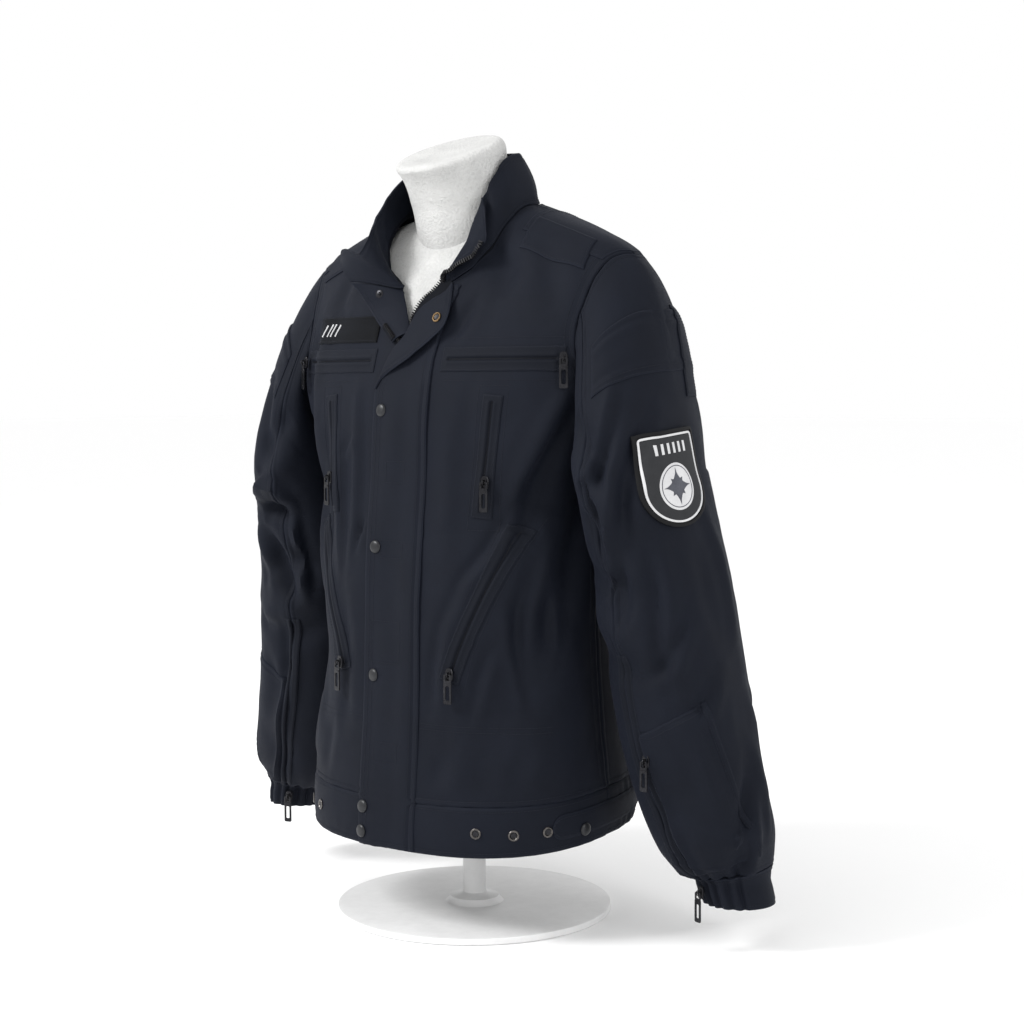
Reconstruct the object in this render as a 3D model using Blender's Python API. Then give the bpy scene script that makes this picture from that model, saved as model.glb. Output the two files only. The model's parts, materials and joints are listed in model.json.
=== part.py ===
# Duty jacket on a limbless bust form
#
# Metres, +Z up. The origin is the middle of the base plate's underside. The wearer's front
# faces -Y, so +X is the wearer's left. Heights in the tables are measured from the hem level.

import math

import bpy
import numpy as np
from mathutils import Matrix, Vector
from mathutils.bvhtree import BVHTree

# Driving dimensions
HEM_LEVEL = 0.120
CLOTH = 0.0016
TRIM = 0.0012
SEAM_INSET = 0.0002
LAY_GAP = 0.0004
LAY_SAMPLES = 6
LAY_SEARCH = 0.02
LAY_LIFT = 0.002
AHEAD = 0.06
LEFT = 1
RIGHT = -1
FRONT = -1
BACK = 1

# Torso
CHEST = 0.410
BAND_TOP = 0.024
HEM = -0.027
HEM_TILT = 0.085
HEM_FRONT = -0.140
TILT_END = 0.200
SIDE_POWER = 2.5
TOP_POWER = {FRONT: 2.2, BACK: 3.0}
TORSO = {
    # column name: values by height
    "height":      (-0.030, 0.024, 0.090, 0.160, 0.230, 0.300, 0.360, 0.410, 0.450, 0.500, 0.560, 0.700),
    "half_width":  (0.177, 0.179, 0.173, 0.168, 0.165, 0.166, 0.175, 0.195, 0.207, 0.215, 0.218, 0.218),
    "front_depth": (0.142, 0.139, 0.135, 0.131, 0.128, 0.124, 0.119, 0.116, 0.112, 0.103, 0.094, 0.090),
    "back_depth":  (0.138, 0.137, 0.132, 0.129, 0.129, 0.131, 0.133, 0.135, 0.136, 0.136, 0.135, 0.100),
}
SHOULDER = {
    "across": (0.000, 0.040, 0.080, 0.120, 0.160, 0.200, 0.213, 0.235),
    "height": (0.664, 0.654, 0.642, 0.627, 0.611, 0.592, 0.584, 0.568),
}
# Edges of the upper panels, as degrees round the body and degrees up to the shoulder line
ARMHOLE = {
    "up":    (0.00, 0.10, 0.25, 0.50, 0.75, 1.00),
    "round": (90.0, 75.0, 61.0, 59.5, 65.5, 77.5),
}
OPENING = {
    "up":    (0.00, 7 / 12, 1.00),
    "round": (0.30, 0.30, 7.90),
    "rise":  (0.00, 21.3, 36.0),
}
NECK_SHARE = 1 / 3
SHOULDER_SHIFT = 0.018
SHIFT_REACH = 0.200
NECK_FRONT = {
    "across": (0.00, 0.11, 0.20, 0.27, NECK_SHARE, 1.00),
    "round":  (7.90, 15.5, 19.9, 21.4, 21.6, 77.5),
    "rise":   (36.0, 43.2, 53.4, 67.0, 90.0, 90.0),
}
NECK_BACK = {
    "across": (0.00, 0.11, 0.20, 0.27, NECK_SHARE, 1.00),
    "round":  (0.00, 7.90, 13.3, 18.2, 21.6, 77.5),
    "rise":   (73.8, 75.0, 79.8, 85.7, 90.0, 90.0),
}
PANEL_COLUMNS = (0.0, 0.11, 0.20, 0.27, NECK_SHARE, 0.44, 0.55, 0.66, 0.77, 0.88, 1.0)
LOW_ROWS = 14
HIGH_ROWS = 12

# Sleeves: rings from the upper arm to the wrist
SLEEVE = {
    "height": (0.360, 0.300, 0.230, 0.160, 0.100, 0.030, -0.010, -0.028),
    "x":      (0.228, 0.234, 0.243, 0.251, 0.261, 0.281, 0.296, 0.303),
    "y":      (-0.006, 0.006, 0.016, 0.024, 0.029, 0.033, 0.040, 0.043),
    "wide":   (0.048, 0.058, 0.064, 0.065, 0.064, 0.058, 0.050, 0.041),
    "deep":   (0.085, 0.077, 0.071, 0.069, 0.068, 0.060, 0.050, 0.041),
}
SLEEVE_POWER = 2.3
SLEEVE_COLUMNS = 24
CAP_ROWS = 8
ARM_ROWS = 14
FRONT_SEAM = 105.0
BACK_SEAM = 255.0
CUFF_BOTTOM = -0.060
SLEEVE_DROP = {LEFT: 0.012, RIGHT: -0.010}
CUFF_RADIUS = 0.0365
CUFF_GATHERS = 14
CUFF_GATHER_DEPTH = 0.0022

# Collar
COLLAR_HEIGHT = 0.058
COLLAR_BOW = 0.004
WING_RUN = 0.072
WING_DEPTH = 0.0400
FOLD_RADIUS = 0.0032
FOLD_ANGLE = 166.0
WING_CLEAR = 0.0022
WING_BESIDE = 0.0008
WING_DROPS = (0.0, 0.0, 0.0, 0.0015, 0.0060, 0.0095)
WING_WAY = (-0.25, 0.62, -0.74)
WING_LINES = (0.020, 0.032)
COLLAR_ROWS = 5
COLLAR_STEP = 0.006
COLLAR_GAP = 0.0008
COLLAR = {
    # distance from the front end along the neckline, inward lean in degrees
    "run":  (0.000, 0.072, 0.125, 0.180, 0.230),
    "lean": (26.0, 16.0, 18.0, 22.0, 22.0),
}

# Largest folds: torso rows are x, height at each end, sleeve rows are degrees round, height
FRONT_FOLDS = (
    (0.185, 0.420, 0.130, 0.300, 0.022, -0.006),
    (0.165, 0.430, 0.095, 0.330, 0.020, 0.004),
    (0.150, 0.330, 0.100, 0.190, 0.026, 0.005),
    (0.160, 0.230, 0.120, 0.100, 0.022, -0.005),
    (0.060, 0.300, 0.075, 0.120, 0.030, 0.004),
    (0.140, 0.120, 0.150, 0.050, 0.020, 0.005),
)
BACK_FOLDS = (
    (0.180, 0.430, 0.110, 0.320, 0.022, -0.006),
    (0.150, 0.440, 0.080, 0.350, 0.022, 0.004),
    (0.110, 0.260, 0.060, 0.090, 0.030, 0.005),
    (0.020, 0.330, 0.030, 0.120, 0.030, -0.004),
    (0.150, 0.150, 0.130, 0.050, 0.022, 0.005),
)
SLEEVE_FOLDS = (
    (120.0, 0.420, 70.0, 0.360, 0.017, -0.007),
    (130.0, 0.385, 80.0, 0.320, 0.018, 0.005),
    (150.0, 0.270, 60.0, 0.235, 0.017, -0.008),
    (150.0, 0.225, 70.0, 0.190, 0.016, 0.005),
    (160.0, 0.185, 90.0, 0.165, 0.015, -0.006),
    (250.0, 0.350, 310.0, 0.300, 0.020, -0.005),
    (240.0, 0.180, 320.0, 0.120, 0.020, 0.005),
    (60.0, 0.060, 110.0, 0.010, 0.018, -0.006),
    (10.0, 0.010, 60.0, -0.005, 0.014, 0.004),
)

# Front flap and what is laid on the panels: places are x and height
FLAP_TURN = 0.455
FLAP_THICKNESS = 0.0018
FLAP_FOLD_RADIUS = 0.0024
FLAP_TOP = {
    "height": (FLAP_TURN, 0.480, 0.505, 0.528, 0.546),
    "free": (-0.040, -0.020, 0.006, 0.021, 0.033),
    "seam": (0.036, 0.036, 0.038, 0.042, 0.047),
}
FLAP_FACING_WIDTHS = (0.0085, 0.016, 0.023, 0.021, 0.013)
LAPEL_WIDTHS = (0.012, 0.022, 0.032, 0.042, 0.050)
LAPEL_START = 0.64
CHEST_ZIP = ((0.046, 0.479), (0.177, 0.479))
BUST_ZIP = ((0.112, 0.443), (0.100, 0.318))
BUST_SLIDER = ((0.112, 0.443), (0.107, 0.355))
SLANT_ZIP = ((0.136, 0.310), (0.109, 0.246), (0.083, 0.185), (0.073, 0.152))
SLANT_SLIDER = ((0.083, 0.185), (0.0755, 0.160))
NAME_TAPE = ((0.050, 0.512), (0.155, 0.512))
NAME_TAPE_HALF = 0.014
WELT_HALF = 0.0125
BUST_WELT_HALF = 0.0105
YOKE_START = 27.0
YOKE_MARGIN = 2.0
YOKE_RISES = (
    (64.0, FRONT), (73.0, FRONT), (81.0, FRONT), (89.9, FRONT),
    (80.0, BACK), (70.0, BACK), (60.0, BACK),
)
EPAULETTE_TURNS = (29.0, 55.0)
EPAULETTE_RISES = ((55.0, FRONT), (62.5, FRONT), (69.0, FRONT), (76.0, FRONT))
BAND_ROWS = (-0.68, -0.56, -0.44)
PANEL_TOP = (0.565, 0.64)
PANEL_END = 0.975
PANEL_REAR = (34.0, 12.0)
BADGE_TURN = 10.0
BADGE_ROWS = (-0.195, 0.114)
BADGE_TILT = 0.05
BADGE_WIDTH = 0.086
BADGE_RADIUS = 0.066
BADGE_THICKNESS = 0.0022
BADGE_OUTLINE = {"down": (0.0, 0.55, 0.75, 0.90, 1.0), "half": (1.0, 0.98, 0.82, 0.52, 0.16)}
TAB_TURNS = {FRONT: (66.0, 74.0, 82.0, 90.0), BACK: (82.0, 74.0, 62.0)}
TAB_HALF = 0.013

# Hardware
SLIDER_WIDTH = 0.0085
SLIDER_LENGTH = 0.0120
SLIDER_PLATE = 0.0022
LOOP_WIDTH = 0.0032
LOOP_BAR = 0.0010
LOOP_HOLE = 0.0032
AXIS_OUT = 0.0050
PULL_WIDTH = 0.0095
PULL_LENGTH = 0.0300
PULL_THICKNESS = 0.0012
PULL_PLAY = 0.0005
PULL_EYE = 0.0052
CAP_RADIUS = 0.0065
CAP_HEIGHT = 0.0030
CUFF_ZIP_TURN = 108.0
CAPS = ((-0.027, 0.427), (-0.026, 0.285), (-0.025, 0.151))

# Bust form
FORM = {
    "height": (0.050, 0.120, 0.220, 0.320, 0.400, 0.460, 0.510, 0.560, 0.700),
    "half_width": (0.140, 0.138, 0.138, 0.145, 0.156, 0.164, 0.169, 0.172, 0.172),
    "front_depth": (0.092, 0.096, 0.098, 0.098, 0.098, 0.096, 0.092, 0.086, 0.080),
    "back_depth":  (0.092, 0.094, 0.098, 0.104, 0.112, 0.120, 0.124, 0.124, 0.110),
}
FORM_DROP = {"across": (0.0, 0.065, 0.100, 0.130, 0.200), "drop": (0.009, 0.009, 0.0055, 0.0028, 0.0028)}
FORM_RISES = (12.0, 24.0, 36.0, 47.0, 57.0, 66.0, 74.0, 81.0, 87.5)
FORM_HALF_COLUMNS = 11
NECK_COLUMNS = 28
NECK_RINGS = {
    "height": (0.590, 0.615, 0.635, 0.650, 0.664, 0.680, 0.701),
    "y": (0.002, 0.002, -0.002, -0.007, -0.013, -0.022, -0.036),
    "radius": (0.046, 0.051, 0.051, 0.050, 0.048, 0.0485, 0.056),
}
NECK_SLANT = 0.40
NECK_BEND = 0.640
POLE_RADIUS = 0.0125
BASE_RADIUS = 0.150
BASE_HEIGHT = 0.008
BASE_EDGE = 0.002


def clear_scene():
    for item in list(bpy.data.objects):
        bpy.data.objects.remove(item, do_unlink=True)


def material(name, colour, roughness, metallic=0.0):
    made = bpy.data.materials.get(name) or bpy.data.materials.new(name)
    made.use_nodes = True
    shader = made.node_tree.nodes["Principled BSDF"]
    shader.inputs["Base Color"].default_value = (*colour, 1.0)
    shader.inputs["Roughness"].default_value = roughness
    shader.inputs["Metallic"].default_value = metallic
    made.diffuse_color = (*colour, 1.0)
    return made


def smooth(keys, values, at):
    """Value of a table at a place, on a smooth curve through its rows."""
    keys = np.asarray(keys, float)
    values = np.asarray(values, float)
    slopes = np.gradient(values, keys)
    at = np.clip(at, keys[0], keys[-1])
    row = np.clip(np.searchsorted(keys, at) - 1, 0, len(keys) - 2)
    span = keys[row + 1] - keys[row]
    t = (at - keys[row]) / span
    start = (2 * t**3 - 3 * t**2 + 1) * values[row] + (t**3 - 2 * t**2 + t) * span * slopes[row]
    end = (3 * t**2 - 2 * t**3) * values[row + 1] + (t**3 - t**2) * span * slopes[row + 1]
    return start + end


def unit(vectors):
    vectors = np.asarray(vectors, float)
    length = np.linalg.norm(vectors, axis=-1, keepdims=True)
    return vectors / np.maximum(length, 1e-9)


# Shapes of the body


def torso_depth(x, z, face):
    """Distance of the torso's surface from the shoulder plane at a place seen from the front."""
    half = smooth(TORSO["height"], TORSO["half_width"], z)
    column = "front_depth" if face == FRONT else "back_depth"
    depth = smooth(TORSO["height"], TORSO[column], z)
    side = np.clip(np.abs(x) / half, 0, 1)
    top = smooth(SHOULDER["across"], SHOULDER["height"], np.abs(x))
    rise = np.clip((z - CHEST) / (top - CHEST), 0, 1)
    power = TOP_POWER[face]
    return depth * (1 - side**SIDE_POWER) ** (1 / SIDE_POWER) * (1 - rise**power) ** (1 / power)


def torso_low(turn, z, face):
    """Torso points below the chest line from degrees round the body and height."""
    turn, z = np.broadcast_arrays(np.asarray(turn, float), np.asarray(z, float))
    half = smooth(TORSO["height"], TORSO["half_width"], z)
    x = half * np.sin(np.radians(turn))
    y = face * np.maximum(torso_depth(x, z, face), SEAM_INSET)
    fade = np.clip((TILT_END - z) / (TILT_END - BAND_TOP), 0, 1)
    tilt = HEM_TILT * (y - HEM_FRONT) * fade * fade
    return np.stack([x, y, z + tilt], axis=-1)


def torso_high(turn, rise, face):
    """Torso points above the chest line from degrees round and degrees up."""
    turn, rise = np.broadcast_arrays(np.asarray(turn, float), np.asarray(rise, float))
    across = np.sin(np.radians(turn))
    lift = np.sin(np.radians(rise))
    z = np.full(across.shape, CHEST + 0.1)
    for _ in range(6):
        x = smooth(TORSO["height"], TORSO["half_width"], z) * across
        z = CHEST + (smooth(SHOULDER["across"], SHOULDER["height"], np.abs(x)) - CHEST) * lift
    side = np.clip(np.abs(across), 0, 1)
    column = "front_depth" if face == FRONT else "back_depth"
    depth = smooth(TORSO["height"], TORSO[column], z)
    power = TOP_POWER[face]
    top = (1 - np.clip(lift, 0, 1) ** power) ** (1 / power)
    y = np.maximum(depth * (1 - side**SIDE_POWER) ** (1 / SIDE_POWER) * top, SEAM_INSET)
    shift = SHOULDER_SHIFT * np.clip(1 - np.abs(x) / SHIFT_REACH, 0, 1) * np.clip(lift, 0, 1) ** 4
    return np.stack([x, face * y + shift, z], axis=-1)


def neck_edge(across, face):
    table = NECK_FRONT if face == FRONT else NECK_BACK
    turn = np.interp(across, table["across"], table["round"])
    rise = np.interp(across, table["across"], table["rise"])
    return turn, rise


def upper_panel(columns, rows, face):
    """Upper half panel: columns run from the middle to the armhole, rows up to the shoulder."""
    u, w = np.meshgrid(columns, rows)
    middle = OPENING["round"][0] if face == FRONT else 0.0
    bottom = np.stack([middle + (90.0 - middle) * u, 0 * u])
    top = np.stack(neck_edge(u, face))
    if face == FRONT:
        inner = np.stack([np.interp(w, OPENING["up"], OPENING[key]) for key in ("round", "rise")])
    else:
        inner = np.stack([0 * w, NECK_BACK["rise"][0] * w])
    outer = np.stack([smooth(ARMHOLE["up"], ARMHOLE["round"], w), 90.0 * w])
    patch = (1 - w) * bottom + w * top
    start, end = np.array([[middle], [0.0]]), np.array([[90.0], [0.0]])
    neck_end = np.array(neck_edge(0.0, face)).reshape(2, 1, 1)
    tip = np.array([ARMHOLE["round"][-1], 90.0]).reshape(2, 1, 1)
    plain_in = (1 - w) * start[..., None] + w * neck_end
    plain_out = (1 - w) * end[..., None] + w * tip
    patch = patch + np.clip(1 - u / NECK_SHARE, 0, 1) * (inner - plain_in)
    patch = patch + np.clip((u - NECK_SHARE) / (1 - NECK_SHARE), 0, 1) * (outer - plain_out)
    return torso_high(patch[0], patch[1], face)


def half_panel(face, columns, low_rows, high_rows):
    """Half of the front or back, from the waistband seam to the neck and shoulder."""
    middle = OPENING["round"][0] if face == FRONT else 0.0
    turn = middle + (90.0 - middle) * columns
    low = torso_low(turn[None, :], low_rows[:, None], face)
    high = upper_panel(columns, high_rows[1:], face)
    return np.concatenate([low, high])


def fold_depth(places, folds):
    """Height of the table's folds at places given as two coordinates in metres."""
    total = np.zeros(places.shape[:-1])
    for x0, z0, x1, z1, width, depth in folds:
        start = np.array([x0, z0])
        along = np.array([x1, z1]) - start
        length = np.linalg.norm(along)
        offset = places - start
        run = np.clip(offset @ along / length**2, 0, 1)
        foot = start + run[..., None] * along
        away = np.linalg.norm(places - foot, axis=-1)
        total += depth * np.exp(-((away / width) ** 2)) * (0.25 + 0.75 * np.sin(np.pi * run) ** 0.5)
    return total


def torso_folds(points, face):
    table = FRONT_FOLDS if face == FRONT else BACK_FOLDS
    places = np.stack([np.abs(points[..., 0]), points[..., 2]], axis=-1)
    depth = fold_depth(places, table)
    side = np.clip((np.abs(points[..., 1]) - 0.004) / 0.035, 0, 1)
    top = np.clip((0.56 - points[..., 2]) / 0.06, 0, 1)
    bottom = np.clip((points[..., 2] - BAND_TOP) / 0.03, 0, 1)
    return depth * side * top * bottom


# Shapes of the sleeves


def armhole_point(angle):
    """Armhole point from degrees round the sleeve: 0 shoulder, 90 front, 180 underarm, 270 back."""
    angle = np.mod(np.asarray(angle, float), 360.0)
    up = np.where(angle <= 180, 1 - angle / 180, angle / 180 - 1)
    turn = smooth(ARMHOLE["up"], ARMHOLE["round"], up)
    front = torso_high(turn, 90.0 * up, FRONT)
    back = torso_high(turn, 90.0 * up, BACK)
    return np.where((angle <= 180)[..., None], front, back)


def sleeve_ring(angle, height):
    """Sleeve section below the armhole, on a plane square to the arm."""
    c = np.cos(np.radians(angle))
    s = np.sin(np.radians(angle))
    keys = -np.asarray(SLEEVE["height"])
    at = -np.asarray(height, float)
    centre_x = smooth(keys, SLEEVE["x"], at)
    centre_y = smooth(keys, SLEEVE["y"], at)
    wide = smooth(keys, SLEEVE["wide"], at)
    deep = smooth(keys, SLEEVE["deep"], at)
    step = 0.01
    lean_x = (smooth(keys, SLEEVE["x"], at + step) - smooth(keys, SLEEVE["x"], at - step)) / (2 * step)
    lean_y = (smooth(keys, SLEEVE["y"], at + step) - smooth(keys, SLEEVE["y"], at - step)) / (2 * step)
    radius = (np.abs(c) ** SLEEVE_POWER + np.abs(s) ** SLEEVE_POWER) ** (-1 / SLEEVE_POWER)
    dx = wide * radius * c
    dy = -deep * radius * s
    return np.stack([centre_x + dx, centre_y + dy, height + dx * lean_x * 0.8 + dy * lean_y * 0.8], axis=-1)


def sleeve_surface(angles, rows, side):
    """Sleeve points as if on the left. Rows below 0 are the cap, 0 to 1 the upper arm to the cuff."""
    angle, row = np.meshgrid(np.asarray(angles, float), np.asarray(rows, float))
    top, bottom = SLEEVE["height"][0], SLEEVE["height"][-1]
    arm = sleeve_ring(angle, top + (bottom - top) * np.clip(row, 0, 1))
    arm[..., 2] -= SLEEVE_DROP[side] * np.clip(row, 0, 1) ** 2
    start = armhole_point(angle) + np.array([SEAM_INSET * 2, 0, 0])
    finish = sleeve_ring(angle, np.full(angle.shape, top))
    over = (1 + np.cos(np.radians(angle)))[..., None] / 2
    swing = np.sin(np.radians(angle))[..., None]
    leave = over * np.array([0.8, 0, -0.60]) + (1 - over) * np.array([0.12, 0, -1.0])
    leave = unit(leave + swing * np.array([0, -0.30, 0]))
    arrive = unit(np.broadcast_to(np.array([0.10, 0.12, -1.0]), leave.shape))
    reach = np.linalg.norm(finish - start, axis=-1, keepdims=True) * (0.9 - 0.15 * over)
    t = np.clip(row + 1, 0, 1)[..., None]
    cap = (2 * t**3 - 3 * t**2 + 1) * start + (t**3 - 2 * t**2 + t) * reach * leave
    cap = cap + (3 * t**2 - 2 * t**3) * finish + (t**3 - t**2) * reach * arrive
    return np.where((row < 0)[..., None], cap, arm)


def sleeve_rows():
    cap = np.linspace(-1, 0, CAP_ROWS + 1)
    arm = np.linspace(0, 1, ARM_ROWS + 1)[1:]
    return np.concatenate([cap, arm])


def sleeve_folds(points, angles, rows):
    angle, row = np.meshgrid(angles, rows)
    around = np.mod(angle, 360.0)
    places = np.stack([around / 360.0 * 0.42, points[..., 2]], axis=-1)
    table = [(a0 / 360.0 * 0.42, z0, a1 / 360.0 * 0.42, z1, w, d) for a0, z0, a1, z1, w, d in SLEEVE_FOLDS]
    depth = fold_depth(places, table)
    ends = np.clip((row + 1) / 0.5, 0, 1) * np.clip((1 - row) / 0.08, 0, 1)
    inner = np.clip(np.abs(around - 180) / 40.0 - 0.3, 0, 1)
    return depth * ends * inner


# Meshes


def new_object(name, vertices, faces, look, sharp=40.0):
    mesh = bpy.data.meshes.new(name)
    lifted = [(float(v[0]), float(v[1]), float(v[2]) + HEM_LEVEL) for v in vertices]
    mesh.from_pydata(lifted, [], faces)
    mesh.update()
    volume = 0.0
    for polygon in mesh.polygons:
        corners = [mesh.vertices[i].co for i in polygon.vertices]
        for i in range(1, len(corners) - 1):
            volume += corners[0].dot(corners[i].cross(corners[i + 1]))
    if volume < 0:
        mesh.flip_normals()
    mesh.shade_smooth()
    mesh.set_sharp_from_angle(angle=math.radians(sharp))
    mesh.materials.append(look)
    made = bpy.data.objects.new(name, mesh)
    bpy.context.collection.objects.link(made)
    return made


def grid_normals(points, wrap=False):
    if wrap:
        across = np.roll(points, -1, axis=1) - np.roll(points, 1, axis=1)
    else:
        across = np.gradient(points, axis=1)
    along = np.gradient(points, axis=0)
    return unit(np.cross(across, along))


def inset_edges(points, amount, wrap=False):
    """Draws the grid's outer rows and columns in by a small amount for the seam gaps."""
    moved = points.copy()
    moved[0] += unit(points[1] - points[0]) * amount
    moved[-1] += unit(points[-2] - points[-1]) * amount
    if not wrap:
        moved[:, 0] += unit(points[:, 1] - points[:, 0]) * amount
        moved[:, -1] += unit(points[:, -2] - points[:, -1]) * amount
    return moved


def wall_faces(rows, columns, wrap=False):
    """Triangles of a closed wall made of an outer and an inner grid of points."""
    faces = []
    count = rows * columns
    span = columns if wrap else columns - 1

    def at(layer, r, c):
        return layer * count + r * columns + c % columns

    for r in range(rows - 1):
        for c in range(span):
            a, b = at(0, r, c), at(0, r, c + 1)
            d, e = at(0, r + 1, c), at(0, r + 1, c + 1)
            faces += [(a, b, e), (a, e, d)]
            faces += [(a + count, e + count, b + count), (a + count, d + count, e + count)]
    for c in range(span):
        for r, turn in ((0, 1), (rows - 1, 0)):
            a, b = at(0, r, c), at(0, r, c + 1)
            rim = [(a, a + count, b + count), (a, b + count, b)]
            faces += rim if turn else [face[::-1] for face in rim]
    if not wrap:
        for r in range(rows - 1):
            for c, turn in ((0, 0), (columns - 1, 1)):
                a, b = at(0, r, c), at(0, r + 1, c)
                rim = [(a, a + count, b + count), (a, b + count, b)]
                faces += rim if turn else [face[::-1] for face in rim]
    return faces


def wall(name, points, look, thickness=CLOTH, normals=None, wrap=False, inset=SEAM_INSET):
    """Cloth wall whose outer face goes through the points."""
    rows, columns = points.shape[:2]
    if normals is None:
        normals = grid_normals(points, wrap)
    outer = inset_edges(points, inset, wrap)
    inner = outer - normals * thickness
    vertices = np.concatenate([outer.reshape(-1, 3), inner.reshape(-1, 3)])
    return new_object(name, vertices, wall_faces(rows, columns, wrap), look)


def mirrored(points, side):
    if side == LEFT:
        return points
    return points * np.array([-1.0, 1.0, 1.0])


def outward(points, normals, centre=(0.0, 0.0)):
    """Turns normals so that most of them point away from an upright axis."""
    away = points[..., :2] - np.array(centre)
    facing = np.sum(normals[..., :2] * away)
    return normals if facing > 0 else -normals


def skin_of(*names):
    """One surface for laying pieces on, made of the named objects."""
    vertices = []
    faces = []
    for name in names:
        mesh = bpy.data.objects[name].data
        start = len(vertices)
        vertices += [v.co.copy() for v in mesh.vertices]
        faces += [tuple(start + i for i in p.vertices) for p in mesh.polygons]
    return BVHTree.FromPolygons(vertices, faces)


def drop_on(skin, point, direction, reach=0.30):
    """First hit of the surface along a direction that points into it, in hem-level heights."""
    way = Vector(direction).normalized()
    start = Vector((point[0], point[1], point[2] + HEM_LEVEL)) - way * reach / 2
    hit, normal, _, _ = skin.ray_cast(start, way, reach * 1.5)
    if hit is None:
        return None, None
    if normal.dot(way) > 0:
        normal = -normal
    return np.array([hit.x, hit.y, hit.z - HEM_LEVEL]), np.array(normal)


def lay_grid(skin, targets, into):
    """Drops a grid of points on a surface and raises it until its flat faces are clear of it."""
    rows, columns = targets.shape[:2]
    into = np.broadcast_to(unit(into), targets.shape)
    points = targets.copy()
    for r in range(rows):
        for c in range(columns):
            hit, _ = drop_on(skin, targets[r, c], into[r, c])
            points[r, c] = targets[r, c] if hit is None else hit
    lift = np.full((rows, columns), LAY_GAP)
    marks = np.linspace(0, 1, LAY_SAMPLES + 1)
    shares = [(s, t) for s in marks for t in marks]
    for _ in range(4):
        wanted = lift.copy()
        raised = points - into * lift[..., None]
        for r in range(rows - 1):
            for c in range(columns - 1):
                block = [(r, c), (r, c + 1), (r + 1, c + 1), (r + 1, c)]
                way = unit(sum(into[k] for k in block))
                a, b, d, e = [raised[k] for k in block]
                short = 0.0
                for s, t in shares:
                    if t <= s:
                        spot = a + (b - a) * (s - t) + (d - a) * t
                    else:
                        spot = a + (e - a) * (t - s) + (d - a) * s
                    hit, _ = drop_on(skin, spot, way, LAY_SEARCH)
                    if hit is not None:
                        height = float(np.dot(hit - spot, way))
                        short = max(short, min(LAY_GAP - height, LAY_LIFT))
                for k in block:
                    wanted[k] = max(wanted[k], lift[k] + short)
        lift = wanted
    return points - into * lift[..., None]


def laid(name, skin, targets, into, look, thickness=TRIM):
    """Flat piece laid on a surface: its inner face rests on it and its outer face is parallel."""
    inner = lay_grid(skin, targets, into)
    normals = grid_normals(inner)
    way = np.broadcast_to(unit(into), inner.shape)
    if np.sum(normals * way) > 0:
        normals = -normals
    outer = inner + normals * thickness
    rows, columns = inner.shape[:2]
    vertices = np.concatenate([outer.reshape(-1, 3), inner.reshape(-1, 3)])
    return new_object(name, vertices, wall_faces(rows, columns), look)


# Looks
def looks():
    return {
        "cloth": material("jacket_cloth", (0.012, 0.014, 0.022), 0.85),
        "trim": material("jacket_trim", (0.010, 0.011, 0.016), 0.7),
        "rubber": material("badge_rubber", (0.02, 0.02, 0.024), 0.5),
        "metal": material("zip_metal", (0.10, 0.10, 0.11), 0.35, 0.9),
        "cap": material("snap_cap", (0.06, 0.06, 0.07), 0.4, 0.6),
        "form": material("form_white", (0.86, 0.86, 0.85), 0.7),
        "stand": material("stand_white", (0.82, 0.82, 0.82), 0.4),
    }


def build_body(look):
    columns = np.array(PANEL_COLUMNS)
    low = np.linspace(BAND_TOP, CHEST, LOW_ROWS + 1)
    high = np.linspace(0, 1, HIGH_ROWS + 1)
    front = half_panel(FRONT, columns, low, high)
    for side, name in ((LEFT, "front_left"), (RIGHT, "front_right")):
        points = mirrored(front, side)
        normals = outward(points, grid_normals(points))
        points = points + normals * torso_folds(points, FRONT)[..., None]
        normals = outward(points, grid_normals(points))
        wall(name, points, look["cloth"], normals=normals)
    half = half_panel(BACK, columns, low, high)
    back = np.concatenate([mirrored(half, RIGHT)[:, ::-1], half[:, 1:]], axis=1)
    normals = outward(back, grid_normals(back))
    back = back + normals * torso_folds(back, BACK)[..., None]
    normals = outward(back, grid_normals(back))
    wall("back", back, look["cloth"], normals=normals)


def build_waistband(look):
    rows = np.array([HEM, (HEM + BAND_TOP) / 2, BAND_TOP])
    out = np.array([0.0006, 0.0016, 0.0])
    for side, name in ((LEFT, "waistband_left"), (RIGHT, "waistband_right")):
        middle = OPENING["round"][0]
        turn = middle + (90.0 - middle) * np.array(PANEL_COLUMNS)
        points = torso_low(turn[None, :], rows[:, None], FRONT)
        points = mirrored(points, side)
        normals = outward(points, grid_normals(points))
        wall(name, points + normals * out[:, None, None], look["cloth"], normals=normals)
    half = 90.0 * np.array(PANEL_COLUMNS)
    turn = np.concatenate([-half[::-1], half[1:]])
    points = torso_low(turn[None, :], rows[:, None], BACK)
    normals = outward(points, grid_normals(points))
    wall("waistband_back", points + normals * out[:, None, None], look["cloth"], normals=normals)


def sleeve_parts(side):
    """One sleeve as points, normals and its grid's degrees and rows, mirrored to its side."""
    rows = sleeve_rows()
    step = 360.0 / SLEEVE_COLUMNS
    turns = np.arange(BACK_SEAM, BACK_SEAM + 360.0 + step / 2, step)
    surface = sleeve_surface(turns, rows, side)

    def closed_normals(points):
        ring = grid_normals(points[:, :-1], wrap=True)
        normals = np.concatenate([ring, ring[:, :1]], axis=1)
        middle = len(rows) - 3
        away = points[middle] - points[middle].mean(axis=0)
        return normals if np.sum(normals[middle] * away) > 0 else -normals

    surface = surface + closed_normals(surface) * sleeve_folds(surface, turns, rows)[..., None]
    surface[:, -1] = surface[:, 0]
    flip = np.array([side, 1, 1])
    return surface * flip, closed_normals(surface) * flip, turns, rows


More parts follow.
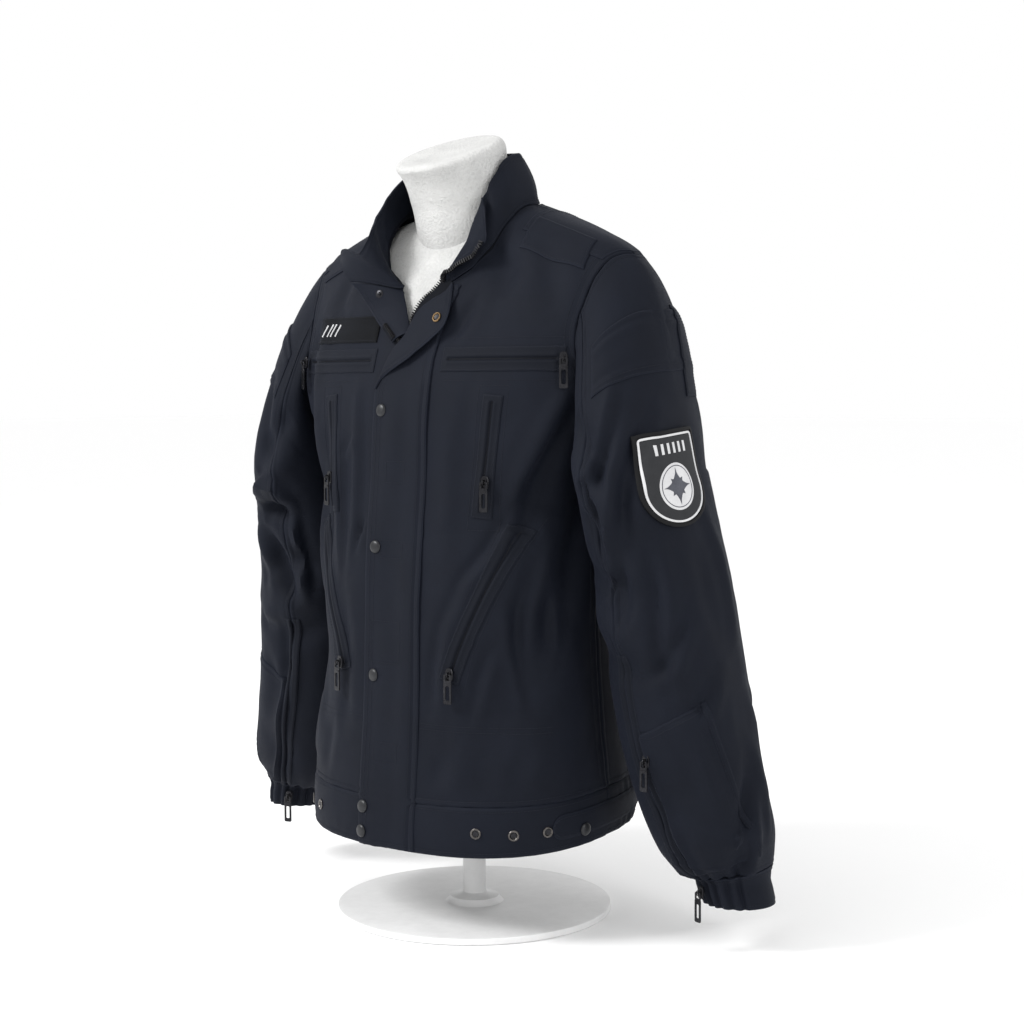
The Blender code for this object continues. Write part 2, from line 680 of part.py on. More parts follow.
def build_sleeves(look):
    step = 360.0 / SLEEVE_COLUMNS
    split = int(round((FRONT_SEAM + 360.0 - BACK_SEAM) / step))
    for side, tag in ((LEFT, "left"), (RIGHT, "right")):
        points, normals, _, _ = sleeve_parts(side)
        wall("sleeve_top_" + tag, points[:, :split + 1], look["cloth"], normals=normals[:, :split + 1])
        wall("sleeve_under_" + tag, points[:, split:], look["cloth"], normals=normals[:, split:])


def cuff_axis(side):
    top = SLEEVE["height"][-1]
    return np.array([SLEEVE["x"][-1], SLEEVE["y"][-1], top - SLEEVE_DROP[side]])


def build_cuffs(look):
    count = CUFF_GATHERS * 4
    turns = np.arange(count) * 360.0 / count
    drop = SLEEVE["height"][-1] - CUFF_BOTTOM
    drift = np.array([0.008, 0.003, -drop])
    c, s = np.cos(np.radians(turns)), -np.sin(np.radians(turns))
    wave = np.sin(np.radians(turns) * CUFF_GATHERS + 0.6 * np.sin(np.radians(turns) * 3))
    for side, tag in ((LEFT, "left"), (RIGHT, "right")):
        centre = cuff_axis(side)
        sleeve_end = sleeve_surface(turns, np.array([1.0, 1.0]), side)[0]
        grid = []
        for t, share in ((0.0, 0.35), (0.5, 1.0), (1.0, 0.7)):
            radius = CUFF_RADIUS + CUFF_GATHER_DEPTH * share * wave
            ring = centre + drift * t + np.stack([radius * c, radius * s, 0 * radius], axis=-1)
            if t == 0.0:
                ring = sleeve_end - np.array([0.0, 0.0, SEAM_INSET * 3])
            grid.append(ring)
        points = np.array(grid) * np.array([side, 1, 1])
        normals = grid_normals(points, wrap=True)
        if np.sum(normals[1] * (points[1] - points[1].mean(axis=0))) < 0:
            normals = -normals
        wall("cuff_" + tag, points, look["cloth"], normals=normals, wrap=True)


def neck_path():
    """The neckline from the left front end to the middle of the back: distances and corner points."""
    shares = np.array([u for u in PANEL_COLUMNS if u <= NECK_SHARE])
    front = torso_high(*neck_edge(shares, FRONT), FRONT)
    back = torso_high(*neck_edge(shares, BACK), BACK)
    corners = np.concatenate([front[:-1], (front[-1:] + back[-1:]) / 2, back[-2::-1]])
    steps = np.linalg.norm(np.diff(corners, axis=0), axis=1)
    return np.concatenate([[0], np.cumsum(steps)]), corners


def on_path(path, run):
    measured, corners = path
    return np.stack([np.interp(run, measured, corners[:, k]) for k in range(3)], axis=-1)


def collar_point(run, height, path):
    """Collar point from the distance along the neckline and the height on the collar."""
    end = path[0][-1]
    base = on_path(path, run)
    ahead = on_path(path, np.clip(run + COLLAR_STEP, 0, end))
    behind = on_path(path, np.clip(run - COLLAR_STEP, 0, end))
    along = unit(ahead - behind)
    out = unit(np.cross(along, np.array([0.0, 0.0, 1.0])) * np.array([1.0, 1.0, 0.0]))
    out = np.where((np.sum(out[..., :2] * base[..., :2], axis=-1) < 0)[..., None], -out, out)
    lean = np.radians(smooth(COLLAR["run"], COLLAR["lean"], run))
    up = np.stack([0 * lean, 0 * lean, np.ones_like(lean)], axis=-1)
    rise = up * np.cos(lean)[..., None] - out * np.sin(lean)[..., None]
    bow = COLLAR_BOW * np.sin(np.pi * np.clip(height / COLLAR_HEIGHT, 0, 1))
    return base + rise * (height + COLLAR_GAP)[..., None] + out * bow[..., None]


def curl(foot, beyond, facing, distance, radius=FOLD_RADIUS, angle=FOLD_ANGLE):
    """Point at a distance past a fold line, where the cloth turns over by the angle."""
    full = math.radians(angle)
    bend = np.minimum(distance / radius, full)
    rest = np.maximum(distance - radius * full, 0)
    flat = radius * np.sin(bend) + rest * math.cos(full)
    lift = radius * (1 - np.cos(bend)) + rest * math.sin(full)
    return foot + beyond * flat[..., None] + facing * lift[..., None]


def collar_half(path, rows):
    """Left half of the collar: upright columns, then columns turned over along the wing's fold."""
    total = path[0][-1]
    lines = []
    shares = np.linspace(0, 1, rows + 1)
    for run in path[0][::-1]:
        slant = WING_RUN * (1 - run / total)
        lines.append(collar_point(run + slant * shares, COLLAR_HEIGHT * shares, path))
    fold = np.array([WING_RUN, COLLAR_HEIGHT])
    fold = fold / np.linalg.norm(fold)
    square = np.array([-fold[1], fold[0]])
    full = FOLD_RADIUS * math.radians(FOLD_ANGLE)
    step = COLLAR_STEP
    for distance in (full / 3, 2 * full / 3, full, *WING_LINES, WING_DEPTH):
        first = distance * fold[1] / fold[0]
        last = (COLLAR_HEIGHT - distance * square[1]) / fold[1]
        along = first + (last - first) * shares
        run, height = along * fold[0], along * fold[1]
        foot = collar_point(run, height, path)
        ahead = collar_point(run + fold[0] * step, height + fold[1] * step, path)
        inner = collar_point(run - square[0] * step, height - square[1] * step, path)
        beyond = unit(foot - inner)
        facing = unit(np.cross(unit(ahead - foot), beyond))
        if np.sum(facing[..., :2] * foot[..., :2]) < 0:
            facing = -facing
        lines.append(curl(foot, beyond, facing, np.full(rows + 1, distance)))
    return np.array(lines).transpose(1, 0, 2)


def outer_face(name):
    """The outer face of a wall as one surface."""
    mesh = bpy.data.objects[name].data
    count = len(mesh.vertices) // 2
    faces = [tuple(p.vertices) for p in mesh.polygons if max(p.vertices) < count]
    return BVHTree.FromPolygons([v.co.copy() for v in mesh.vertices], faces)


def rested(points, skin):
    """Wing points let down towards the front by an amount for each column and kept clear of it."""
    moved = points + np.array(WING_DROPS)[None, :, None] * unit(np.array(WING_WAY))
    for spot in np.ndindex(points.shape[:2]):
        now = Vector(moved[spot]) + Vector((0, 0, HEM_LEVEL))
        hit, normal, _, _ = skin.find_nearest(now)
        height = (now - hit).dot(normal)
        beside = (now - hit - normal * height).length
        if beside < WING_BESIDE:
            moved[spot] += np.array(normal) * max(WING_CLEAR - height, 0.0)
    return moved


def build_collar(look):
    path = neck_path()
    half = collar_half(path, COLLAR_ROWS)
    upright = len(path[0])
    half[:, upright:] = rested(half[:, upright:], outer_face("front_left"))
    left = half
    right = half[:, ::-1] * np.array([-1.0, 1.0, 1.0])
    grid = np.concatenate([right, left[:, 1:]], axis=1)
    normals = grid_normals(grid)
    middle = grid.shape[1] // 2
    if normals[2, middle, 1] < 0:
        normals = -normals
    wall("collar", grid, look["cloth"], normals=normals, inset=0.0)


def opening_edge(side, low, high, count):
    """Front edge between two shares of the upper panel's rows, with its outward normals."""
    rows = np.linspace(low, high, count + 1)
    panel = upper_panel(np.array([0.0, 0.06]), rows, FRONT)
    edge, near = panel[:, 0], panel[:, 1]
    beyond = unit(edge - near)
    along = unit(np.gradient(edge, axis=0))
    facing = unit(np.cross(along, beyond))
    facing = np.where(facing[:, 1:2] > 0, -facing, facing)
    flip = np.array([side, 1, 1])
    return edge * flip, beyond * flip, facing * flip


def turned(name, edge, beyond, facing, widths, radius, look):
    """Strip that starts beside an edge and is turned out over the face it came from."""
    full = radius * math.radians(FOLD_ANGLE)
    widths = np.array(widths)
    distances = [np.full(len(widths), full * k / 4) for k in range(5)]
    for share in (0.5, 1.0):
        distances.append(full + (widths - full) * share)
    start = edge + beyond * 0.0006
    lines = [curl(start, beyond, facing, distance, radius) for distance in distances]
    grid = np.array(lines).transpose(1, 0, 2)
    normals = grid_normals(grid)
    if np.sum(normals[:, 0] * facing) < 0:
        normals = -normals
    wall(name, grid, look, thickness=TRIM, normals=normals, inset=0.0)


def build_lapel(look):
    edge, beyond, facing = opening_edge(RIGHT, LAPEL_START, 1.0, len(LAPEL_WIDTHS) - 1)
    turned("lapel_right", edge, beyond, facing, LAPEL_WIDTHS, FOLD_RADIUS, look["cloth"])


# Zip sliders and pulls, in their own frame: X along the pull's axis, Y outward, Z up


def raw(name, points, faces):
    mesh = bpy.data.meshes.new(name)
    mesh.from_pydata([tuple(point) for point in points], [], faces)
    mesh.update()
    made = bpy.data.objects.new(name, mesh)
    bpy.context.collection.objects.link(made)
    return made


def box(name, low, high):
    corners = [(x, y, z) for x in (low[0], high[0]) for y in (low[1], high[1]) for z in (low[2], high[2])]
    faces = [(0, 1, 3, 2), (4, 6, 7, 5), (0, 4, 5, 1), (2, 3, 7, 6), (0, 2, 6, 4), (1, 5, 7, 3)]
    return raw(name, corners, faces)


def combined(base, others):
    """Points and triangles of a solid with other solids joined to it or cut from it."""
    for operation, other in others:
        step = base.modifiers.new("step", "BOOLEAN")
        step.operation = operation
        step.solver = "EXACT"
        step.object = other
    graph = bpy.context.evaluated_depsgraph_get()
    mesh = bpy.data.meshes.new_from_object(base.evaluated_get(graph))
    mesh.calc_loop_triangles()
    points = np.array([tuple(v.co) for v in mesh.vertices])
    faces = [tuple(t.vertices) for t in mesh.loop_triangles]
    for item in [base] + [other for _, other in others]:
        bpy.data.objects.remove(item, do_unlink=True)
    return points, faces


def slider_shape():
    half, plate, loop, bar = SLIDER_WIDTH / 2, SLIDER_PLATE, LOOP_WIDTH / 2, LOOP_BAR
    inner = LOOP_HOLE / 2
    body = box("slider_body", (-half, 0, -SLIDER_LENGTH / 2), (half, plate, SLIDER_LENGTH / 2))
    ring = box("slider_ring", (-loop, plate / 2, -inner - bar), (loop, AXIS_OUT + inner + bar, inner + bar))
    hole = box("slider_hole", (-half, AXIS_OUT - inner, -inner), (half, AXIS_OUT + inner, inner))
    return combined(body, [("UNION", ring), ("DIFFERENCE", hole)])


def pull_shape():
    half, thin = PULL_WIDTH / 2, PULL_THICKNESS / 2
    plate = box("pull_plate", (-half, -thin, -PULL_LENGTH), (half, thin, thin))
    gap = LOOP_WIDTH / 2 + PULL_PLAY
    eye = box("pull_eye", (-gap, -1, -PULL_EYE), (gap, 1, -thin))
    return combined(plate, [("DIFFERENCE", eye)])


def cap_shape(radius, height, count=12):
    profile = (
        (radius, 0.0),
        (radius, height * 0.45),
        (radius * 0.72, height * 0.88),
        (radius * 0.35, height),
    )
    points = []
    for reach, out in profile:
        for k in range(count):
            turn = 2 * math.pi * k / count
            points.append((reach * math.cos(turn), out, reach * math.sin(turn)))
    faces = []
    for r in range(len(profile) - 1):
        for k in range(count):
            a, b = r * count + k, r * count + (k + 1) % count
            faces.append((a, b, b + count, a + count))
    faces.append(tuple(range(count))[::-1])
    top = (len(profile) - 1) * count
    faces.append(tuple(top + k for k in range(count)))
    return np.array(points), faces


def place(name, shape, origin, out, look, sharp=40.0):
    """Puts a shape at a place, its Y turned to the level outward direction."""
    points, faces = shape
    out = unit(np.array([out[0], out[1], 0.0]))
    across = np.array([-out[1], out[0], 0.0])
    up = np.array([0.0, 0.0, 1.0])
    moved = origin + points[:, :1] * across + points[:, 1:2] * out + points[:, 2:] * up
    made = new_object(name, moved, faces, look, sharp)
    pivot = Vector((origin[0], origin[1], origin[2] + HEM_LEVEL))
    made.data.transform(Matrix.Translation(-pivot))
    made.location = pivot
    return made


def seat(skin, spot, out, half_width, half_height):
    """Place on the level outward line through a spot where a flat back clears the surface."""
    out = unit(np.array([out[0], out[1], 0.0]))
    across = np.array([-out[1], out[0], 0.0])
    reach = []
    for i in range(-3, 4):
        for k in range(-3, 4):
            at = spot + across * half_width * i / 3 + np.array([0, 0, half_height * k / 3])
            hit, _ = drop_on(skin, at, -out, 0.12)
            if hit is not None:
                reach.append(float(np.dot(hit - spot, out)))
    return spot + out * (max(reach) + LAY_GAP)


def zip_hardware(tag, skin, spot, out, look, slider, pull):
    base = seat(skin, np.array(spot, float), out, SLIDER_WIDTH / 2, SLIDER_LENGTH / 2)
    place("slider_" + tag, slider, base, out, look["metal"])
    out = unit(np.array([out[0], out[1], 0.0]))
    place("pull_" + tag, pull, base + out * AXIS_OUT, out, look["metal"])


# Pieces laid on the panels


def path_strip(path, half_width, along, side, across=1):
    """Targets for a strip on the front along a path of x and height places."""
    path = np.array(path, float)
    steps = np.linalg.norm(np.diff(path, axis=0), axis=1)
    reach = np.concatenate([[0], np.cumsum(steps)])
    spots = np.linspace(0, reach[-1], along + 1)
    line = np.stack([np.interp(spots, reach, path[:, k]) for k in (0, 1)], axis=-1)
    way = unit(np.gradient(line, axis=0))
    square = np.stack([-way[:, 1], way[:, 0]], axis=-1)
    shares = np.linspace(-1, 1, across + 1)
    grid = line[:, None, :] + square[:, None, :] * (half_width * shares)[None, :, None]
    return np.stack([side * grid[..., 0], 0 * grid[..., 0] - AHEAD, grid[..., 1]], axis=-1)


def build_flap(look):
    skin = skin_of("front_left", "front_right", "waistband_left", "waistband_right")
    heights = np.concatenate([np.linspace(HEM + 0.0006, FLAP_TURN, 19), FLAP_TOP["height"][1:]])
    left = np.interp(heights, FLAP_TOP["height"], FLAP_TOP["free"])
    right = np.interp(heights, FLAP_TOP["height"], FLAP_TOP["seam"])
    shares = np.linspace(0, 1, 4)
    x = left[:, None] + (right - left)[:, None] * shares
    targets = np.stack([x, 0 * x - AHEAD, np.broadcast_to(heights[:, None], x.shape)], axis=-1)
    into = np.array([0.0, 1.0, 0.0])
    inner = lay_grid(skin, targets, into)
    normals = grid_normals(inner)
    normals = np.where(normals[..., 1:2] > 0, -normals, normals)
    outer = inner + normals * FLAP_THICKNESS
    vertices = np.concatenate([outer.reshape(-1, 3), inner.reshape(-1, 3)])
    new_object("placket_flap", vertices, wall_faces(*inner.shape[:2]), look["cloth"])
    first = 18
    edge, facing = outer[first:, 0], normals[first:, 0]
    along = unit(np.gradient(edge, axis=0))
    beyond = unit(np.cross(along, facing))
    agrees = np.sum(beyond * (outer[first:, 0] - outer[first:, 1]), axis=-1)[:, None]
    beyond = np.where(agrees < 0, -beyond, beyond)
    turned("flap_facing", edge, beyond, facing, FLAP_FACING_WIDTHS, FLAP_FOLD_RADIUS, look["cloth"])


def build_laid(look):
    fronts = skin_of("front_left", "front_right")
    forward = np.array([0.0, 1.0, 0.0])
    for side, tag in ((LEFT, "left"), (RIGHT, "right")):
        chest = path_strip(CHEST_ZIP, WELT_HALF, 7, side)
        laid("chest_welt_" + tag, fronts, chest, forward, look["trim"])
        bust = path_strip(BUST_ZIP, BUST_WELT_HALF, 6, side)
        laid("bust_welt_" + tag, fronts, bust, forward, look["trim"])
        slant = path_strip(SLANT_ZIP, BUST_WELT_HALF, 8, side)
        laid("slant_welt_" + tag, fronts, slant, forward, look["trim"])
    laid("name_tape", fronts, path_strip(NAME_TAPE, NAME_TAPE_HALF, 5, RIGHT), forward, look["trim"])


def shoulder_patch(spans, rises, side):
    """Targets over the shoulder with the directions that point into it."""
    rows, ways = [], []
    for (first, last), (rise, face) in zip(spans, rises):
        turns = np.linspace(first, last, 6)
        points = torso_high(turns, np.full(len(turns), rise), face)
        tilt = math.radians(rise)
        rows.append(points)
        way = unit(np.array([-0.35, -face * math.cos(tilt), -math.sin(tilt) - 0.2]))
        ways.append(np.broadcast_to(way, points.shape))
    flip = np.array([side, 1, 1])
    return np.array(rows) * flip, np.array(ways) * flip


def build_shoulders(look):
    edges = [smooth(ARMHOLE["up"], ARMHOLE["round"], rise / 90.0) - YOKE_MARGIN for rise, _ in YOKE_RISES]
    yoke = [(YOKE_START, edge) for edge in edges]
    strap = [EPAULETTE_TURNS for _ in EPAULETTE_RISES]
    for side, tag in ((LEFT, "left"), (RIGHT, "right")):
        skin = skin_of("front_" + tag, "back")
        targets, into = shoulder_patch(yoke, YOKE_RISES, side)
        laid("shoulder_panel_" + tag, skin, targets, into, look["cloth"])
        skin = skin_of("shoulder_panel_" + tag, "front_" + tag)
        targets, into = shoulder_patch(strap, EPAULETTE_RISES, side)
        laid("epaulette_" + tag, skin, targets, into, look["cloth"], thickness=FLAP_THICKNESS)


def sleeve_patch(angles, rows, side):
    """Targets on a sleeve with the directions that point into it."""
    targets = sleeve_surface(angles, rows, side)
    normals = grid_normals(targets)
    centre = np.array([0.20, 0.0, 0.30])
    away = np.sum(normals * (targets - centre))
    normals = normals if away > 0 else -normals
    flip = np.array([side, 1, 1])
    return targets * flip, -normals * flip


def sleeve_spots(angles, rows, side):
    """Targets on a sleeve where each point has its own degrees and row."""
    points = np.zeros(angles.shape + (3,))
    ways = np.zeros_like(points)
    for spot in np.ndindex(angles.shape):
        near = np.array([-3.0, 0.0, 3.0]) + angles[spot]
        patch, into = sleeve_patch(near, rows[spot] + np.array([-0.02, 0.0, 0.02]), side)
        points[spot], ways[spot] = patch[1, 1], into[1, 1]
    return points, ways


def build_sleeve_pieces(look):
    for side, tag in ((LEFT, "left"), (RIGHT, "right")):
        skin = skin_of("sleeve_top_" + tag, "sleeve_under_" + tag)
        targets, into = sleeve_patch(np.arange(-75.0, 91.0, 15.0), np.array(BAND_ROWS), side)
        laid("sleeve_band_" + tag, skin, targets, into, look["cloth"])
        down, across = np.meshgrid(np.linspace(0, 1, 8), np.linspace(0, 1, 7), indexing="ij")
        rear = PANEL_REAR[0] + (PANEL_REAR[1] - PANEL_REAR[0]) * down
        angles = 102.5 + (rear - 102.5) * across
        top = PANEL_TOP[1] + (PANEL_TOP[0] - PANEL_TOP[1]) * across
        targets, into = sleeve_spots(angles, top + (PANEL_END - top) * down, side)
        laid("forearm_panel_" + tag, skin, targets, into, look["cloth"])
        skin = skin_of("sleeve_top_" + tag, "sleeve_band_" + tag)
        turns, rows = np.array([-42.0, -30.0, -18.0]), np.array([-0.70, -0.56, -0.42, -0.34])
        targets, into = sleeve_patch(turns, rows, side)
        laid("sleeve_tab_" + tag, skin, targets, into, look["trim"], thickness=FLAP_THICKNESS)
    down, across = np.meshgrid(np.linspace(0, 1, 7), np.linspace(-1, 1, 5), indexing="ij")
    half = np.interp(down, BADGE_OUTLINE["down"], BADGE_OUTLINE["half"]) * BADGE_WIDTH / 2
    angles = BADGE_TURN - np.degrees(half * across / BADGE_RADIUS)
    rows = BADGE_ROWS[0] + (BADGE_ROWS[1] - BADGE_ROWS[0]) * down - BADGE_TILT * half * across / BADGE_WIDTH
    targets, into = sleeve_spots(angles, rows, LEFT)
    laid("sleeve_badge", skin_of("sleeve_top_left"), targets, into, look["rubber"], thickness=BADGE_THICKNESS)


def build_waist_tabs(look):
    for side, tag in ((LEFT, "left"), (RIGHT, "right")):
        skin = skin_of("waistband_" + tag, "waistband_back")
        heights = (np.array([-1.0, 0.0, 1.0]) * TAB_HALF - 0.002)[:, None]
        front = torso_low(np.array(TAB_TURNS[FRONT])[None, :], heights, FRONT)
        back = torso_low(np.array(TAB_TURNS[BACK])[None, :], heights, BACK)
        targets = np.concatenate([front, back], axis=1)
        for row in (0, 2):
            targets[row, 0] = (targets[row, 0] + targets[1, 0]) / 2
        normals = outward(targets, grid_normals(targets))
        flip = np.array([side, 1, 1])
        laid("waist_tab_" + tag, skin, targets * flip, -normals * flip, look["cloth"])


def build_hardware(look):
    slider, pull = slider_shape(), pull_shape()
    ahead = np.array([0.0, -1.0, 0.0])
    for side, tag in ((LEFT, "left"), (RIGHT, "right")):
        skin = skin_of("front_" + tag, "chest_welt_" + tag, "bust_welt_" + tag, "slant_welt_" + tag)
        for kind, path in (("chest", CHEST_ZIP), ("bust", BUST_SLIDER), ("slant", SLANT_SLIDER)):
            x, z = path[-1]
            hit, normal = drop_on(skin, np.array([side * x, 0.0, z]), -ahead)
            zip_hardware(kind + "_" + tag, skin, hit, normal, look, slider, pull)
        skin = skin_of("cuff_" + tag, "sleeve_top_" + tag, "sleeve_under_" + tag, "forearm_panel_" + tag)
        centre = cuff_axis(side) * np.array([side, 1, 1])
        turn = math.radians(CUFF_ZIP_TURN)
        out = np.array([side * math.cos(turn), -math.sin(turn), 0.0])
        spot = centre + out * CUFF_RADIUS + np.array([0, 0, -0.018])
        zip_hardware("cuff_" + tag, skin, spot, out, look, slider, pull)
    skin = skin_of("sleeve_top_left", "sleeve_under_left", "forearm_panel_left")
    point, into = sleeve_patch(np.array([92.0, 97.0, 102.0]), np.array([0.68, 0.70, 0.72]), LEFT)
    zip_hardware("forearm_left", skin, point[1, 1], -into[1, 1], look, slider, pull)
    cap = cap_shape(CAP_RADIUS, CAP_HEIGHT)
    skin = skin_of("placket_flap")
    for index, (x, z) in enumerate(CAPS):
        base = seat(skin, np.array([x, -0.12, z]), ahead, CAP_RADIUS * 0.7, CAP_RADIUS * 0.7)
        place("snap_cap_%d" % (index + 1), cap, base, ahead, look["cap"])


def form_low(turn, height, face):
    half = smooth(FORM["height"], FORM["half_width"], height)
    depth = smooth(FORM["height"], FORM["front_depth" if face == FRONT else "back_depth"], height)
    side = np.abs(np.sin(np.radians(turn)))
    y = face * depth * (1 - side**SIDE_POWER) ** (1 / SIDE_POWER)
    return np.stack([half * np.sin(np.radians(turn)), y, np.full(len(turn), height)], axis=-1)


def form_high(turn, rise, face):
    """The form's chest and shoulders, a little under the jacket's shoulder line."""
    across = np.sin(np.radians(turn))
    lift = math.sin(math.radians(rise))
    z = np.full(across.shape, CHEST + 0.1)
    for _ in range(6):
        x = smooth(FORM["height"], FORM["half_width"], z) * across
        drop = np.interp(np.abs(x), FORM_DROP["across"], FORM_DROP["drop"])
        top = smooth(SHOULDER["across"], SHOULDER["height"], np.abs(x)) - drop
        z = CHEST + (top - CHEST) * lift
    side = np.clip(np.abs(across), 0, 1)
    depth = smooth(FORM["height"], FORM["front_depth" if face == FRONT else "back_depth"], z)
    power = TOP_POWER[face]
    y = depth * (1 - side**SIDE_POWER) ** (1 / SIDE_POWER) * (1 - lift**power) ** (1 / power)
    shift = SHOULDER_SHIFT * np.clip(1 - np.abs(x) / SHIFT_REACH, 0, 1) * lift**4
    return np.stack([x, face * y + shift, z], axis=-1)


def ring_faces(rings, columns):
    faces = []
    for r in range(rings - 1):
        for c in range(columns):
            a, b = r * columns + c, r * columns + (c + 1) % columns
            faces.append((a, b, b + columns, a + columns))
    return faces


def build_form(look):
    front = np.linspace(-90.0, 90.0, 2 * FORM_HALF_COLUMNS + 1)
    back = front[::-1][1:-1]
    lows = [height for height in FORM["height"] if height < CHEST]
    rings = [np.concatenate([form_low(front, z, FRONT), form_low(back, z, BACK)]) for z in lows]
    rings += [np.concatenate([form_high(front, r, FRONT), form_high(back, r, BACK)]) for r in FORM_RISES]
    columns = len(front) + len(back)
    faces = ring_faces(len(rings), columns)
    faces.append(tuple(range(columns))[::-1])
    last = (len(rings) - 1) * columns
    for c in range(len(front) - 1):
        ends = (c, c + 1, (columns - c - 1) % columns, (columns - c) % columns)
        faces.append(tuple(last + k for k in dict.fromkeys(ends)))
    body = raw("form_body", np.concatenate(rings), faces)
    turns = np.arange(NECK_COLUMNS) * 2 * math.pi / NECK_COLUMNS
    rings = []
    for height, y, radius in zip(NECK_RINGS["height"], NECK_RINGS["y"], NECK_RINGS["radius"]):
        across, ahead = radius * np.sin(turns), y - radius * np.cos(turns)
        ring = np.stack([across, ahead, np.full(NECK_COLUMNS, height)], axis=-1)
        slant = NECK_SLANT * max(0.0, (height - NECK_BEND) / (NECK_RINGS["height"][-1] - NECK_BEND))
        ring[:, 2] += (ring[:, 1] - y) * slant
        rings.append(ring)
    faces = ring_faces(len(rings), NECK_COLUMNS)
    faces.append(tuple(range(NECK_COLUMNS))[::-1])
    last = (len(rings) - 1) * NECK_COLUMNS
    faces.append(tuple(last + c for c in range(NECK_COLUMNS)))
    neck = raw("form_neck", np.concatenate(rings), faces)
    points, faces = combined(body, [("UNION", neck)])
    new_object("form_torso", points, faces, look["form"])
    floor = -HEM_LEVEL
    profile = ((BASE_RADIUS, floor), (BASE_RADIUS, floor + BASE_HEIGHT - BASE_EDGE),
               (BASE_RADIUS - BASE_EDGE, floor + BASE_HEIGHT), (POLE_RADIUS, floor + BASE_HEIGHT),
               (POLE_RADIUS, FORM["height"][0] - LAY_GAP))
    turns = np.arange(NECK_COLUMNS) * 2 * math.pi / NECK_COLUMNS
    rings = [(r * np.cos(turns), r * np.sin(turns), np.full(NECK_COLUMNS, z)) for r, z in profile]
    vertices = np.concatenate([np.stack(ring, axis=-1) for ring in rings])
    faces = ring_faces(len(rings), NECK_COLUMNS)
    faces.append(tuple(range(NECK_COLUMNS))[::-1])
    last = (len(rings) - 1) * NECK_COLUMNS
    faces.append(tuple(last + c for c in range(NECK_COLUMNS)))
    new_object("form_stand", vertices, faces, look["stand"])


def main():
    clear_scene()
    look = looks()
    build_body(look)
    build_waistband(look)
    build_sleeves(look)
    build_cuffs(look)
    build_collar(look)
    build_lapel(look)
    build_laid(look)
    build_flap(look)
    build_shoulders(look)
    build_sleeve_pieces(look)
    build_waist_tabs(look)
    build_hardware(look)
    build_form(look)


main()
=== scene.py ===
# Duty jacket on a limbless bust form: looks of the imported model
#
# Metres, +Z up. The wearer's front faces -Y, so +X is the wearer's left. Heights in the tables
# are measured from the hem level, which lies HEM_LEVEL above the floor.

import json
import math

import bpy
import numpy as np
from mathutils import Matrix, Vector
from mathutils.bvhtree import BVHTree


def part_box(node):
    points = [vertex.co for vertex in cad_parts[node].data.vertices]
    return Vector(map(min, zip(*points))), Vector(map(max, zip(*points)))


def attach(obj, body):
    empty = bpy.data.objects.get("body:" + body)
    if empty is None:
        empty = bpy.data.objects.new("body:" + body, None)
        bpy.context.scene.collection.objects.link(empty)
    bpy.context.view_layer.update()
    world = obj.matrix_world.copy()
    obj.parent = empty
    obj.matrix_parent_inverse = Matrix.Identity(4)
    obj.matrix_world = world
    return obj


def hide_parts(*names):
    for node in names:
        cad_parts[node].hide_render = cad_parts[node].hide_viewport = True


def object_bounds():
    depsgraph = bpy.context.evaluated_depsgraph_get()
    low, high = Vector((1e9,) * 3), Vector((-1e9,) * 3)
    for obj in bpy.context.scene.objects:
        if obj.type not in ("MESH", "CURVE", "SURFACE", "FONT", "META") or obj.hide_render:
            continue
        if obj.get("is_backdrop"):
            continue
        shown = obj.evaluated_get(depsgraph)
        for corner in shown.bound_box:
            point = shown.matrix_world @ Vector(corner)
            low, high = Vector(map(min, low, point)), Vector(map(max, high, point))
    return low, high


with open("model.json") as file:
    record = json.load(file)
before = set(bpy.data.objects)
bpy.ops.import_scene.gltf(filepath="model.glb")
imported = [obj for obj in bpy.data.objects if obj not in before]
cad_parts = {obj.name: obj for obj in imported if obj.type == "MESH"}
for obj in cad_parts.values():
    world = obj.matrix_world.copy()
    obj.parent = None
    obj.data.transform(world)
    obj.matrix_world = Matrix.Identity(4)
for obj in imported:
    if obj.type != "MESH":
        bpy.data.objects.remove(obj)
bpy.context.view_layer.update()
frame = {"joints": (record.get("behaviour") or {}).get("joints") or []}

HEM_LEVEL = 0.120
CLOTH = 0.0016
TRIM = 0.0012
SEAM_INSET = 0.0002
AHEAD = 0.06
AHEAD_WAY = (0.0, 1.0, 0.0)
LEFT = 1
RIGHT = -1
FRONT = -1
BACK = 1
CHEST = 0.410
BAND_TOP = 0.024
HEM = -0.027
HEM_TILT = 0.085
HEM_FRONT = -0.140
TILT_END = 0.200
SIDE_POWER = 2.5
TOP_POWER = {FRONT: 2.2, BACK: 3.0}
TORSO = {
    # column name: values by height
    "height":      (-0.030, 0.024, 0.090, 0.160, 0.230, 0.300, 0.360, 0.410, 0.450, 0.500, 0.560, 0.700),
    "half_width":  (0.177, 0.179, 0.173, 0.168, 0.165, 0.166, 0.175, 0.195, 0.207, 0.215, 0.218, 0.218),
    "front_depth": (0.142, 0.139, 0.135, 0.131, 0.128, 0.124, 0.119, 0.116, 0.112, 0.103, 0.094, 0.090),
    "back_depth":  (0.138, 0.137, 0.132, 0.129, 0.129, 0.131, 0.133, 0.135, 0.136, 0.136, 0.135, 0.100),
}
SHOULDER = {
    "across": (0.000, 0.040, 0.080, 0.120, 0.160, 0.200, 0.213, 0.235),
    "height": (0.664, 0.654, 0.642, 0.627, 0.611, 0.592, 0.584, 0.568),
}
ARMHOLE = {
    "up":    (0.00, 0.10, 0.25, 0.50, 0.75, 1.00),
    "round": (90.0, 75.0, 61.0, 59.5, 65.5, 77.5),
}
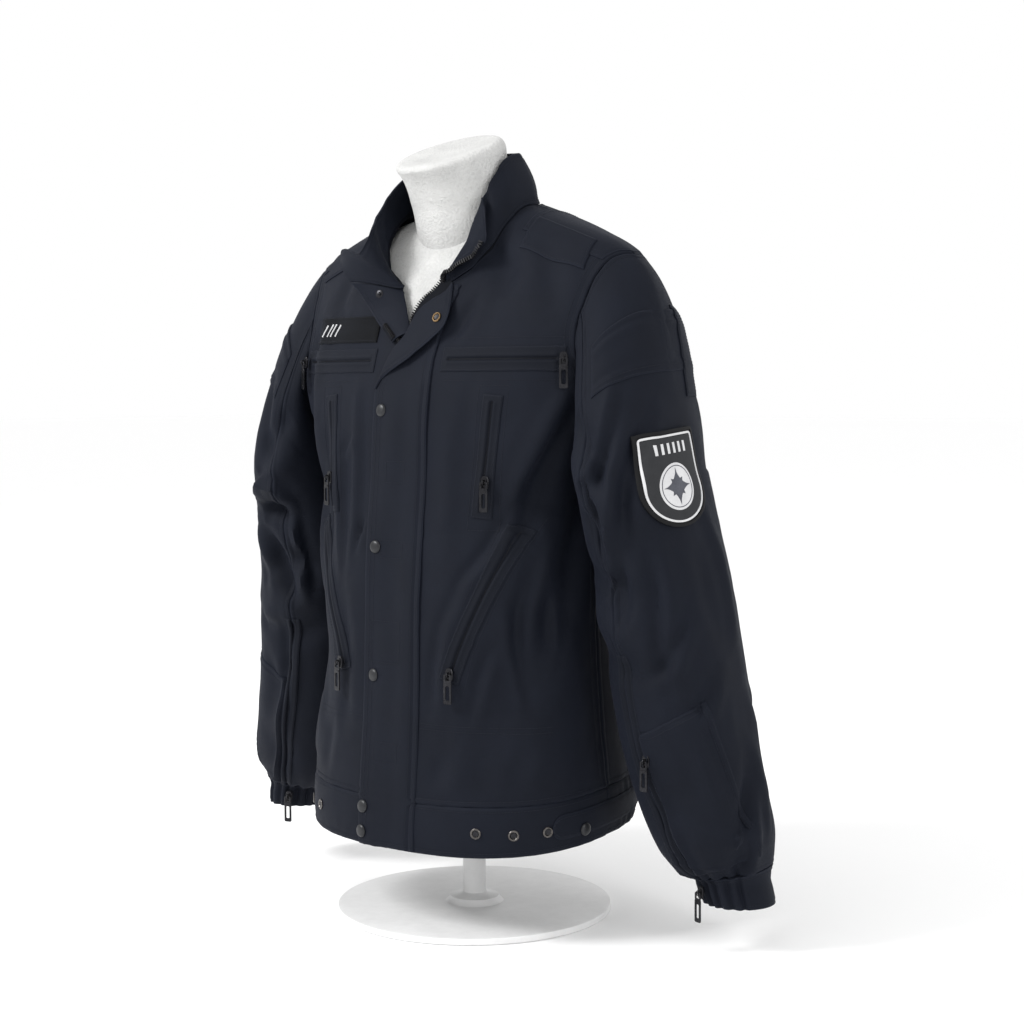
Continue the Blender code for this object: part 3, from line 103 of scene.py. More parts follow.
OPENING = {
    "up":    (0.00, 7 / 12, 1.00),
    "round": (0.30, 0.30, 7.90),
    "rise":  (0.00, 21.3, 36.0),
}
NECK_SHARE = 1 / 3
SHOULDER_SHIFT = 0.018
SHIFT_REACH = 0.200
NECK_FRONT = {
    "across": (0.00, 0.11, 0.20, 0.27, NECK_SHARE, 1.00),
    "round":  (7.90, 15.5, 19.9, 21.4, 21.6, 77.5),
    "rise":   (36.0, 43.2, 53.4, 67.0, 90.0, 90.0),
}
NECK_BACK = {
    "across": (0.00, 0.11, 0.20, 0.27, NECK_SHARE, 1.00),
    "round":  (0.00, 7.90, 13.3, 18.2, 21.6, 77.5),
    "rise":   (73.8, 75.0, 79.8, 85.7, 90.0, 90.0),
}
SLEEVE = {
    "height": (0.360, 0.300, 0.230, 0.160, 0.100, 0.030, -0.010, -0.028),
    "x":      (0.228, 0.234, 0.243, 0.251, 0.261, 0.281, 0.296, 0.303),
    "y":      (-0.006, 0.006, 0.016, 0.024, 0.029, 0.033, 0.040, 0.043),
    "wide":   (0.048, 0.058, 0.064, 0.065, 0.064, 0.058, 0.050, 0.041),
    "deep":   (0.085, 0.077, 0.071, 0.069, 0.068, 0.060, 0.050, 0.041),
}
SLEEVE_POWER = 2.3
FRONT_SEAM = 105.0
BACK_SEAM = 255.0
CUFF_BOTTOM = -0.060
SLEEVE_DROP = {LEFT: 0.012, RIGHT: -0.010}
CUFF_RADIUS = 0.0365
COLLAR_HEIGHT = 0.058
COLLAR_BOW = 0.004
WING_RUN = 0.072
WING_DEPTH = 0.0322
WING_CUT = 0.020
FOLD_RADIUS = 0.0032
FOLD_ANGLE = 166.0
WING_CLEAR = 0.0022
WING_BESIDE = 0.0008
WING_WAY = (-0.25, 0.62, -0.74)
COLLAR_STEP = 0.006
COLLAR_GAP = 0.0008
COLLAR = {
    # distance from the front end along the neckline, inward lean in degrees
    "run":  (0.000, 0.072, 0.125, 0.180, 0.230),
    "lean": (26.0, 16.0, 18.0, 22.0, 22.0),
}
FRONT_FOLDS = (
    (0.185, 0.420, 0.130, 0.300, 0.022, -0.006),
    (0.165, 0.430, 0.095, 0.330, 0.020, 0.004),
    (0.150, 0.330, 0.100, 0.190, 0.026, 0.005),
    (0.160, 0.230, 0.120, 0.100, 0.022, -0.005),
    (0.060, 0.300, 0.075, 0.120, 0.030, 0.004),
    (0.140, 0.120, 0.150, 0.050, 0.020, 0.005),
)
BACK_FOLDS = (
    (0.180, 0.430, 0.110, 0.320, 0.022, -0.006),
    (0.150, 0.440, 0.080, 0.350, 0.022, 0.004),
    (0.110, 0.260, 0.060, 0.090, 0.030, 0.005),
    (0.020, 0.330, 0.030, 0.120, 0.030, -0.004),
    (0.150, 0.150, 0.130, 0.050, 0.022, 0.005),
)
SLEEVE_FOLDS = (
    (120.0, 0.420, 70.0, 0.360, 0.017, -0.007),
    (130.0, 0.385, 80.0, 0.320, 0.018, 0.005),
    (150.0, 0.270, 60.0, 0.235, 0.017, -0.008),
    (150.0, 0.225, 70.0, 0.190, 0.016, 0.005),
    (160.0, 0.185, 90.0, 0.165, 0.015, -0.006),
    (250.0, 0.350, 310.0, 0.300, 0.020, -0.005),
    (240.0, 0.180, 320.0, 0.120, 0.020, 0.005),
    (60.0, 0.060, 110.0, 0.010, 0.018, -0.006),
    (10.0, 0.010, 60.0, -0.005, 0.014, 0.004),
)
FLAP_TURN = 0.455
FLAP_THICKNESS = 0.0018
FLAP_FOLD_RADIUS = 0.0015
FLAP_SEAM = {"height": (FLAP_TURN, 0.480, 0.505, 0.528, 0.556), "x": (0.036, 0.036, 0.038, 0.042, 0.049)}
FLAP_FOLD = {
    "x": (-0.0396, -0.0321, -0.0230, -0.0146, -0.0080, -0.0014, 0.0052, 0.0139, 0.0246, 0.0326, 0.0394),
    "y": (-0.1130, -0.1101, -0.1043, -0.1010, -0.0982, -0.0937, -0.0900, -0.0873, -0.0854, -0.0836, -0.0787),
    "z": (0.4492, 0.4648, 0.4867, 0.4980, 0.5063, 0.5218, 0.5320, 0.5391, 0.5440, 0.5479, 0.5581),
}
FLAP_EDGE = {
    "x": (-0.0368, -0.0285, -0.0123, 0.0025, 0.0187, 0.0325, 0.0437, 0.0475, 0.0480, 0.0454, 0.0425),
    "y": (-0.1129, -0.1125, -0.1118, -0.1112, -0.1091, -0.1062, -0.1018, -0.0983, -0.0940, -0.0877, -0.0808),
    "z": (0.4492, 0.4606, 0.4709, 0.4790, 0.4901, 0.5001, 0.5112, 0.5204, 0.5307, 0.5422, 0.5569),
}
FRONT_TEETH = {
    "x": (-0.0048, -0.0038, -0.0004, 0.0059, 0.0134, 0.0195, 0.0241, 0.0323),
    "y": (-0.0938, -0.0910, -0.0875, -0.0844, -0.0819, -0.0794, -0.0768, -0.0751),
    "z": (0.5156, 0.5240, 0.5333, 0.5415, 0.5476, 0.5537, 0.5598, 0.5637),
}
LAPEL_START = 0.64
CHEST_ZIP = ((0.046, 0.479), (0.177, 0.479))
BUST_ZIP = ((0.112, 0.443), (0.100, 0.318))
SLANT_ZIP = ((0.136, 0.310), (0.109, 0.246), (0.083, 0.185), (0.073, 0.152))
NAME_TAPE = ((0.050, 0.512), (0.155, 0.512))
NAME_TAPE_HALF = 0.014
WELT_HALF = 0.0125
BUST_WELT_HALF = 0.0105
YOKE_START = 27.0
YOKE_MARGIN = 2.0
YOKE_RISES = (
    (64.0, FRONT), (73.0, FRONT), (81.0, FRONT), (89.9, FRONT),
    (80.0, BACK), (70.0, BACK), (60.0, BACK),
)
EPAULETTE_TURNS = (29.0, 55.0)
EPAULETTE_RISES = ((55.0, FRONT), (62.5, FRONT), (69.0, FRONT), (76.0, FRONT))
BAND_ROWS = (-0.68, -0.56, -0.44)
PANEL_TOP = (0.565, 0.64)
PANEL_END = 0.975
PANEL_REAR = (34.0, 12.0)
BADGE_WIDTH = 0.086
TAB_TURNS = {FRONT: (66.0, 74.0, 82.0, 90.0), BACK: (82.0, 74.0, 62.0)}
TAB_HALF = 0.013
SLIDER_PLATE = 0.0022
LOOP_BAR = 0.0010
LOOP_HOLE = 0.0032
AXIS_OUT = 0.0050
PULL_LENGTH = 0.0300
CAPS = ((-0.027, 0.427), (-0.026, 0.285), (-0.025, 0.151))
FORM = {
    "height": (0.050, 0.120, 0.220, 0.320, 0.400, 0.460, 0.510, 0.560, 0.700),
    "half_width": (0.140, 0.138, 0.138, 0.145, 0.156, 0.164, 0.169, 0.172, 0.172),
    "front_depth": (0.092, 0.096, 0.098, 0.098, 0.098, 0.096, 0.092, 0.086, 0.080),
    "back_depth":  (0.092, 0.094, 0.098, 0.104, 0.112, 0.120, 0.124, 0.124, 0.110),
}
FORM_DROP = {"across": (0.0, 0.065, 0.100, 0.130, 0.200), "drop": (0.009, 0.009, 0.0055, 0.0028, 0.0028)}
NECK_RINGS = {
    "height": (0.590, 0.615, 0.635, 0.650, 0.664, 0.680, 0.701),
    "y": (0.000, -0.002, -0.006, -0.011, -0.017, -0.025, -0.036),
    "radius": (0.050, 0.056, 0.057, 0.057, 0.056, 0.0560, 0.060),
}
NECK_SLANT = 0.40
NECK_BEND = 0.640
POLE_RADIUS = 0.0125
BASE_RADIUS = 0.150
BASE_HEIGHT = 0.008

BODY = "jacket_and_form"

# Fine cloth: mesh step, marks beside sewn edges, and depths of seams and stitches
STEP = 0.0036
EDGE_MARKS = (0.0, 0.0005, 0.0011, 0.0019, 0.0030, 0.0042, 0.0051, 0.0060, 0.0069, 0.0080, 0.0100)
STITCH_INSET = 0.0060
STITCH_DIP = 0.00035
PUCKER = 0.00045
PUCKER_LENGTH = 0.0085
LIFT = 0.0002
WEAR_REACH = 0.0022
TWILL_RIB = 0.00085
EDGE_SEAM = (0.0012, 0.0005)
EDGE_PLAIN = (0.0006, 0.0)
BAND_GATHER = 0.0011
GATHER_PITCH = 0.0135
RIGHT_LEAN = {
    "run":  (0.020, 0.040, 0.060, 0.085, 0.120, 0.180, 0.230),
    "lean": (28.0, 12.0, 2.0, -8.0, -17.0, -22.0, -22.0),
}
WING_TOP = {
    "run": (-0.060, -0.036, -0.016, 0.0),
    "x": (-0.127, -0.108, -0.085, -0.066),
    "y": (-0.0675, -0.083, -0.095, -0.102),
    "z": (0.591, 0.600, 0.597, 0.594),
}
WING_BELLY = (-0.35, -0.75, 0.55)
LAPEL_EDGE = {
    "share": (0.0, 0.25, 0.50, 0.75, 1.0),
    "x": (-0.0245, -0.0463, -0.0665, -0.0775, -0.0860),
    "y": (-0.1010, -0.0953, -0.0902, -0.0937, -0.0970),
    "z": (0.4972, 0.5155, 0.5343, 0.5503, 0.5620),
}
CUFF_FLAT = (-45.0, 38.0)
CUFF_WAVES = 19
CUFF_WAVE_DEPTH = 0.0030
WING_FALL = {"from_fold": (0.0, 0.0093, 0.020, 0.032, 0.040), "drop": (0.0, 0.0, 0.0015, 0.0060, 0.0095)}
FLAP_RIDGES = {
    "x":      (-0.040, -0.030, -0.020, -0.008, 0.004, 0.016, 0.024, 0.0285, 0.033, 0.036),
    "height": (0.0000, 0.0003, 0.0009, 0.0003, -0.0002, 0.0005, 0.0004, 0.0000, 0.0007, 0.0004),
}
# Box stitches on the placket: lowest and highest height, left and right x
FLAP_BOXES = (
    (0.352, 0.374, -0.016, 0.008),
    (0.274, 0.292, -0.019, 0.010),
    (0.165, 0.208, -0.030, 0.010),
    (0.062, 0.082, -0.022, 0.010),
)

# Creases: places along each one, width, height (a trough is negative) and the share of the ridge beside it
CREASE_WIDE = 0.85
CREASE_DEEP = 1.4
LEFT_CREASES = (
    (((0.073, 0.600), (0.097, 0.570), (0.098, 0.540)), 0.020, -0.0055, 0.3),
    (((0.128, 0.600), (0.150, 0.560), (0.160, 0.520)), 0.016, -0.0020, 0.2),
    (((0.072, 0.545), (0.060, 0.515), (0.048, 0.497)), 0.011, -0.0040, 0.2),
    (((0.182, 0.450), (0.157, 0.400), (0.134, 0.356), (0.120, 0.300)), 0.013, 0.0072, 0.8),
    (((0.188, 0.420), (0.172, 0.350), (0.162, 0.280), (0.160, 0.200)), 0.022, -0.0075, 0.3),
    (((0.132, 0.340), (0.105, 0.286), (0.082, 0.256), (0.070, 0.225)), 0.008, -0.0032, 0.7),
    (((0.076, 0.240), (0.060, 0.205), (0.052, 0.165), (0.050, 0.120)), 0.009, -0.0035, 0.6),
    (((0.112, 0.190), (0.100, 0.150), (0.094, 0.115)), 0.008, -0.0030, 0.6),
    (((0.146, 0.290), (0.134, 0.225), (0.133, 0.170)), 0.010, -0.0045, 0.5),
    (((0.122, 0.235), (0.128, 0.180), (0.139, 0.120)), 0.008, 0.0030, 0.4),
    (((0.153, 0.240), (0.153, 0.180)), 0.009, -0.0040, 0.4),
    (((0.070, 0.080), (0.056, 0.040)), 0.014, -0.0022, 0.5),
    (((0.104, 0.085), (0.112, 0.035)), 0.016, -0.0016, 0.4),
    (((0.146, 0.092), (0.135, 0.040)), 0.012, -0.0018, 0.4),
    (((0.060, 0.420), (0.064, 0.330), (0.058, 0.280)), 0.016, 0.0018, 0.4),
    (((0.086, 0.462), (0.084, 0.390)), 0.012, -0.0012, 0.3),
)
RIGHT_CREASES = (
    (((-0.094, 0.402), (-0.092, 0.331), (-0.084, 0.250)), 0.007, 0.0030, 0.6),
    (((-0.066, 0.455), (-0.063, 0.360), (-0.063, 0.290), (-0.067, 0.262)), 0.007, 0.0028, 0.6),
    (((-0.049, 0.315), (-0.056, 0.296), (-0.062, 0.275)), 0.006, -0.0030, 0.5),
    (((-0.086, 0.372), (-0.064, 0.398)), 0.006, 0.0016, 0.5),
    (((-0.115, 0.420), (-0.118, 0.340), (-0.110, 0.240)), 0.013, -0.0040, 0.4),
    (((-0.075, 0.240), (-0.066, 0.160), (-0.074, 0.090)), 0.012, -0.0028, 0.4),
    (((-0.140, 0.400), (-0.150, 0.320), (-0.142, 0.220)), 0.014, 0.0050, 0.4),
    (((-0.120, 0.590), (-0.128, 0.545), (-0.118, 0.520)), 0.015, -0.0030, 0.3),
    (((-0.160, 0.520), (-0.166, 0.450), (-0.150, 0.380)), 0.014, -0.0050, 0.4),
    (((-0.098, 0.100), (-0.110, 0.040)), 0.013, -0.0020, 0.4),
    (((-0.150, 0.150), (-0.140, 0.060)), 0.013, -0.0028, 0.4),
)
BACK_CREASES = (
    (((-0.150, 0.500), (-0.120, 0.420), (-0.080, 0.350)), 0.016, -0.0050, 0.4),
    (((0.155, 0.490), (0.118, 0.400), (0.070, 0.340)), 0.017, -0.0052, 0.4),
    (((-0.040, 0.420), (-0.050, 0.300), (-0.030, 0.180)), 0.015, 0.0036, 0.5),
    (((0.050, 0.400), (0.038, 0.260), (0.056, 0.140)), 0.014, -0.0036, 0.5),
    (((-0.110, 0.300), (-0.090, 0.180), (-0.100, 0.080)), 0.012, -0.0040, 0.5),
    (((0.112, 0.280), (0.100, 0.170), (0.116, 0.070)), 0.013, 0.0036, 0.5),
    (((0.000, 0.150), (0.008, 0.040)), 0.014, -0.0026, 0.4),
    (((-0.150, 0.200), (-0.150, 0.080)), 0.014, 0.0030, 0.4),
    (((0.150, 0.330), (0.156, 0.200)), 0.014, -0.0040, 0.4),
    (((-0.080, 0.600), (-0.030, 0.580), (0.040, 0.590)), 0.014, -0.0018, 0.4),
)
# Sleeve creases: places are degrees round the sleeve and row, as on the left sleeve
LEFT_SLEEVE_CREASES = (
    (((100, -0.06), (95, 0.03), (92, 0.10)), 0.007, -0.0095, 0.4),
    (((70, -0.28), (80, -0.10), (90, 0.05)), 0.010, -0.0060, 0.5),
    (((64, -0.45), (76, -0.25), (95, -0.08), (112, 0.0)), 0.008, 0.0045, 0.5),
    (((70, -0.15), (74, 0.04), (92, 0.14), (104, 0.20)), 0.009, 0.0045, 0.5),
    (((112, 0.04), (100, 0.13), (98, 0.20)), 0.009, -0.0050, 0.3),
    (((90, 0.15), (100, 0.24), (114, 0.31)), 0.008, 0.0040, 0.6),
    (((84, 0.20), (90, 0.30), (104, 0.38)), 0.010, -0.0040, 0.4),
    (((349, 0.08), (345, 0.22), (345, 0.46)), 0.011, 0.0030, 0.4),
    (((10, 0.16), (14, 0.30), (8, 0.44)), 0.015, -0.0025, 0.4),
    (((5, 0.78), (22, 0.88), (44, 0.97)), 0.010, -0.0075, 0.5),
    (((30, 0.93), (44, 0.99), (60, 1.00)), 0.009, -0.0050, 0.4),
    (((350, 0.70), (345, 0.84), (356, 0.95)), 0.012, 0.0035, 0.4),
    (((230, 0.30), (255, 0.36), (290, 0.33)), 0.012, -0.0055, 0.5),
    (((220, 0.42), (250, 0.50), (280, 0.46)), 0.012, -0.0050, 0.5),
    (((300, -0.40), (280, -0.15), (255, 0.02)), 0.012, -0.0050, 0.4),
    (((330, 0.55), (318, 0.66), (322, 0.80)), 0.013, -0.0040, 0.4),
    (((150, 0.20), (180, 0.25), (210, 0.22)), 0.011, -0.0050, 0.4),
    (((85, 0.86), (92, 0.93), (88, 0.98)), 0.009, -0.0035, 0.4),
    (((30, -0.30), (46, -0.12), (62, 0.04), (70, 0.18)), 0.011, -0.0048, 0.7),
    (((52, 0.10), (58, 0.26), (66, 0.42), (62, 0.56)), 0.010, -0.0046, 0.8),
    (((40, 0.34), (58, 0.45), (82, 0.50)), 0.009, -0.0042, 0.7),
    (((24, 0.50), (40, 0.58), (70, 0.60)), 0.010, -0.0036, 0.6),
    (((72, 0.62), (60, 0.72), (54, 0.84)), 0.009, -0.0034, 0.6),
)
RIGHT_SLEEVE_CREASES = (
    (((74, 0.10), (92, 0.09), (116, 0.10)), 0.011, -0.0150, 0.0),
    (((66, 0.05), (84, 0.015), (104, 0.02), (120, 0.06)), 0.008, 0.0070, 0.4),
    (((80, 0.17), (92, 0.24), (104, 0.33), (116, 0.39)), 0.012, -0.0090, 0.3),
    (((122, 0.08), (117, 0.16), (122, 0.27), (121, 0.38)), 0.007, 0.0060, 0.5),
    (((60, 0.14), (72, 0.22), (84, 0.36)), 0.013, 0.0050, 0.4),
    (((50, 0.42), (66, 0.47), (88, 0.46)), 0.010, -0.0030, 0.5),
    (((70, 0.56), (84, 0.66), (80, 0.80)), 0.013, -0.0035, 0.5),
    (((95, 0.46), (99, 0.58), (96, 0.72)), 0.009, -0.0050, 0.5),
    (((66, -0.50), (78, -0.28), (98, -0.10)), 0.011, -0.0050, 0.5),
    (((20, 0.30), (30, 0.44), (24, 0.60)), 0.014, -0.0030, 0.4),
    (((350, 0.10), (342, 0.26), (350, 0.42)), 0.014, 0.0034, 0.4),
    (((225, 0.26), (255, 0.33), (292, 0.30)), 0.012, -0.0060, 0.5),
    (((220, 0.40), (250, 0.47), (276, 0.43)), 0.012, -0.0050, 0.5),
    (((300, -0.42), (282, -0.15), (258, 0.02)), 0.012, -0.0050, 0.4),
    (((150, 0.18), (180, 0.24), (212, 0.20)), 0.011, -0.0060, 0.4),
    (((20, 0.84), (36, 0.92), (52, 0.98)), 0.010, -0.0055, 0.5),
    (((330, 0.60), (320, 0.72), (326, 0.86)), 0.013, -0.0036, 0.4),
)

# Sewn details: places are x and height
POCKET_STITCHES = (
    ((0.052, 0.4575), (0.176, 0.4575)),
    ((0.052, 0.5005), (0.178, 0.5005)),
    ((0.096, 0.452), (0.128, 0.452), (0.117, 0.306), (0.086, 0.306), (0.096, 0.452)),
    ((0.152, 0.318), (0.124, 0.248), (0.097, 0.182), (0.088, 0.140)),
    ((0.120, 0.318), (0.094, 0.246), (0.070, 0.190), (0.060, 0.150)),
    ((0.038, 0.1065), (0.160, 0.1065)),
    ((0.038, 0.1010), (0.160, 0.1010)),
)
WELT_MARKS = (0.0, 0.035, 0.07, 0.105, 0.15, 0.21, 0.28, 0.36, 0.46, 0.58, 0.70, 0.80, 0.87, 0.92, 0.96,
              0.985, 1.0)
TAPE_BARS = (0.072, 0.080, 0.088, 0.096)
SLEEVE_ZIP_ROWS = (0.43, 0.975)
SLEEVE_ZIP_HALF = 0.0085
SLEEVE_ZIP_TURN = 106.0
BAND_CAPS = ((-0.033, 0.013), (-0.034, -0.013))
BAND_SOCKETS = ((0.106, 0.000), (0.139, -0.001), (0.162, 0.001))
RIGHT_SOCKETS_OUT = 0.009
TAB_CAP = (0.176, -0.036, -0.001)
FACING_SOCKET = (0.0345, -0.110, 0.5225)
LAPEL_POST = (-0.0500, -0.110, 0.5495)
RIGHT_TEETH = ((-0.0400, 0.5135), (-0.0160, 0.4935))
TOOTH_PITCH = 0.0026
WING_COLUMNS = 22
BADGE_HEIGHT = 0.096
BADGE_STRAIGHT = 0.056
BADGE_TOP = (0.2690, -0.0290, 0.4070)
BADGE_FALL = (0.150, 0.085, -0.985)
BADGE_SIDE = (0.139, 0.985, 0.190)
BADGE_ROUND = 0.068
BADGE_CENTRE = 0.056
BADGE_DISC = 0.0235
BADGE_BARS = 6
BADGE_BAR_PITCH = 0.0082
BADGE_BAR_TOP = 0.0125
BADGE_BAR_LENGTH = 0.0105

# Camera matched to the photo, lights and world
CAMERA = {
    "turn": 38.33,
    "distance": 2.058,
    "focal": 1898.0 / 1024.0,
    "pitch": 3.72,
    "roll": -0.25,
    "aside": 0.043,
    "height": 0.449,
}
NECK_ROUND = 0.010
WORLD_LIGHT = 1.0
LIGHTS = (
    ("key", (-1.2, -1.95, 2.15), (0.0, 0.0, 0.6), (0.9, 0.9), 68.0),
    ("side", (3.0, -0.9, 1.5), (0.1, 0.0, 0.5), (0.6, 1.8), 22.0),
)
TORSO_PARTS = ("shell_front_left", "shell_front_right")
# Cloth: name, how it is held and what it rests on. A name that ends in "_" stands for left and right
HELD = (
    ("shell_front_", "draped", ("form_cover",)),
    ("shell_back", "draped", ("form_cover",)),
    ("shell_waistband_", "hung", ("shell_front_",)),
    ("shell_waistband_back", "gathered", ("shell_back",)),
    ("shell_collar", "folded", TORSO_PARTS),
    ("shell_lapel_right", "folded", ("shell_front_right",)),
    ("shell_placket", "laid", TORSO_PARTS),
    ("shell_facing", "folded", ("shell_placket",)),
    ("shell_sleeve_top_", "hung", ("shell_front_",)),
    ("shell_sleeve_under_", "hung", ("shell_front_",)),
    ("shell_cuff_", "gathered", ("shell_sleeve_top_",)),
    ("zip_chest_", "laid", ("shell_front_",)),
    ("zip_bust_", "laid", ("shell_front_",)),
    ("zip_slant_", "laid", ("shell_front_",)),
    ("zip_forearm_", "laid", ("shell_sleeve_top_",)),
    ("tape_patch", "laid", ("shell_front_right",)),
    ("shell_yoke_", "laid", ("shell_front_",)),
    ("shell_epaulette_", "laid", ("shell_yoke_",)),
    ("shell_sleeve_band_", "laid", ("shell_sleeve_top_",)),
    ("shell_sleeve_tab_", "laid", ("shell_sleeve_band_",)),
    ("shell_forearm_", "laid", ("shell_sleeve_top_",)),
    ("shell_waist_tab_", "laid", ("shell_waistband_",)),
)


def corners():
    return [list(corner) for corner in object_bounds()]


def smooth(keys, values, at):
    """Value of a table at a place, on a smooth curve through its rows."""
    keys = np.asarray(keys, float)
    values = np.asarray(values, float)
    slopes = np.gradient(values, keys)
    at = np.clip(at, keys[0], keys[-1])
    row = np.clip(np.searchsorted(keys, at) - 1, 0, len(keys) - 2)
    span = keys[row + 1] - keys[row]
    t = (at - keys[row]) / span
    start = (2 * t**3 - 3 * t**2 + 1) * values[row] + (t**3 - 2 * t**2 + t) * span * slopes[row]
    end = (3 * t**2 - 2 * t**3) * values[row + 1] + (t**3 - t**2) * span * slopes[row + 1]
    return start + end


def unit(vectors):
    vectors = np.asarray(vectors, float)
    length = np.linalg.norm(vectors, axis=-1, keepdims=True)
    return vectors / np.maximum(length, 1e-9)


def torso_depth(x, z, face):
    """Distance of the torso's surface from the shoulder plane at a place seen from the front."""
    half = smooth(TORSO["height"], TORSO["half_width"], z)
    column = "front_depth" if face == FRONT else "back_depth"
    depth = smooth(TORSO["height"], TORSO[column], z)
    side = np.clip(np.abs(x) / half, 0, 1)
    top = smooth(SHOULDER["across"], SHOULDER["height"], np.abs(x))
    rise = np.clip((z - CHEST) / (top - CHEST), 0, 1)
    power = TOP_POWER[face]
    return depth * (1 - side**SIDE_POWER) ** (1 / SIDE_POWER) * (1 - rise**power) ** (1 / power)


def torso_low(turn, z, face):
    """Torso points below the chest line from degrees round the body and height."""
    turn, z = np.broadcast_arrays(np.asarray(turn, float), np.asarray(z, float))
    half = smooth(TORSO["height"], TORSO["half_width"], z)
    x = half * np.sin(np.radians(turn))
    y = face * np.maximum(torso_depth(x, z, face), SEAM_INSET)
    fade = np.clip((TILT_END - z) / (TILT_END - BAND_TOP), 0, 1)
    tilt = HEM_TILT * (y - HEM_FRONT) * fade * fade
    return np.stack([x, y, z + tilt], axis=-1)


def torso_high(turn, rise, face):
    """Torso points above the chest line from degrees round and degrees up."""
    turn, rise = np.broadcast_arrays(np.asarray(turn, float), np.asarray(rise, float))
    across = np.sin(np.radians(turn))
    lift = np.sin(np.radians(rise))
    z = np.full(across.shape, CHEST + 0.1)
    for _ in range(6):
        x = smooth(TORSO["height"], TORSO["half_width"], z) * across
        z = CHEST + (smooth(SHOULDER["across"], SHOULDER["height"], np.abs(x)) - CHEST) * lift
    side = np.clip(np.abs(across), 0, 1)
    column = "front_depth" if face == FRONT else "back_depth"
    depth = smooth(TORSO["height"], TORSO[column], z)
    power = TOP_POWER[face]
    top = (1 - np.clip(lift, 0, 1) ** power) ** (1 / power)
    y = np.maximum(depth * (1 - side**SIDE_POWER) ** (1 / SIDE_POWER) * top, SEAM_INSET)
    shift = SHOULDER_SHIFT * np.clip(1 - np.abs(x) / SHIFT_REACH, 0, 1) * np.clip(lift, 0, 1) ** 4
    return np.stack([x, face * y + shift, z], axis=-1)


def neck_edge(across, face):
    table = NECK_FRONT if face == FRONT else NECK_BACK
    turn = np.interp(across, table["across"], table["round"])
    rise = np.interp(across, table["across"], table["rise"])
    return turn, rise


def upper_panel(columns, rows, face):
    """Upper half panel: columns run from the middle to the armhole, rows up to the shoulder."""
    u, w = np.meshgrid(columns, rows)
    middle = OPENING["round"][0] if face == FRONT else 0.0
    bottom = np.stack([middle + (90.0 - middle) * u, 0 * u])
    top = np.stack(neck_edge(u, face))
    if face == FRONT:
        inner = np.stack([np.interp(w, OPENING["up"], OPENING[key]) for key in ("round", "rise")])
    else:
        inner = np.stack([0 * w, NECK_BACK["rise"][0] * w])
    outer = np.stack([smooth(ARMHOLE["up"], ARMHOLE["round"], w), 90.0 * w])
    patch = (1 - w) * bottom + w * top
    start, end = np.array([[middle], [0.0]]), np.array([[90.0], [0.0]])
    neck_end = np.array(neck_edge(0.0, face)).reshape(2, 1, 1)
    tip = np.array([ARMHOLE["round"][-1], 90.0]).reshape(2, 1, 1)
    plain_in = (1 - w) * start[..., None] + w * neck_end
    plain_out = (1 - w) * end[..., None] + w * tip
    patch = patch + np.clip(1 - u / NECK_SHARE, 0, 1) * (inner - plain_in)
    patch = patch + np.clip((u - NECK_SHARE) / (1 - NECK_SHARE), 0, 1) * (outer - plain_out)
    return torso_high(patch[0], patch[1], face)


def half_panel(face, columns, low_rows, high_rows):
    """Half of the front or back, from the waistband seam to the neck and shoulder."""
    middle = OPENING["round"][0] if face == FRONT else 0.0
    turn = middle + (90.0 - middle) * columns
    low = torso_low(turn[None, :], low_rows[:, None], face)
    high = upper_panel(columns, high_rows[1:], face)
    return np.concatenate([low, high])


def fold_depth(places, folds):
    """Height of the table's folds at places given as two coordinates in metres."""
    total = np.zeros(places.shape[:-1])
    for x0, z0, x1, z1, width, depth in folds:
        start = np.array([x0, z0])
        along = np.array([x1, z1]) - start
        length = np.linalg.norm(along)
        offset = places - start
        run = np.clip(offset @ along / length**2, 0, 1)
        foot = start + run[..., None] * along
        away = np.linalg.norm(places - foot, axis=-1)
        total += depth * np.exp(-((away / width) ** 2)) * (0.25 + 0.75 * np.sin(np.pi * run) ** 0.5)
    return total


def torso_folds(points, face):
    table = FRONT_FOLDS if face == FRONT else BACK_FOLDS
    places = np.stack([np.abs(points[..., 0]), points[..., 2]], axis=-1)
    depth = fold_depth(places, table)
    side = np.clip((np.abs(points[..., 1]) - 0.004) / 0.035, 0, 1)
    top = np.clip((0.56 - points[..., 2]) / 0.06, 0, 1)
    bottom = np.clip((points[..., 2] - BAND_TOP) / 0.03, 0, 1)
    return depth * side * top * bottom


def armhole_point(angle):
    """Armhole point from degrees round the sleeve: 0 shoulder, 90 front, 180 underarm, 270 back."""
    angle = np.mod(np.asarray(angle, float), 360.0)
    up = np.where(angle <= 180, 1 - angle / 180, angle / 180 - 1)
    turn = smooth(ARMHOLE["up"], ARMHOLE["round"], up)
    front = torso_high(turn, 90.0 * up, FRONT)
    back = torso_high(turn, 90.0 * up, BACK)
    return np.where((angle <= 180)[..., None], front, back)


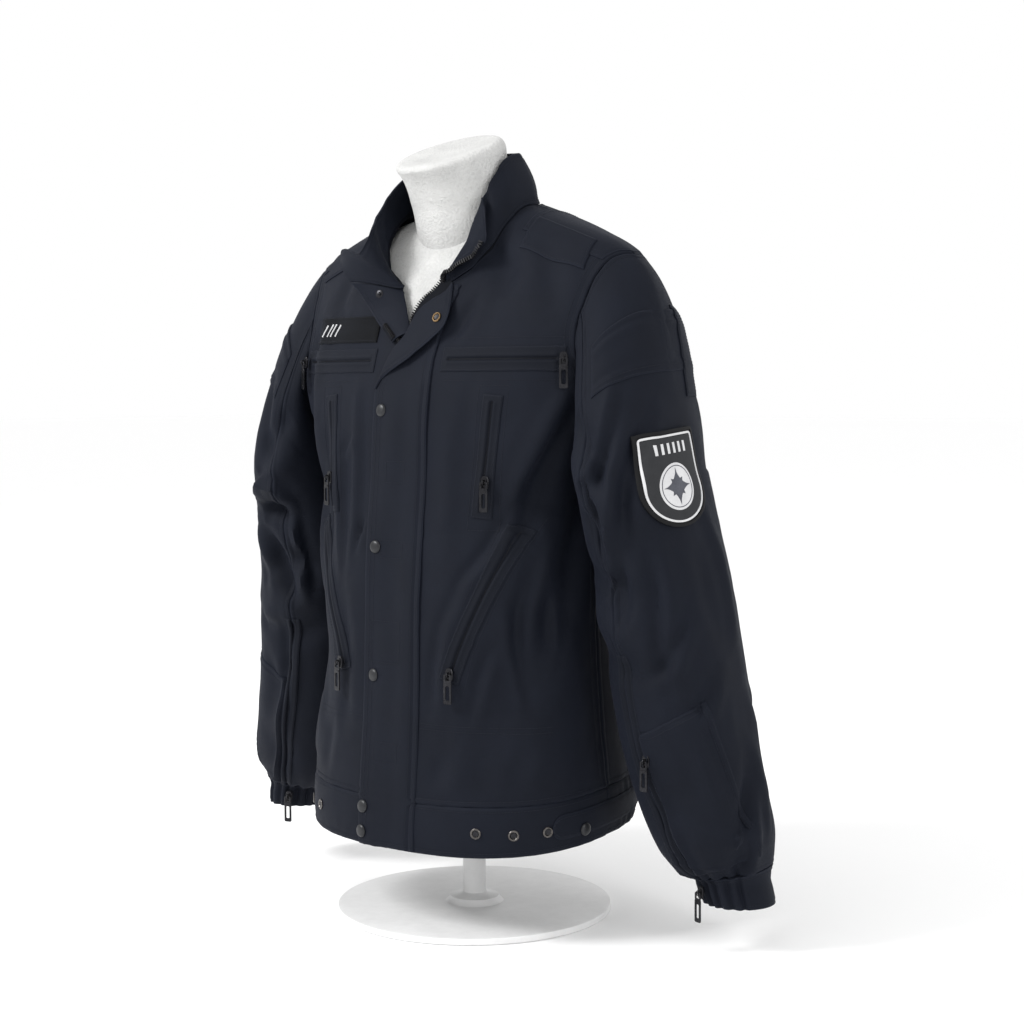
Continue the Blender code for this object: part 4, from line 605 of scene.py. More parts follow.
def sleeve_ring(angle, height):
    """Sleeve section below the armhole, on a plane square to the arm."""
    c = np.cos(np.radians(angle))
    s = np.sin(np.radians(angle))
    keys = -np.asarray(SLEEVE["height"])
    at = -np.asarray(height, float)
    centre_x = smooth(keys, SLEEVE["x"], at)
    centre_y = smooth(keys, SLEEVE["y"], at)
    wide = smooth(keys, SLEEVE["wide"], at)
    deep = smooth(keys, SLEEVE["deep"], at)
    step = 0.01
    lean_x = (smooth(keys, SLEEVE["x"], at + step) - smooth(keys, SLEEVE["x"], at - step)) / (2 * step)
    lean_y = (smooth(keys, SLEEVE["y"], at + step) - smooth(keys, SLEEVE["y"], at - step)) / (2 * step)
    radius = (np.abs(c) ** SLEEVE_POWER + np.abs(s) ** SLEEVE_POWER) ** (-1 / SLEEVE_POWER)
    dx = wide * radius * c
    dy = -deep * radius * s
    return np.stack([centre_x + dx, centre_y + dy, height + dx * lean_x * 0.8 + dy * lean_y * 0.8], axis=-1)


def sleeve_at(angle, row, side):
    """Sleeve points as if on the left. Rows below 0 are the cap, 0 to 1 the upper arm to the cuff."""
    angle, row = np.broadcast_arrays(np.asarray(angle, float), np.asarray(row, float))
    top, bottom = SLEEVE["height"][0], SLEEVE["height"][-1]
    arm = sleeve_ring(angle, top + (bottom - top) * np.clip(row, 0, 1))
    arm[..., 2] -= SLEEVE_DROP[side] * np.clip(row, 0, 1) ** 2
    start = armhole_point(angle) + np.array([SEAM_INSET * 2, 0, 0])
    finish = sleeve_ring(angle, np.full(angle.shape, top))
    over = (1 + np.cos(np.radians(angle)))[..., None] / 2
    swing = np.sin(np.radians(angle))[..., None]
    leave = over * np.array([0.8, 0, -0.60]) + (1 - over) * np.array([0.12, 0, -1.0])
    leave = unit(leave + swing * np.array([0, -0.30, 0]))
    arrive = unit(np.broadcast_to(np.array([0.10, 0.12, -1.0]), leave.shape))
    reach = np.linalg.norm(finish - start, axis=-1, keepdims=True) * (0.9 - 0.15 * over)
    t = np.clip(row + 1, 0, 1)[..., None]
    cap = (2 * t**3 - 3 * t**2 + 1) * start + (t**3 - 2 * t**2 + t) * reach * leave
    cap = cap + (3 * t**2 - 2 * t**3) * finish + (t**3 - t**2) * reach * arrive
    return np.where((row < 0)[..., None], cap, arm)


def sleeve_surface(angles, rows, side):
    angle, row = np.meshgrid(np.asarray(angles, float), np.asarray(rows, float))
    return sleeve_at(angle, row, side)


def sleeve_folds(points, angles, rows):
    angle, row = np.meshgrid(angles, rows)
    around = np.mod(angle, 360.0)
    places = np.stack([around / 360.0 * 0.42, points[..., 2]], axis=-1)
    table = [(a0 / 360.0 * 0.42, z0, a1 / 360.0 * 0.42, z1, w, d) for a0, z0, a1, z1, w, d in SLEEVE_FOLDS]
    depth = fold_depth(places, table)
    ends = np.clip((row + 1) / 0.5, 0, 1) * np.clip((1 - row) / 0.08, 0, 1)
    inner = np.clip(np.abs(around - 180) / 40.0 - 0.3, 0, 1)
    return depth * ends * inner


def grid_normals(points, wrap=False):
    if wrap:
        across = np.roll(points, -1, axis=1) - np.roll(points, 1, axis=1)
    else:
        across = np.gradient(points, axis=1)
    along = np.gradient(points, axis=0)
    return unit(np.cross(across, along))


def mirrored(points, side):
    if side == LEFT:
        return points
    return points * np.array([-1.0, 1.0, 1.0])


def outward(points, normals, centre=(0.0, 0.0)):
    """Turns normals so that most of them point away from an upright axis."""
    away = points[..., :2] - np.array(centre)
    facing = np.sum(normals[..., :2] * away)
    return normals if facing > 0 else -normals


def on_path(path, run):
    measured, corners = path
    return np.stack([np.interp(run, measured, corners[:, k]) for k in range(3)], axis=-1)


def collar_point(run, height, path):
    """Collar point from the distance along the neckline and the height on the collar."""
    end = path[0][-1]
    base = on_path(path, run)
    ahead = on_path(path, np.clip(run + COLLAR_STEP, 0, end))
    behind = on_path(path, np.clip(run - COLLAR_STEP, 0, end))
    along = unit(ahead - behind)
    out = unit(np.cross(along, np.array([0.0, 0.0, 1.0])) * np.array([1.0, 1.0, 0.0]))
    out = np.where((np.sum(out[..., :2] * base[..., :2], axis=-1) < 0)[..., None], -out, out)
    lean = np.radians(smooth(COLLAR["run"], COLLAR["lean"], run))
    up = np.stack([0 * lean, 0 * lean, np.ones_like(lean)], axis=-1)
    rise = up * np.cos(lean)[..., None] - out * np.sin(lean)[..., None]
    bow = COLLAR_BOW * np.sin(np.pi * np.clip(height / COLLAR_HEIGHT, 0, 1))
    return base + rise * (height + COLLAR_GAP)[..., None] + out * bow[..., None]


def curl(foot, beyond, facing, distance, radius=FOLD_RADIUS, angle=FOLD_ANGLE):
    """Point at a distance past a fold line, where the cloth turns over by the angle."""
    full = math.radians(angle)
    bend = np.minimum(distance / radius, full)
    rest = np.maximum(distance - radius * full, 0)
    flat = radius * np.sin(bend) + rest * math.cos(full)
    lift = radius * (1 - np.cos(bend)) + rest * math.sin(full)
    return foot + beyond * flat[..., None] + facing * lift[..., None]


def opening_edge(side, low, high, count):
    """Front edge between two shares of the upper panel's rows, with its outward normals."""
    rows = np.linspace(low, high, count + 1)
    panel = upper_panel(np.array([0.0, 0.06]), rows, FRONT)
    edge, near = panel[:, 0], panel[:, 1]
    beyond = unit(edge - near)
    along = unit(np.gradient(edge, axis=0))
    facing = unit(np.cross(along, beyond))
    facing = np.where(facing[:, 1:2] > 0, -facing, facing)
    flip = np.array([side, 1, 1])
    return edge * flip, beyond * flip, facing * flip


def form_low(turn, height, face):
    half = smooth(FORM["height"], FORM["half_width"], height)
    depth = smooth(FORM["height"], FORM["front_depth" if face == FRONT else "back_depth"], height)
    side = np.abs(np.sin(np.radians(turn)))
    y = face * depth * (1 - side**SIDE_POWER) ** (1 / SIDE_POWER)
    return np.stack([half * np.sin(np.radians(turn)), y, np.full(len(turn), height)], axis=-1)


def form_high(turn, rise, face):
    """The form's chest and shoulders, a little under the jacket's shoulder line."""
    across = np.sin(np.radians(turn))
    lift = math.sin(math.radians(rise))
    z = np.full(across.shape, CHEST + 0.1)
    for _ in range(6):
        x = smooth(FORM["height"], FORM["half_width"], z) * across
        drop = np.interp(np.abs(x), FORM_DROP["across"], FORM_DROP["drop"])
        top = smooth(SHOULDER["across"], SHOULDER["height"], np.abs(x)) - drop
        z = CHEST + (top - CHEST) * lift
    side = np.clip(np.abs(across), 0, 1)
    depth = smooth(FORM["height"], FORM["front_depth" if face == FRONT else "back_depth"], z)
    power = TOP_POWER[face]
    y = depth * (1 - side**SIDE_POWER) ** (1 / SIDE_POWER) * (1 - lift**power) ** (1 / power)
    shift = SHOULDER_SHIFT * np.clip(1 - np.abs(x) / SHIFT_REACH, 0, 1) * lift**4
    return np.stack([x, face * y + shift, z], axis=-1)


# Fine surfaces


def reach_of(line):
    """Distances of a line's points along it from its first one."""
    return np.concatenate([[0], np.cumsum(np.linalg.norm(np.diff(line, axis=0), axis=1))])


def marks(length, step, head=True, tail=True):
    """Distances along a length: close together beside a sewn edge, then evenly spaced."""
    first = np.array(EDGE_MARKS if head else (0.0,))
    last = length - np.array(EDGE_MARKS if tail else (0.0,))[::-1]
    count = max(2, round((last[0] - first[-1]) / step))
    middle = np.linspace(first[-1], last[0], count + 1)[1:-1]
    return np.concatenate([first, middle, last])


def by_length(curve, low, high, step, head=True, tail=True):
    """Parameters of a curve at evenly spaced distances, with its edge marks."""
    fine = np.linspace(low, high, 400)
    spots = curve(fine)
    reach = reach_of(spots)
    return np.interp(marks(reach[-1], step, head, tail), reach, fine)


def distances(points):
    """Distances in metres across and along a grid, from its first column and its first row."""
    across = np.zeros(points.shape[:2])
    along = np.zeros(points.shape[:2])
    across[:, 1:] = np.cumsum(np.linalg.norm(np.diff(points, axis=1), axis=2), axis=1)
    along[1:] = np.cumsum(np.linalg.norm(np.diff(points, axis=0), axis=2), axis=0)
    return across, along


def value_noise(places, scale, seed):
    """Smooth noise between -1 and 1 over places in metres."""
    table = np.random.default_rng(seed).uniform(-1, 1, (64, 64))
    spot = np.asarray(places) / scale + 7.31
    corner = np.floor(spot).astype(int)
    share = spot - corner
    share = share * share * (3 - 2 * share)
    i, j = corner[..., 0] % 63, corner[..., 1] % 63
    s, t = share[..., 0], share[..., 1]
    low = table[i, j] * (1 - s) + table[i + 1, j] * s
    high = table[i, j + 1] * (1 - s) + table[i + 1, j + 1] * s
    return low * (1 - t) + high * t


def crease_depth(points, creases):
    """Height of creases at points: each is a line of places, a width, a depth and a ridge share."""
    total = np.zeros(points.shape[:-1])
    for line, width, depth, ridge in creases:
        line = np.asarray(line)
        steps = np.linalg.norm(np.diff(line, axis=0), axis=1)
        reach = np.concatenate([[0], np.cumsum(steps)])
        best = np.full(points.shape[:-1], 1e9)
        run = np.zeros(points.shape[:-1])
        beside = np.zeros(points.shape[:-1])
        for k in range(len(steps)):
            along = (line[k + 1] - line[k]) / steps[k]
            offset = points - line[k]
            t = np.clip(offset @ along, 0, steps[k])
            gap = offset - t[..., None] * along
            away = np.linalg.norm(gap, axis=-1)
            near = away < best
            best = np.where(near, away, best)
            run = np.where(near, (reach[k] + t) / reach[-1], run)
            square = np.array([-along[2], 0.0, along[0]])
            beside = np.where(near, np.sign(gap @ square), beside)
        taper = np.clip(np.sin(np.pi * np.clip(run, 0.02, 0.98)), 0, 1) ** 0.6
        signed = best * beside / width
        form = np.exp(-(signed**2)) - ridge * np.exp(-(((signed - 1.5) / 1.1) ** 2))
        total += depth * taper * form
    return total


def torso_spot(x, z, face):
    """Place on the torso seen from the front or back, for crease tables."""
    side = abs(x)
    y = face * float(torso_depth(side, z, face))
    top = float(smooth(SHOULDER["across"], SHOULDER["height"], side))
    lift = max(0.0, min(1.0, (z - CHEST) / (top - CHEST)))
    shift = SHOULDER_SHIFT * max(0.0, 1 - side / SHIFT_REACH) * lift**4
    return (x, y + shift, z)


def torso_creases(table, face):
    return [([torso_spot(x, z, face) for x, z in line], width * CREASE_WIDE, depth * CREASE_DEEP, ridge)
            for line, width, depth, ridge in table]


def sleeve_creases(table, side):
    made = []
    for line, width, depth, ridge in table:
        spots = [sleeve_at(np.array([a]), np.array([r]), side)[0] * np.array([side, 1, 1]) for a, r in line]
        made.append((spots, width * CREASE_WIDE, depth * CREASE_DEEP, ridge))
    return made


def shell_quads(rows, columns):
    """Faces of a closed thin wall made of an outer and an inner grid."""
    index = np.arange(rows * columns).reshape(rows, columns)
    a, b, c, d = index[:-1, :-1], index[:-1, 1:], index[1:, 1:], index[1:, :-1]
    outer = np.stack([a, b, c, d], axis=-1).reshape(-1, 4)
    inner = outer[:, ::-1] + rows * columns
    rims = []
    for line in (index[0], index[::-1, 0], index[-1, ::-1], index[:, -1]):
        rims.append(np.stack([line[1:], line[:-1], line[:-1] + rows * columns, line[1:] + rows * columns],
                             axis=-1))
    return np.concatenate([outer, inner] + rims)


def mesh_object(name, points, quads, look, uv=None, wear=None, angle=50.0):
    """Object from points in hem-level heights and faces, turned outward."""
    points = np.asarray(points, float) + np.array([0.0, 0.0, HEM_LEVEL])
    quads = np.asarray(quads, int)
    sides = quads.shape[1]
    a = points[quads[:, 0]]
    volume = 0.0
    for k in range(1, sides - 1):
        volume += float(np.sum(a * np.cross(points[quads[:, k]], points[quads[:, k + 1]])))
    if volume < 0:
        quads = quads[:, ::-1]
    mesh = bpy.data.meshes.new(name)
    mesh.vertices.add(len(points))
    mesh.vertices.foreach_set("co", points.ravel())
    mesh.loops.add(quads.size)
    mesh.loops.foreach_set("vertex_index", quads.ravel())
    mesh.polygons.add(len(quads))
    mesh.polygons.foreach_set("loop_start", np.arange(0, quads.size, sides))
    mesh.update(calc_edges=True)
    mesh.validate()
    mesh.shade_smooth()
    mesh.set_sharp_from_angle(angle=math.radians(angle))
    if uv is not None:
        layer = mesh.uv_layers.new(name="weave")
        corners = np.zeros(len(mesh.loops), int)
        mesh.loops.foreach_get("vertex_index", corners)
        layer.data.foreach_set("uv", np.asarray(uv)[corners].ravel())
    if wear is not None:
        layer = mesh.attributes.new("wear", "FLOAT", "POINT")
        layer.data.foreach_set("value", np.asarray(wear, float).ravel())
    mesh.materials.append(look)
    made = bpy.data.objects.new(name, mesh)
    bpy.context.collection.objects.link(made)
    return made


PATCH = {}


def shell(name, points, normals, look, thickness=CLOTH, replaces=()):
    """Thin closed cloth on a grid of outer points, kept for stitches and for what is laid on it."""
    rows, columns = points.shape[:2]
    normals = np.broadcast_to(normals, points.shape)
    behind = np.asarray(thickness)[..., None] if np.ndim(thickness) else thickness
    inner = points - normals * behind
    across, along = distances(points)
    uv = np.stack([across, along], axis=-1).reshape(-1, 2)
    border = np.minimum(np.minimum(across, across[:, -1:] - across), np.minimum(along, along[-1:] - along))
    wear = np.exp(-((border / WEAR_REACH) ** 2)).reshape(-1)
    both = np.concatenate([points.reshape(-1, 3), inner.reshape(-1, 3)])
    made = mesh_object(name, both, shell_quads(rows, columns), look, np.concatenate([uv, uv]),
                       np.concatenate([wear, wear * 0]))
    PATCH[name] = (points, normals)
    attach(made, BODY)
    if replaces:
        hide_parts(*replaces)
    return made


def seams(points, edges):
    """Height of sewn edges: each edge dips at its seam and has a groove under its stitches."""
    across, along = distances(points)
    reach = {"left": across, "right": across[:, -1:] - across, "bottom": along, "top": along[-1:] - along}
    total = np.zeros(points.shape[:2])
    for edge, (dip, swell) in edges.items():
        away = reach[edge]
        run = along if edge in ("left", "right") else across
        total -= dip * np.exp(-((away / 0.0011) ** 2))
        total += swell * np.exp(-((away / STITCH_INSET) ** 4))
        total -= STITCH_DIP * np.exp(-(((away - STITCH_INSET) / 0.0011) ** 2))
        pucker = value_noise(np.stack([run, run * 0 + 0.3 * (edge in ("left", "top"))], axis=-1),
                             PUCKER_LENGTH, 11)
        total += PUCKER * pucker * np.exp(-((away / 0.007) ** 2))
    return total


def ripples(points, seed, big=0.0008, small=0.00018):
    across, along = distances(points)
    places = np.stack([across, along * 0.6], axis=-1)
    total = big * value_noise(places, 0.055, seed)
    total = total + big * 0.5 * value_noise(places, 0.026, seed + 1)
    return total + small * value_noise(places, 0.009, seed + 2)


def skin(*names):
    """One surface made of the outer faces of finished pieces."""
    vertices, faces = [], []
    for name in names:
        points = PATCH[name][0]
        rows, columns = points.shape[:2]
        index = np.arange(rows * columns).reshape(rows, columns) + len(vertices)
        quads = np.stack([index[:-1, :-1], index[:-1, 1:], index[1:, 1:], index[1:, :-1]],
                         axis=-1).reshape(-1, 4)
        vertices += points.reshape(-1, 3).tolist()
        faces += quads.tolist()
    return BVHTree.FromPolygons(vertices, faces)


def drop(tree, points, into, reach=0.15):
    """Points dropped on a surface along their directions. A miss keeps the nearest place."""
    points = np.asarray(points, float)
    into = unit(np.broadcast_to(into, points.shape))
    hits = points.copy()
    for spot in np.ndindex(points.shape[:-1]):
        way = Vector(into[spot])
        hit, _, _, _ = tree.ray_cast(Vector(points[spot]) - way * reach, way, reach * 2.5)
        if hit is None:
            hit, _, _, _ = tree.find_nearest(Vector(points[spot]))
        hits[spot] = hit
    return hits


def facing(points, out):
    """Normals of a grid turned to the side of an outward direction."""
    normals = grid_normals(points)
    return normals if np.sum(normals * out) > 0 else -normals


def lay(name, tree, targets, into, look, thickness=TRIM, relief=None, replaces=(),
        dip=0.0006, flat=0):
    """Thin piece laid on a surface, its border rolled down to it, with a relief of its own."""
    hits = drop(tree, targets, into) if tree else targets
    way = unit(np.broadcast_to(into, hits.shape))
    for _ in range(flat):
        height = np.sum(hits * way, axis=-1)
        spread = height.copy()
        spread[1:-1, 1:-1] = (height[:-2, 1:-1] + height[2:, 1:-1] + height[1:-1, :-2] + height[1:-1, 2:]) / 4
        hits = hits + way * (spread - height)[..., None]
    normals = facing(hits, -way)
    across, along = distances(hits)
    border = np.minimum(np.minimum(across, across[:, -1:] - across), np.minimum(along, along[-1:] - along))
    height = thickness + LIFT - dip * np.exp(-((border / 0.0009) ** 2))
    if relief is not None:
        height = height + relief
    outer = hits + normals * height[..., None]
    return shell(name, outer, normals, look, height - LIFT / 2, replaces)


def edge_line(name, edge, inset, trim=None):
    """Points and normals of the line at a distance inside an edge of a finished piece."""
    points, normals = PATCH[name]
    across, along = distances(points)
    if edge in ("bottom", "top"):
        points, normals, across = points.transpose(1, 0, 2), normals.transpose(1, 0, 2), along.T
    if edge in ("right", "top"):
        points, normals = points[:, ::-1], normals[:, ::-1]
        across = (across[:, -1:] - across)[:, ::-1]
    line, ways = [], []
    for r in range(len(points)):
        at = float(np.interp(inset, across[r], np.arange(across.shape[1])))
        k = min(int(at), across.shape[1] - 2)
        line.append(points[r, k] * (1 - at + k) + points[r, k + 1] * (at - k))
        ways.append(normals[r, k])
    trim = inset if trim is None else trim
    return cut_line(np.array(line), np.array(ways), trim, trim)


def cut_line(line, ways, start, end):
    reach = reach_of(line)
    kept = (reach >= start) & (reach <= reach[-1] - end)
    return line[kept], ways[kept]


def along_line(line, ways, pitch, start=0.0):
    """Places, directions and normals at an even pitch along a line."""
    reach = reach_of(line)
    spots = np.arange(start + pitch / 2, reach[-1], pitch)
    places = np.stack([np.interp(spots, reach, line[:, k]) for k in range(3)], axis=-1)
    ahead = np.stack([np.interp(spots + pitch / 3, reach, line[:, k]) for k in range(3)], axis=-1)
    behind = np.stack([np.interp(spots - pitch / 3, reach, line[:, k]) for k in range(3)], axis=-1)
    normals = unit(np.stack([np.interp(spots, reach, ways[:, k]) for k in range(3)], axis=-1))
    return places, unit(ahead - behind), normals


BOX_QUADS = np.array([(0, 1, 3, 2), (4, 6, 7, 5), (0, 4, 5, 1), (2, 3, 7, 6), (0, 2, 6, 4), (1, 5, 7, 3)])
SEWN = {}


def blocks(places, along, normals, length, width, height, sink=0.3):
    """Small raised blocks with narrowed tops at places on a surface."""
    square = unit(np.cross(normals, along))
    corners = []
    for a in (-1, 1):
        for b in (-1, 1):
            for c in (0, 1):
                share = 1.0 if c == 0 else 0.62
                lift = -sink * height if c == 0 else height
                corners.append(places + along * (a * length / 2 * share) + square * (b * width / 2 * share)
                               + normals * lift)
    return np.stack(corners, axis=1)


def sew(group, line, ways, pitch=0.0033, length=0.0024, width=0.00062, height=0.00034):
    places, along, normals = along_line(line, ways, pitch)
    SEWN.setdefault(group, []).append(blocks(places, along, normals, length, width, height))


def sew_edges(group, name, edges, inset=None, trim=None):
    for edge in edges:
        sew(group, *edge_line(name, edge, STITCH_INSET if inset is None else inset, trim))


def gather_blocks(name, sets, look, body=None):
    """One object from many sets of small blocks."""
    every = np.concatenate(sets).reshape(-1, 3)
    count = len(every) // 8
    quads = (BOX_QUADS[None] + 8 * np.arange(count)[:, None, None]).reshape(-1, 4)
    made = mesh_object(name, every, quads, look, angle=35.0)
    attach(made, body or BODY)
    return made


# Materials


def link(tree, source, target):
    tree.links.new(source, target)


def node(tree, kind, **settings):
    made = tree.nodes.new(kind)
    for key, value in settings.items():
        if key in made.inputs:
            made.inputs[key].default_value = value
        else:
            setattr(made, key, value)
    return made


def ramp(tree, value, stops):
    made = tree.nodes.new("ShaderNodeValToRGB")
    for element, (place, colour) in zip(made.color_ramp.elements, stops):
        element.position = place
        element.color = (*colour, 1.0)
    link(tree, value, made.inputs["Fac"])
    return made.outputs["Color"]


def started(name, roughness, metallic=0.0):
    made = bpy.data.materials.new(name)
    made.use_nodes = True
    tree = made.node_tree
    shader = tree.nodes["Principled BSDF"]
    shader.inputs["Roughness"].default_value = roughness
    shader.inputs["Metallic"].default_value = metallic
    return made, tree, shader


def math_node(tree, operation, first, second=None):
    made = tree.nodes.new("ShaderNodeMath")
    made.operation = operation
    for socket, value in zip(made.inputs, (first, second)):
        if value is None:
            continue
        if isinstance(value, (int, float)):
            socket.default_value = value
        else:
            link(tree, value, socket)
    return made.outputs[0]


def cloth_material(name, dark, light, roughness, sheen, rib=TWILL_RIB, bump=0.35):
    """Woven cloth: diagonal ribs, cross threads, soft colour patches and paler worn edges."""
    made, tree, shader = started(name, roughness)
    weave = node(tree, "ShaderNodeUVMap", uv_map="weave")
    place = node(tree, "ShaderNodeTexCoord")
    split = tree.nodes.new("ShaderNodeSeparateXYZ")
    link(tree, weave.outputs["UV"], split.inputs[0])
    slant = math_node(tree, "ADD", split.outputs[0], math_node(tree, "MULTIPLY", split.outputs[1], 0.62))
    ribs = math_node(tree, "SINE", math_node(tree, "MULTIPLY", slant, 2 * math.pi / rib))
    cross = math_node(tree, "SINE", math_node(tree, "MULTIPLY", split.outputs[1], 2 * math.pi / (rib * 0.55)))
    fibre = node(tree, "ShaderNodeTexNoise", Scale=1400.0, Detail=2.0, Roughness=0.6)
    link(tree, place.outputs["Object"], fibre.inputs["Vector"])
    height = math_node(tree, "ADD", ribs, math_node(tree, "MULTIPLY", cross, 0.35))
    height = math_node(tree, "ADD", height, math_node(tree, "MULTIPLY", fibre.outputs["Fac"], 1.1))
    relief = node(tree, "ShaderNodeBump", Strength=bump, Distance=0.00012)
    link(tree, height, relief.inputs["Height"])
    link(tree, relief.outputs["Normal"], shader.inputs["Normal"])
    patch = node(tree, "ShaderNodeTexNoise", Scale=16.0, Detail=5.0, Roughness=0.6)
    link(tree, place.outputs["Object"], patch.inputs["Vector"])
    worn = node(tree, "ShaderNodeAttribute", attribute_name="wear")
    share = math_node(tree, "MULTIPLY", patch.outputs["Fac"], 0.55)
    share = math_node(tree, "ADD", share, math_node(tree, "MULTIPLY", ribs, 0.10))
    share = math_node(tree, "ADD", share, math_node(tree, "MULTIPLY", fibre.outputs["Fac"], 0.30))
    share = math_node(tree, "ADD", share, math_node(tree, "MULTIPLY", worn.outputs["Fac"], 0.22))
    link(tree, ramp(tree, share, ((0.15, dark), (0.95, light))), shader.inputs["Base Color"])
    rough = node(tree, "ShaderNodeMapRange")
    rough.inputs["To Min"].default_value = roughness - 0.07
    rough.inputs["To Max"].default_value = roughness + 0.06
    link(tree, patch.outputs["Fac"], rough.inputs["Value"])
    link(tree, rough.outputs["Result"], shader.inputs["Roughness"])
    shader.inputs["Sheen Weight"].default_value = sheen
    shader.inputs["Sheen Roughness"].default_value = 0.45
    shader.inputs["Sheen Tint"].default_value = (0.62, 0.70, 1.0, 1.0)
    shader.inputs["Specular IOR Level"].default_value = 0.10
    return made


def hard_material(name, dark, light, roughness, metallic, scale=220.0, bump=0.05, distance=0.0001,
                  detail=4.0):
    """Metal, rubber or plastic: uneven colour and gloss with fine marks."""
    made, tree, shader = started(name, roughness, metallic)
    place = node(tree, "ShaderNodeTexCoord")
    fine = node(tree, "ShaderNodeTexNoise", Scale=scale, Detail=detail, Roughness=0.62)
    broad = node(tree, "ShaderNodeTexNoise", Scale=scale / 9, Detail=3.0, Roughness=0.5)
    for texture in (fine, broad):
        link(tree, place.outputs["Object"], texture.inputs["Vector"])
    share = math_node(tree, "ADD", math_node(tree, "MULTIPLY", fine.outputs["Fac"], 0.5),
                      math_node(tree, "MULTIPLY", broad.outputs["Fac"], 0.5))
    link(tree, ramp(tree, share, ((0.3, dark), (0.7, light))), shader.inputs["Base Color"])
    rough = node(tree, "ShaderNodeMapRange")
    shader.inputs["Specular IOR Level"].default_value = 0.5 if metallic or roughness < 0.5 else 0.2
    rough.inputs["To Min"].default_value = max(0.05, roughness - 0.08)
    rough.inputs["To Max"].default_value = roughness + 0.10
    link(tree, broad.outputs["Fac"], rough.inputs["Value"])
    link(tree, rough.outputs["Result"], shader.inputs["Roughness"])
    relief = node(tree, "ShaderNodeBump", Strength=bump, Distance=distance)
    link(tree, fine.outputs["Fac"], relief.inputs["Height"])
    link(tree, relief.outputs["Normal"], shader.inputs["Normal"])
    return made


LOOK = {
    "cloth": cloth_material("navy_twill", (0.0034, 0.0044, 0.0080), (0.0096, 0.0119, 0.0198), 0.70, 0.02),
    "dark": cloth_material("navy_lining", (0.0020, 0.0024, 0.0040), (0.0050, 0.0058, 0.0085), 0.85, 0.03),
    "trim": cloth_material("navy_tape", (0.0029, 0.0037, 0.0065), (0.0085, 0.0104, 0.0168), 0.70, 0.03,
                           rib=0.0012),
    "loop": cloth_material("loop_tape", (0.0022, 0.0024, 0.0027), (0.0070, 0.0072, 0.0074), 0.95, 0.06,
                           rib=0.0016, bump=0.9),
    "thread": hard_material("navy_thread", (0.0042, 0.0052, 0.0086), (0.0118, 0.0142, 0.0230), 0.70, 0.0,
                            scale=1600.0, bump=0.5),
    "rubber": hard_material("badge_rubber_dark", (0.0014, 0.0015, 0.0020), (0.0040, 0.0042, 0.0054), 0.62,
                            0.0, bump=0.15),
    "grey": hard_material("badge_grey", (0.017, 0.018, 0.020), (0.029, 0.030, 0.033), 0.66, 0.0,
                          scale=900.0, bump=0.4),
    "ink": hard_material("badge_ink", (0.050, 0.052, 0.064), (0.090, 0.094, 0.112), 0.60, 0.0, scale=700.0,
                         bump=0.3),
    "white": hard_material("badge_white", (0.50, 0.50, 0.51), (0.63, 0.63, 0.64), 0.60, 0.0, scale=700.0,
                           bump=0.3),
    "metal": hard_material("gunmetal", (0.008, 0.008, 0.010), (0.034, 0.034, 0.038), 0.28, 0.85,
                           scale=500.0, bump=0.12),
    "cap": hard_material("cap_lacquer", (0.005, 0.0055, 0.007), (0.016, 0.017, 0.020), 0.36, 0.30,
                         scale=420.0, bump=0.10),
    "silver": hard_material("socket_metal", (0.030, 0.028, 0.027), (0.15, 0.14, 0.135), 0.26, 1.0,
                            scale=420.0, bump=0.12),
    "brass": hard_material("worn_brass", (0.045, 0.030, 0.016), (0.20, 0.130, 0.066), 0.28, 1.0,
                           scale=420.0, bump=0.12),
    "teeth": hard_material("zip_teeth", (0.003, 0.003, 0.004), (0.012, 0.012, 0.014), 0.55, 0.0,
                           scale=800.0, bump=0.15),
    "form": hard_material("form_cover", (0.46, 0.46, 0.455), (0.60, 0.60, 0.59), 0.82, 0.0, scale=330.0,
                          bump=1.0, distance=0.0022),
    "stand": hard_material("stand_lacquer", (0.66, 0.66, 0.66), (0.78, 0.78, 0.78), 0.34, 0.0, scale=60.0,
                           bump=0.05),
    "floor": hard_material("pale_floor", (0.99, 0.99, 0.99), (1.0, 1.0, 1.0), 0.9, 0.0, scale=40.0,
                           bump=0.02),
}


# Torso cloth


def torso_grid(face):
    """Fine half panel: even steps across at mid height and up along its middle."""
    middle = OPENING["round"][0] if face == FRONT else 0.0
    turn = by_length(lambda t: torso_low(t, 0.25, face), middle, 90.0, STEP, face == FRONT)
    columns = (turn - middle) / (90.0 - middle)
    low = by_length(lambda z: torso_low(25.0, z, face), BAND_TOP, CHEST, STEP, True, False)
    high = by_length(lambda w: upper_panel(np.array([0.5]), w, face)[:, 0], 0.0, 1.0, STEP, False, True)
    return half_panel(face, columns, low, high)


def finish_torso(name, points, face, edges, table, seed, replaces):
    normals = outward(points, grid_normals(points))
    points = points + normals * torso_folds(points, face)[..., None]
    normals = outward(points, grid_normals(points))
    height = crease_depth(points, torso_creases(table, face)) + ripples(points, seed) + seams(points, edges)
    points = points + normals * height[..., None]
    shell(name, points, outward(points, grid_normals(points)), LOOK["cloth"], replaces=replaces)


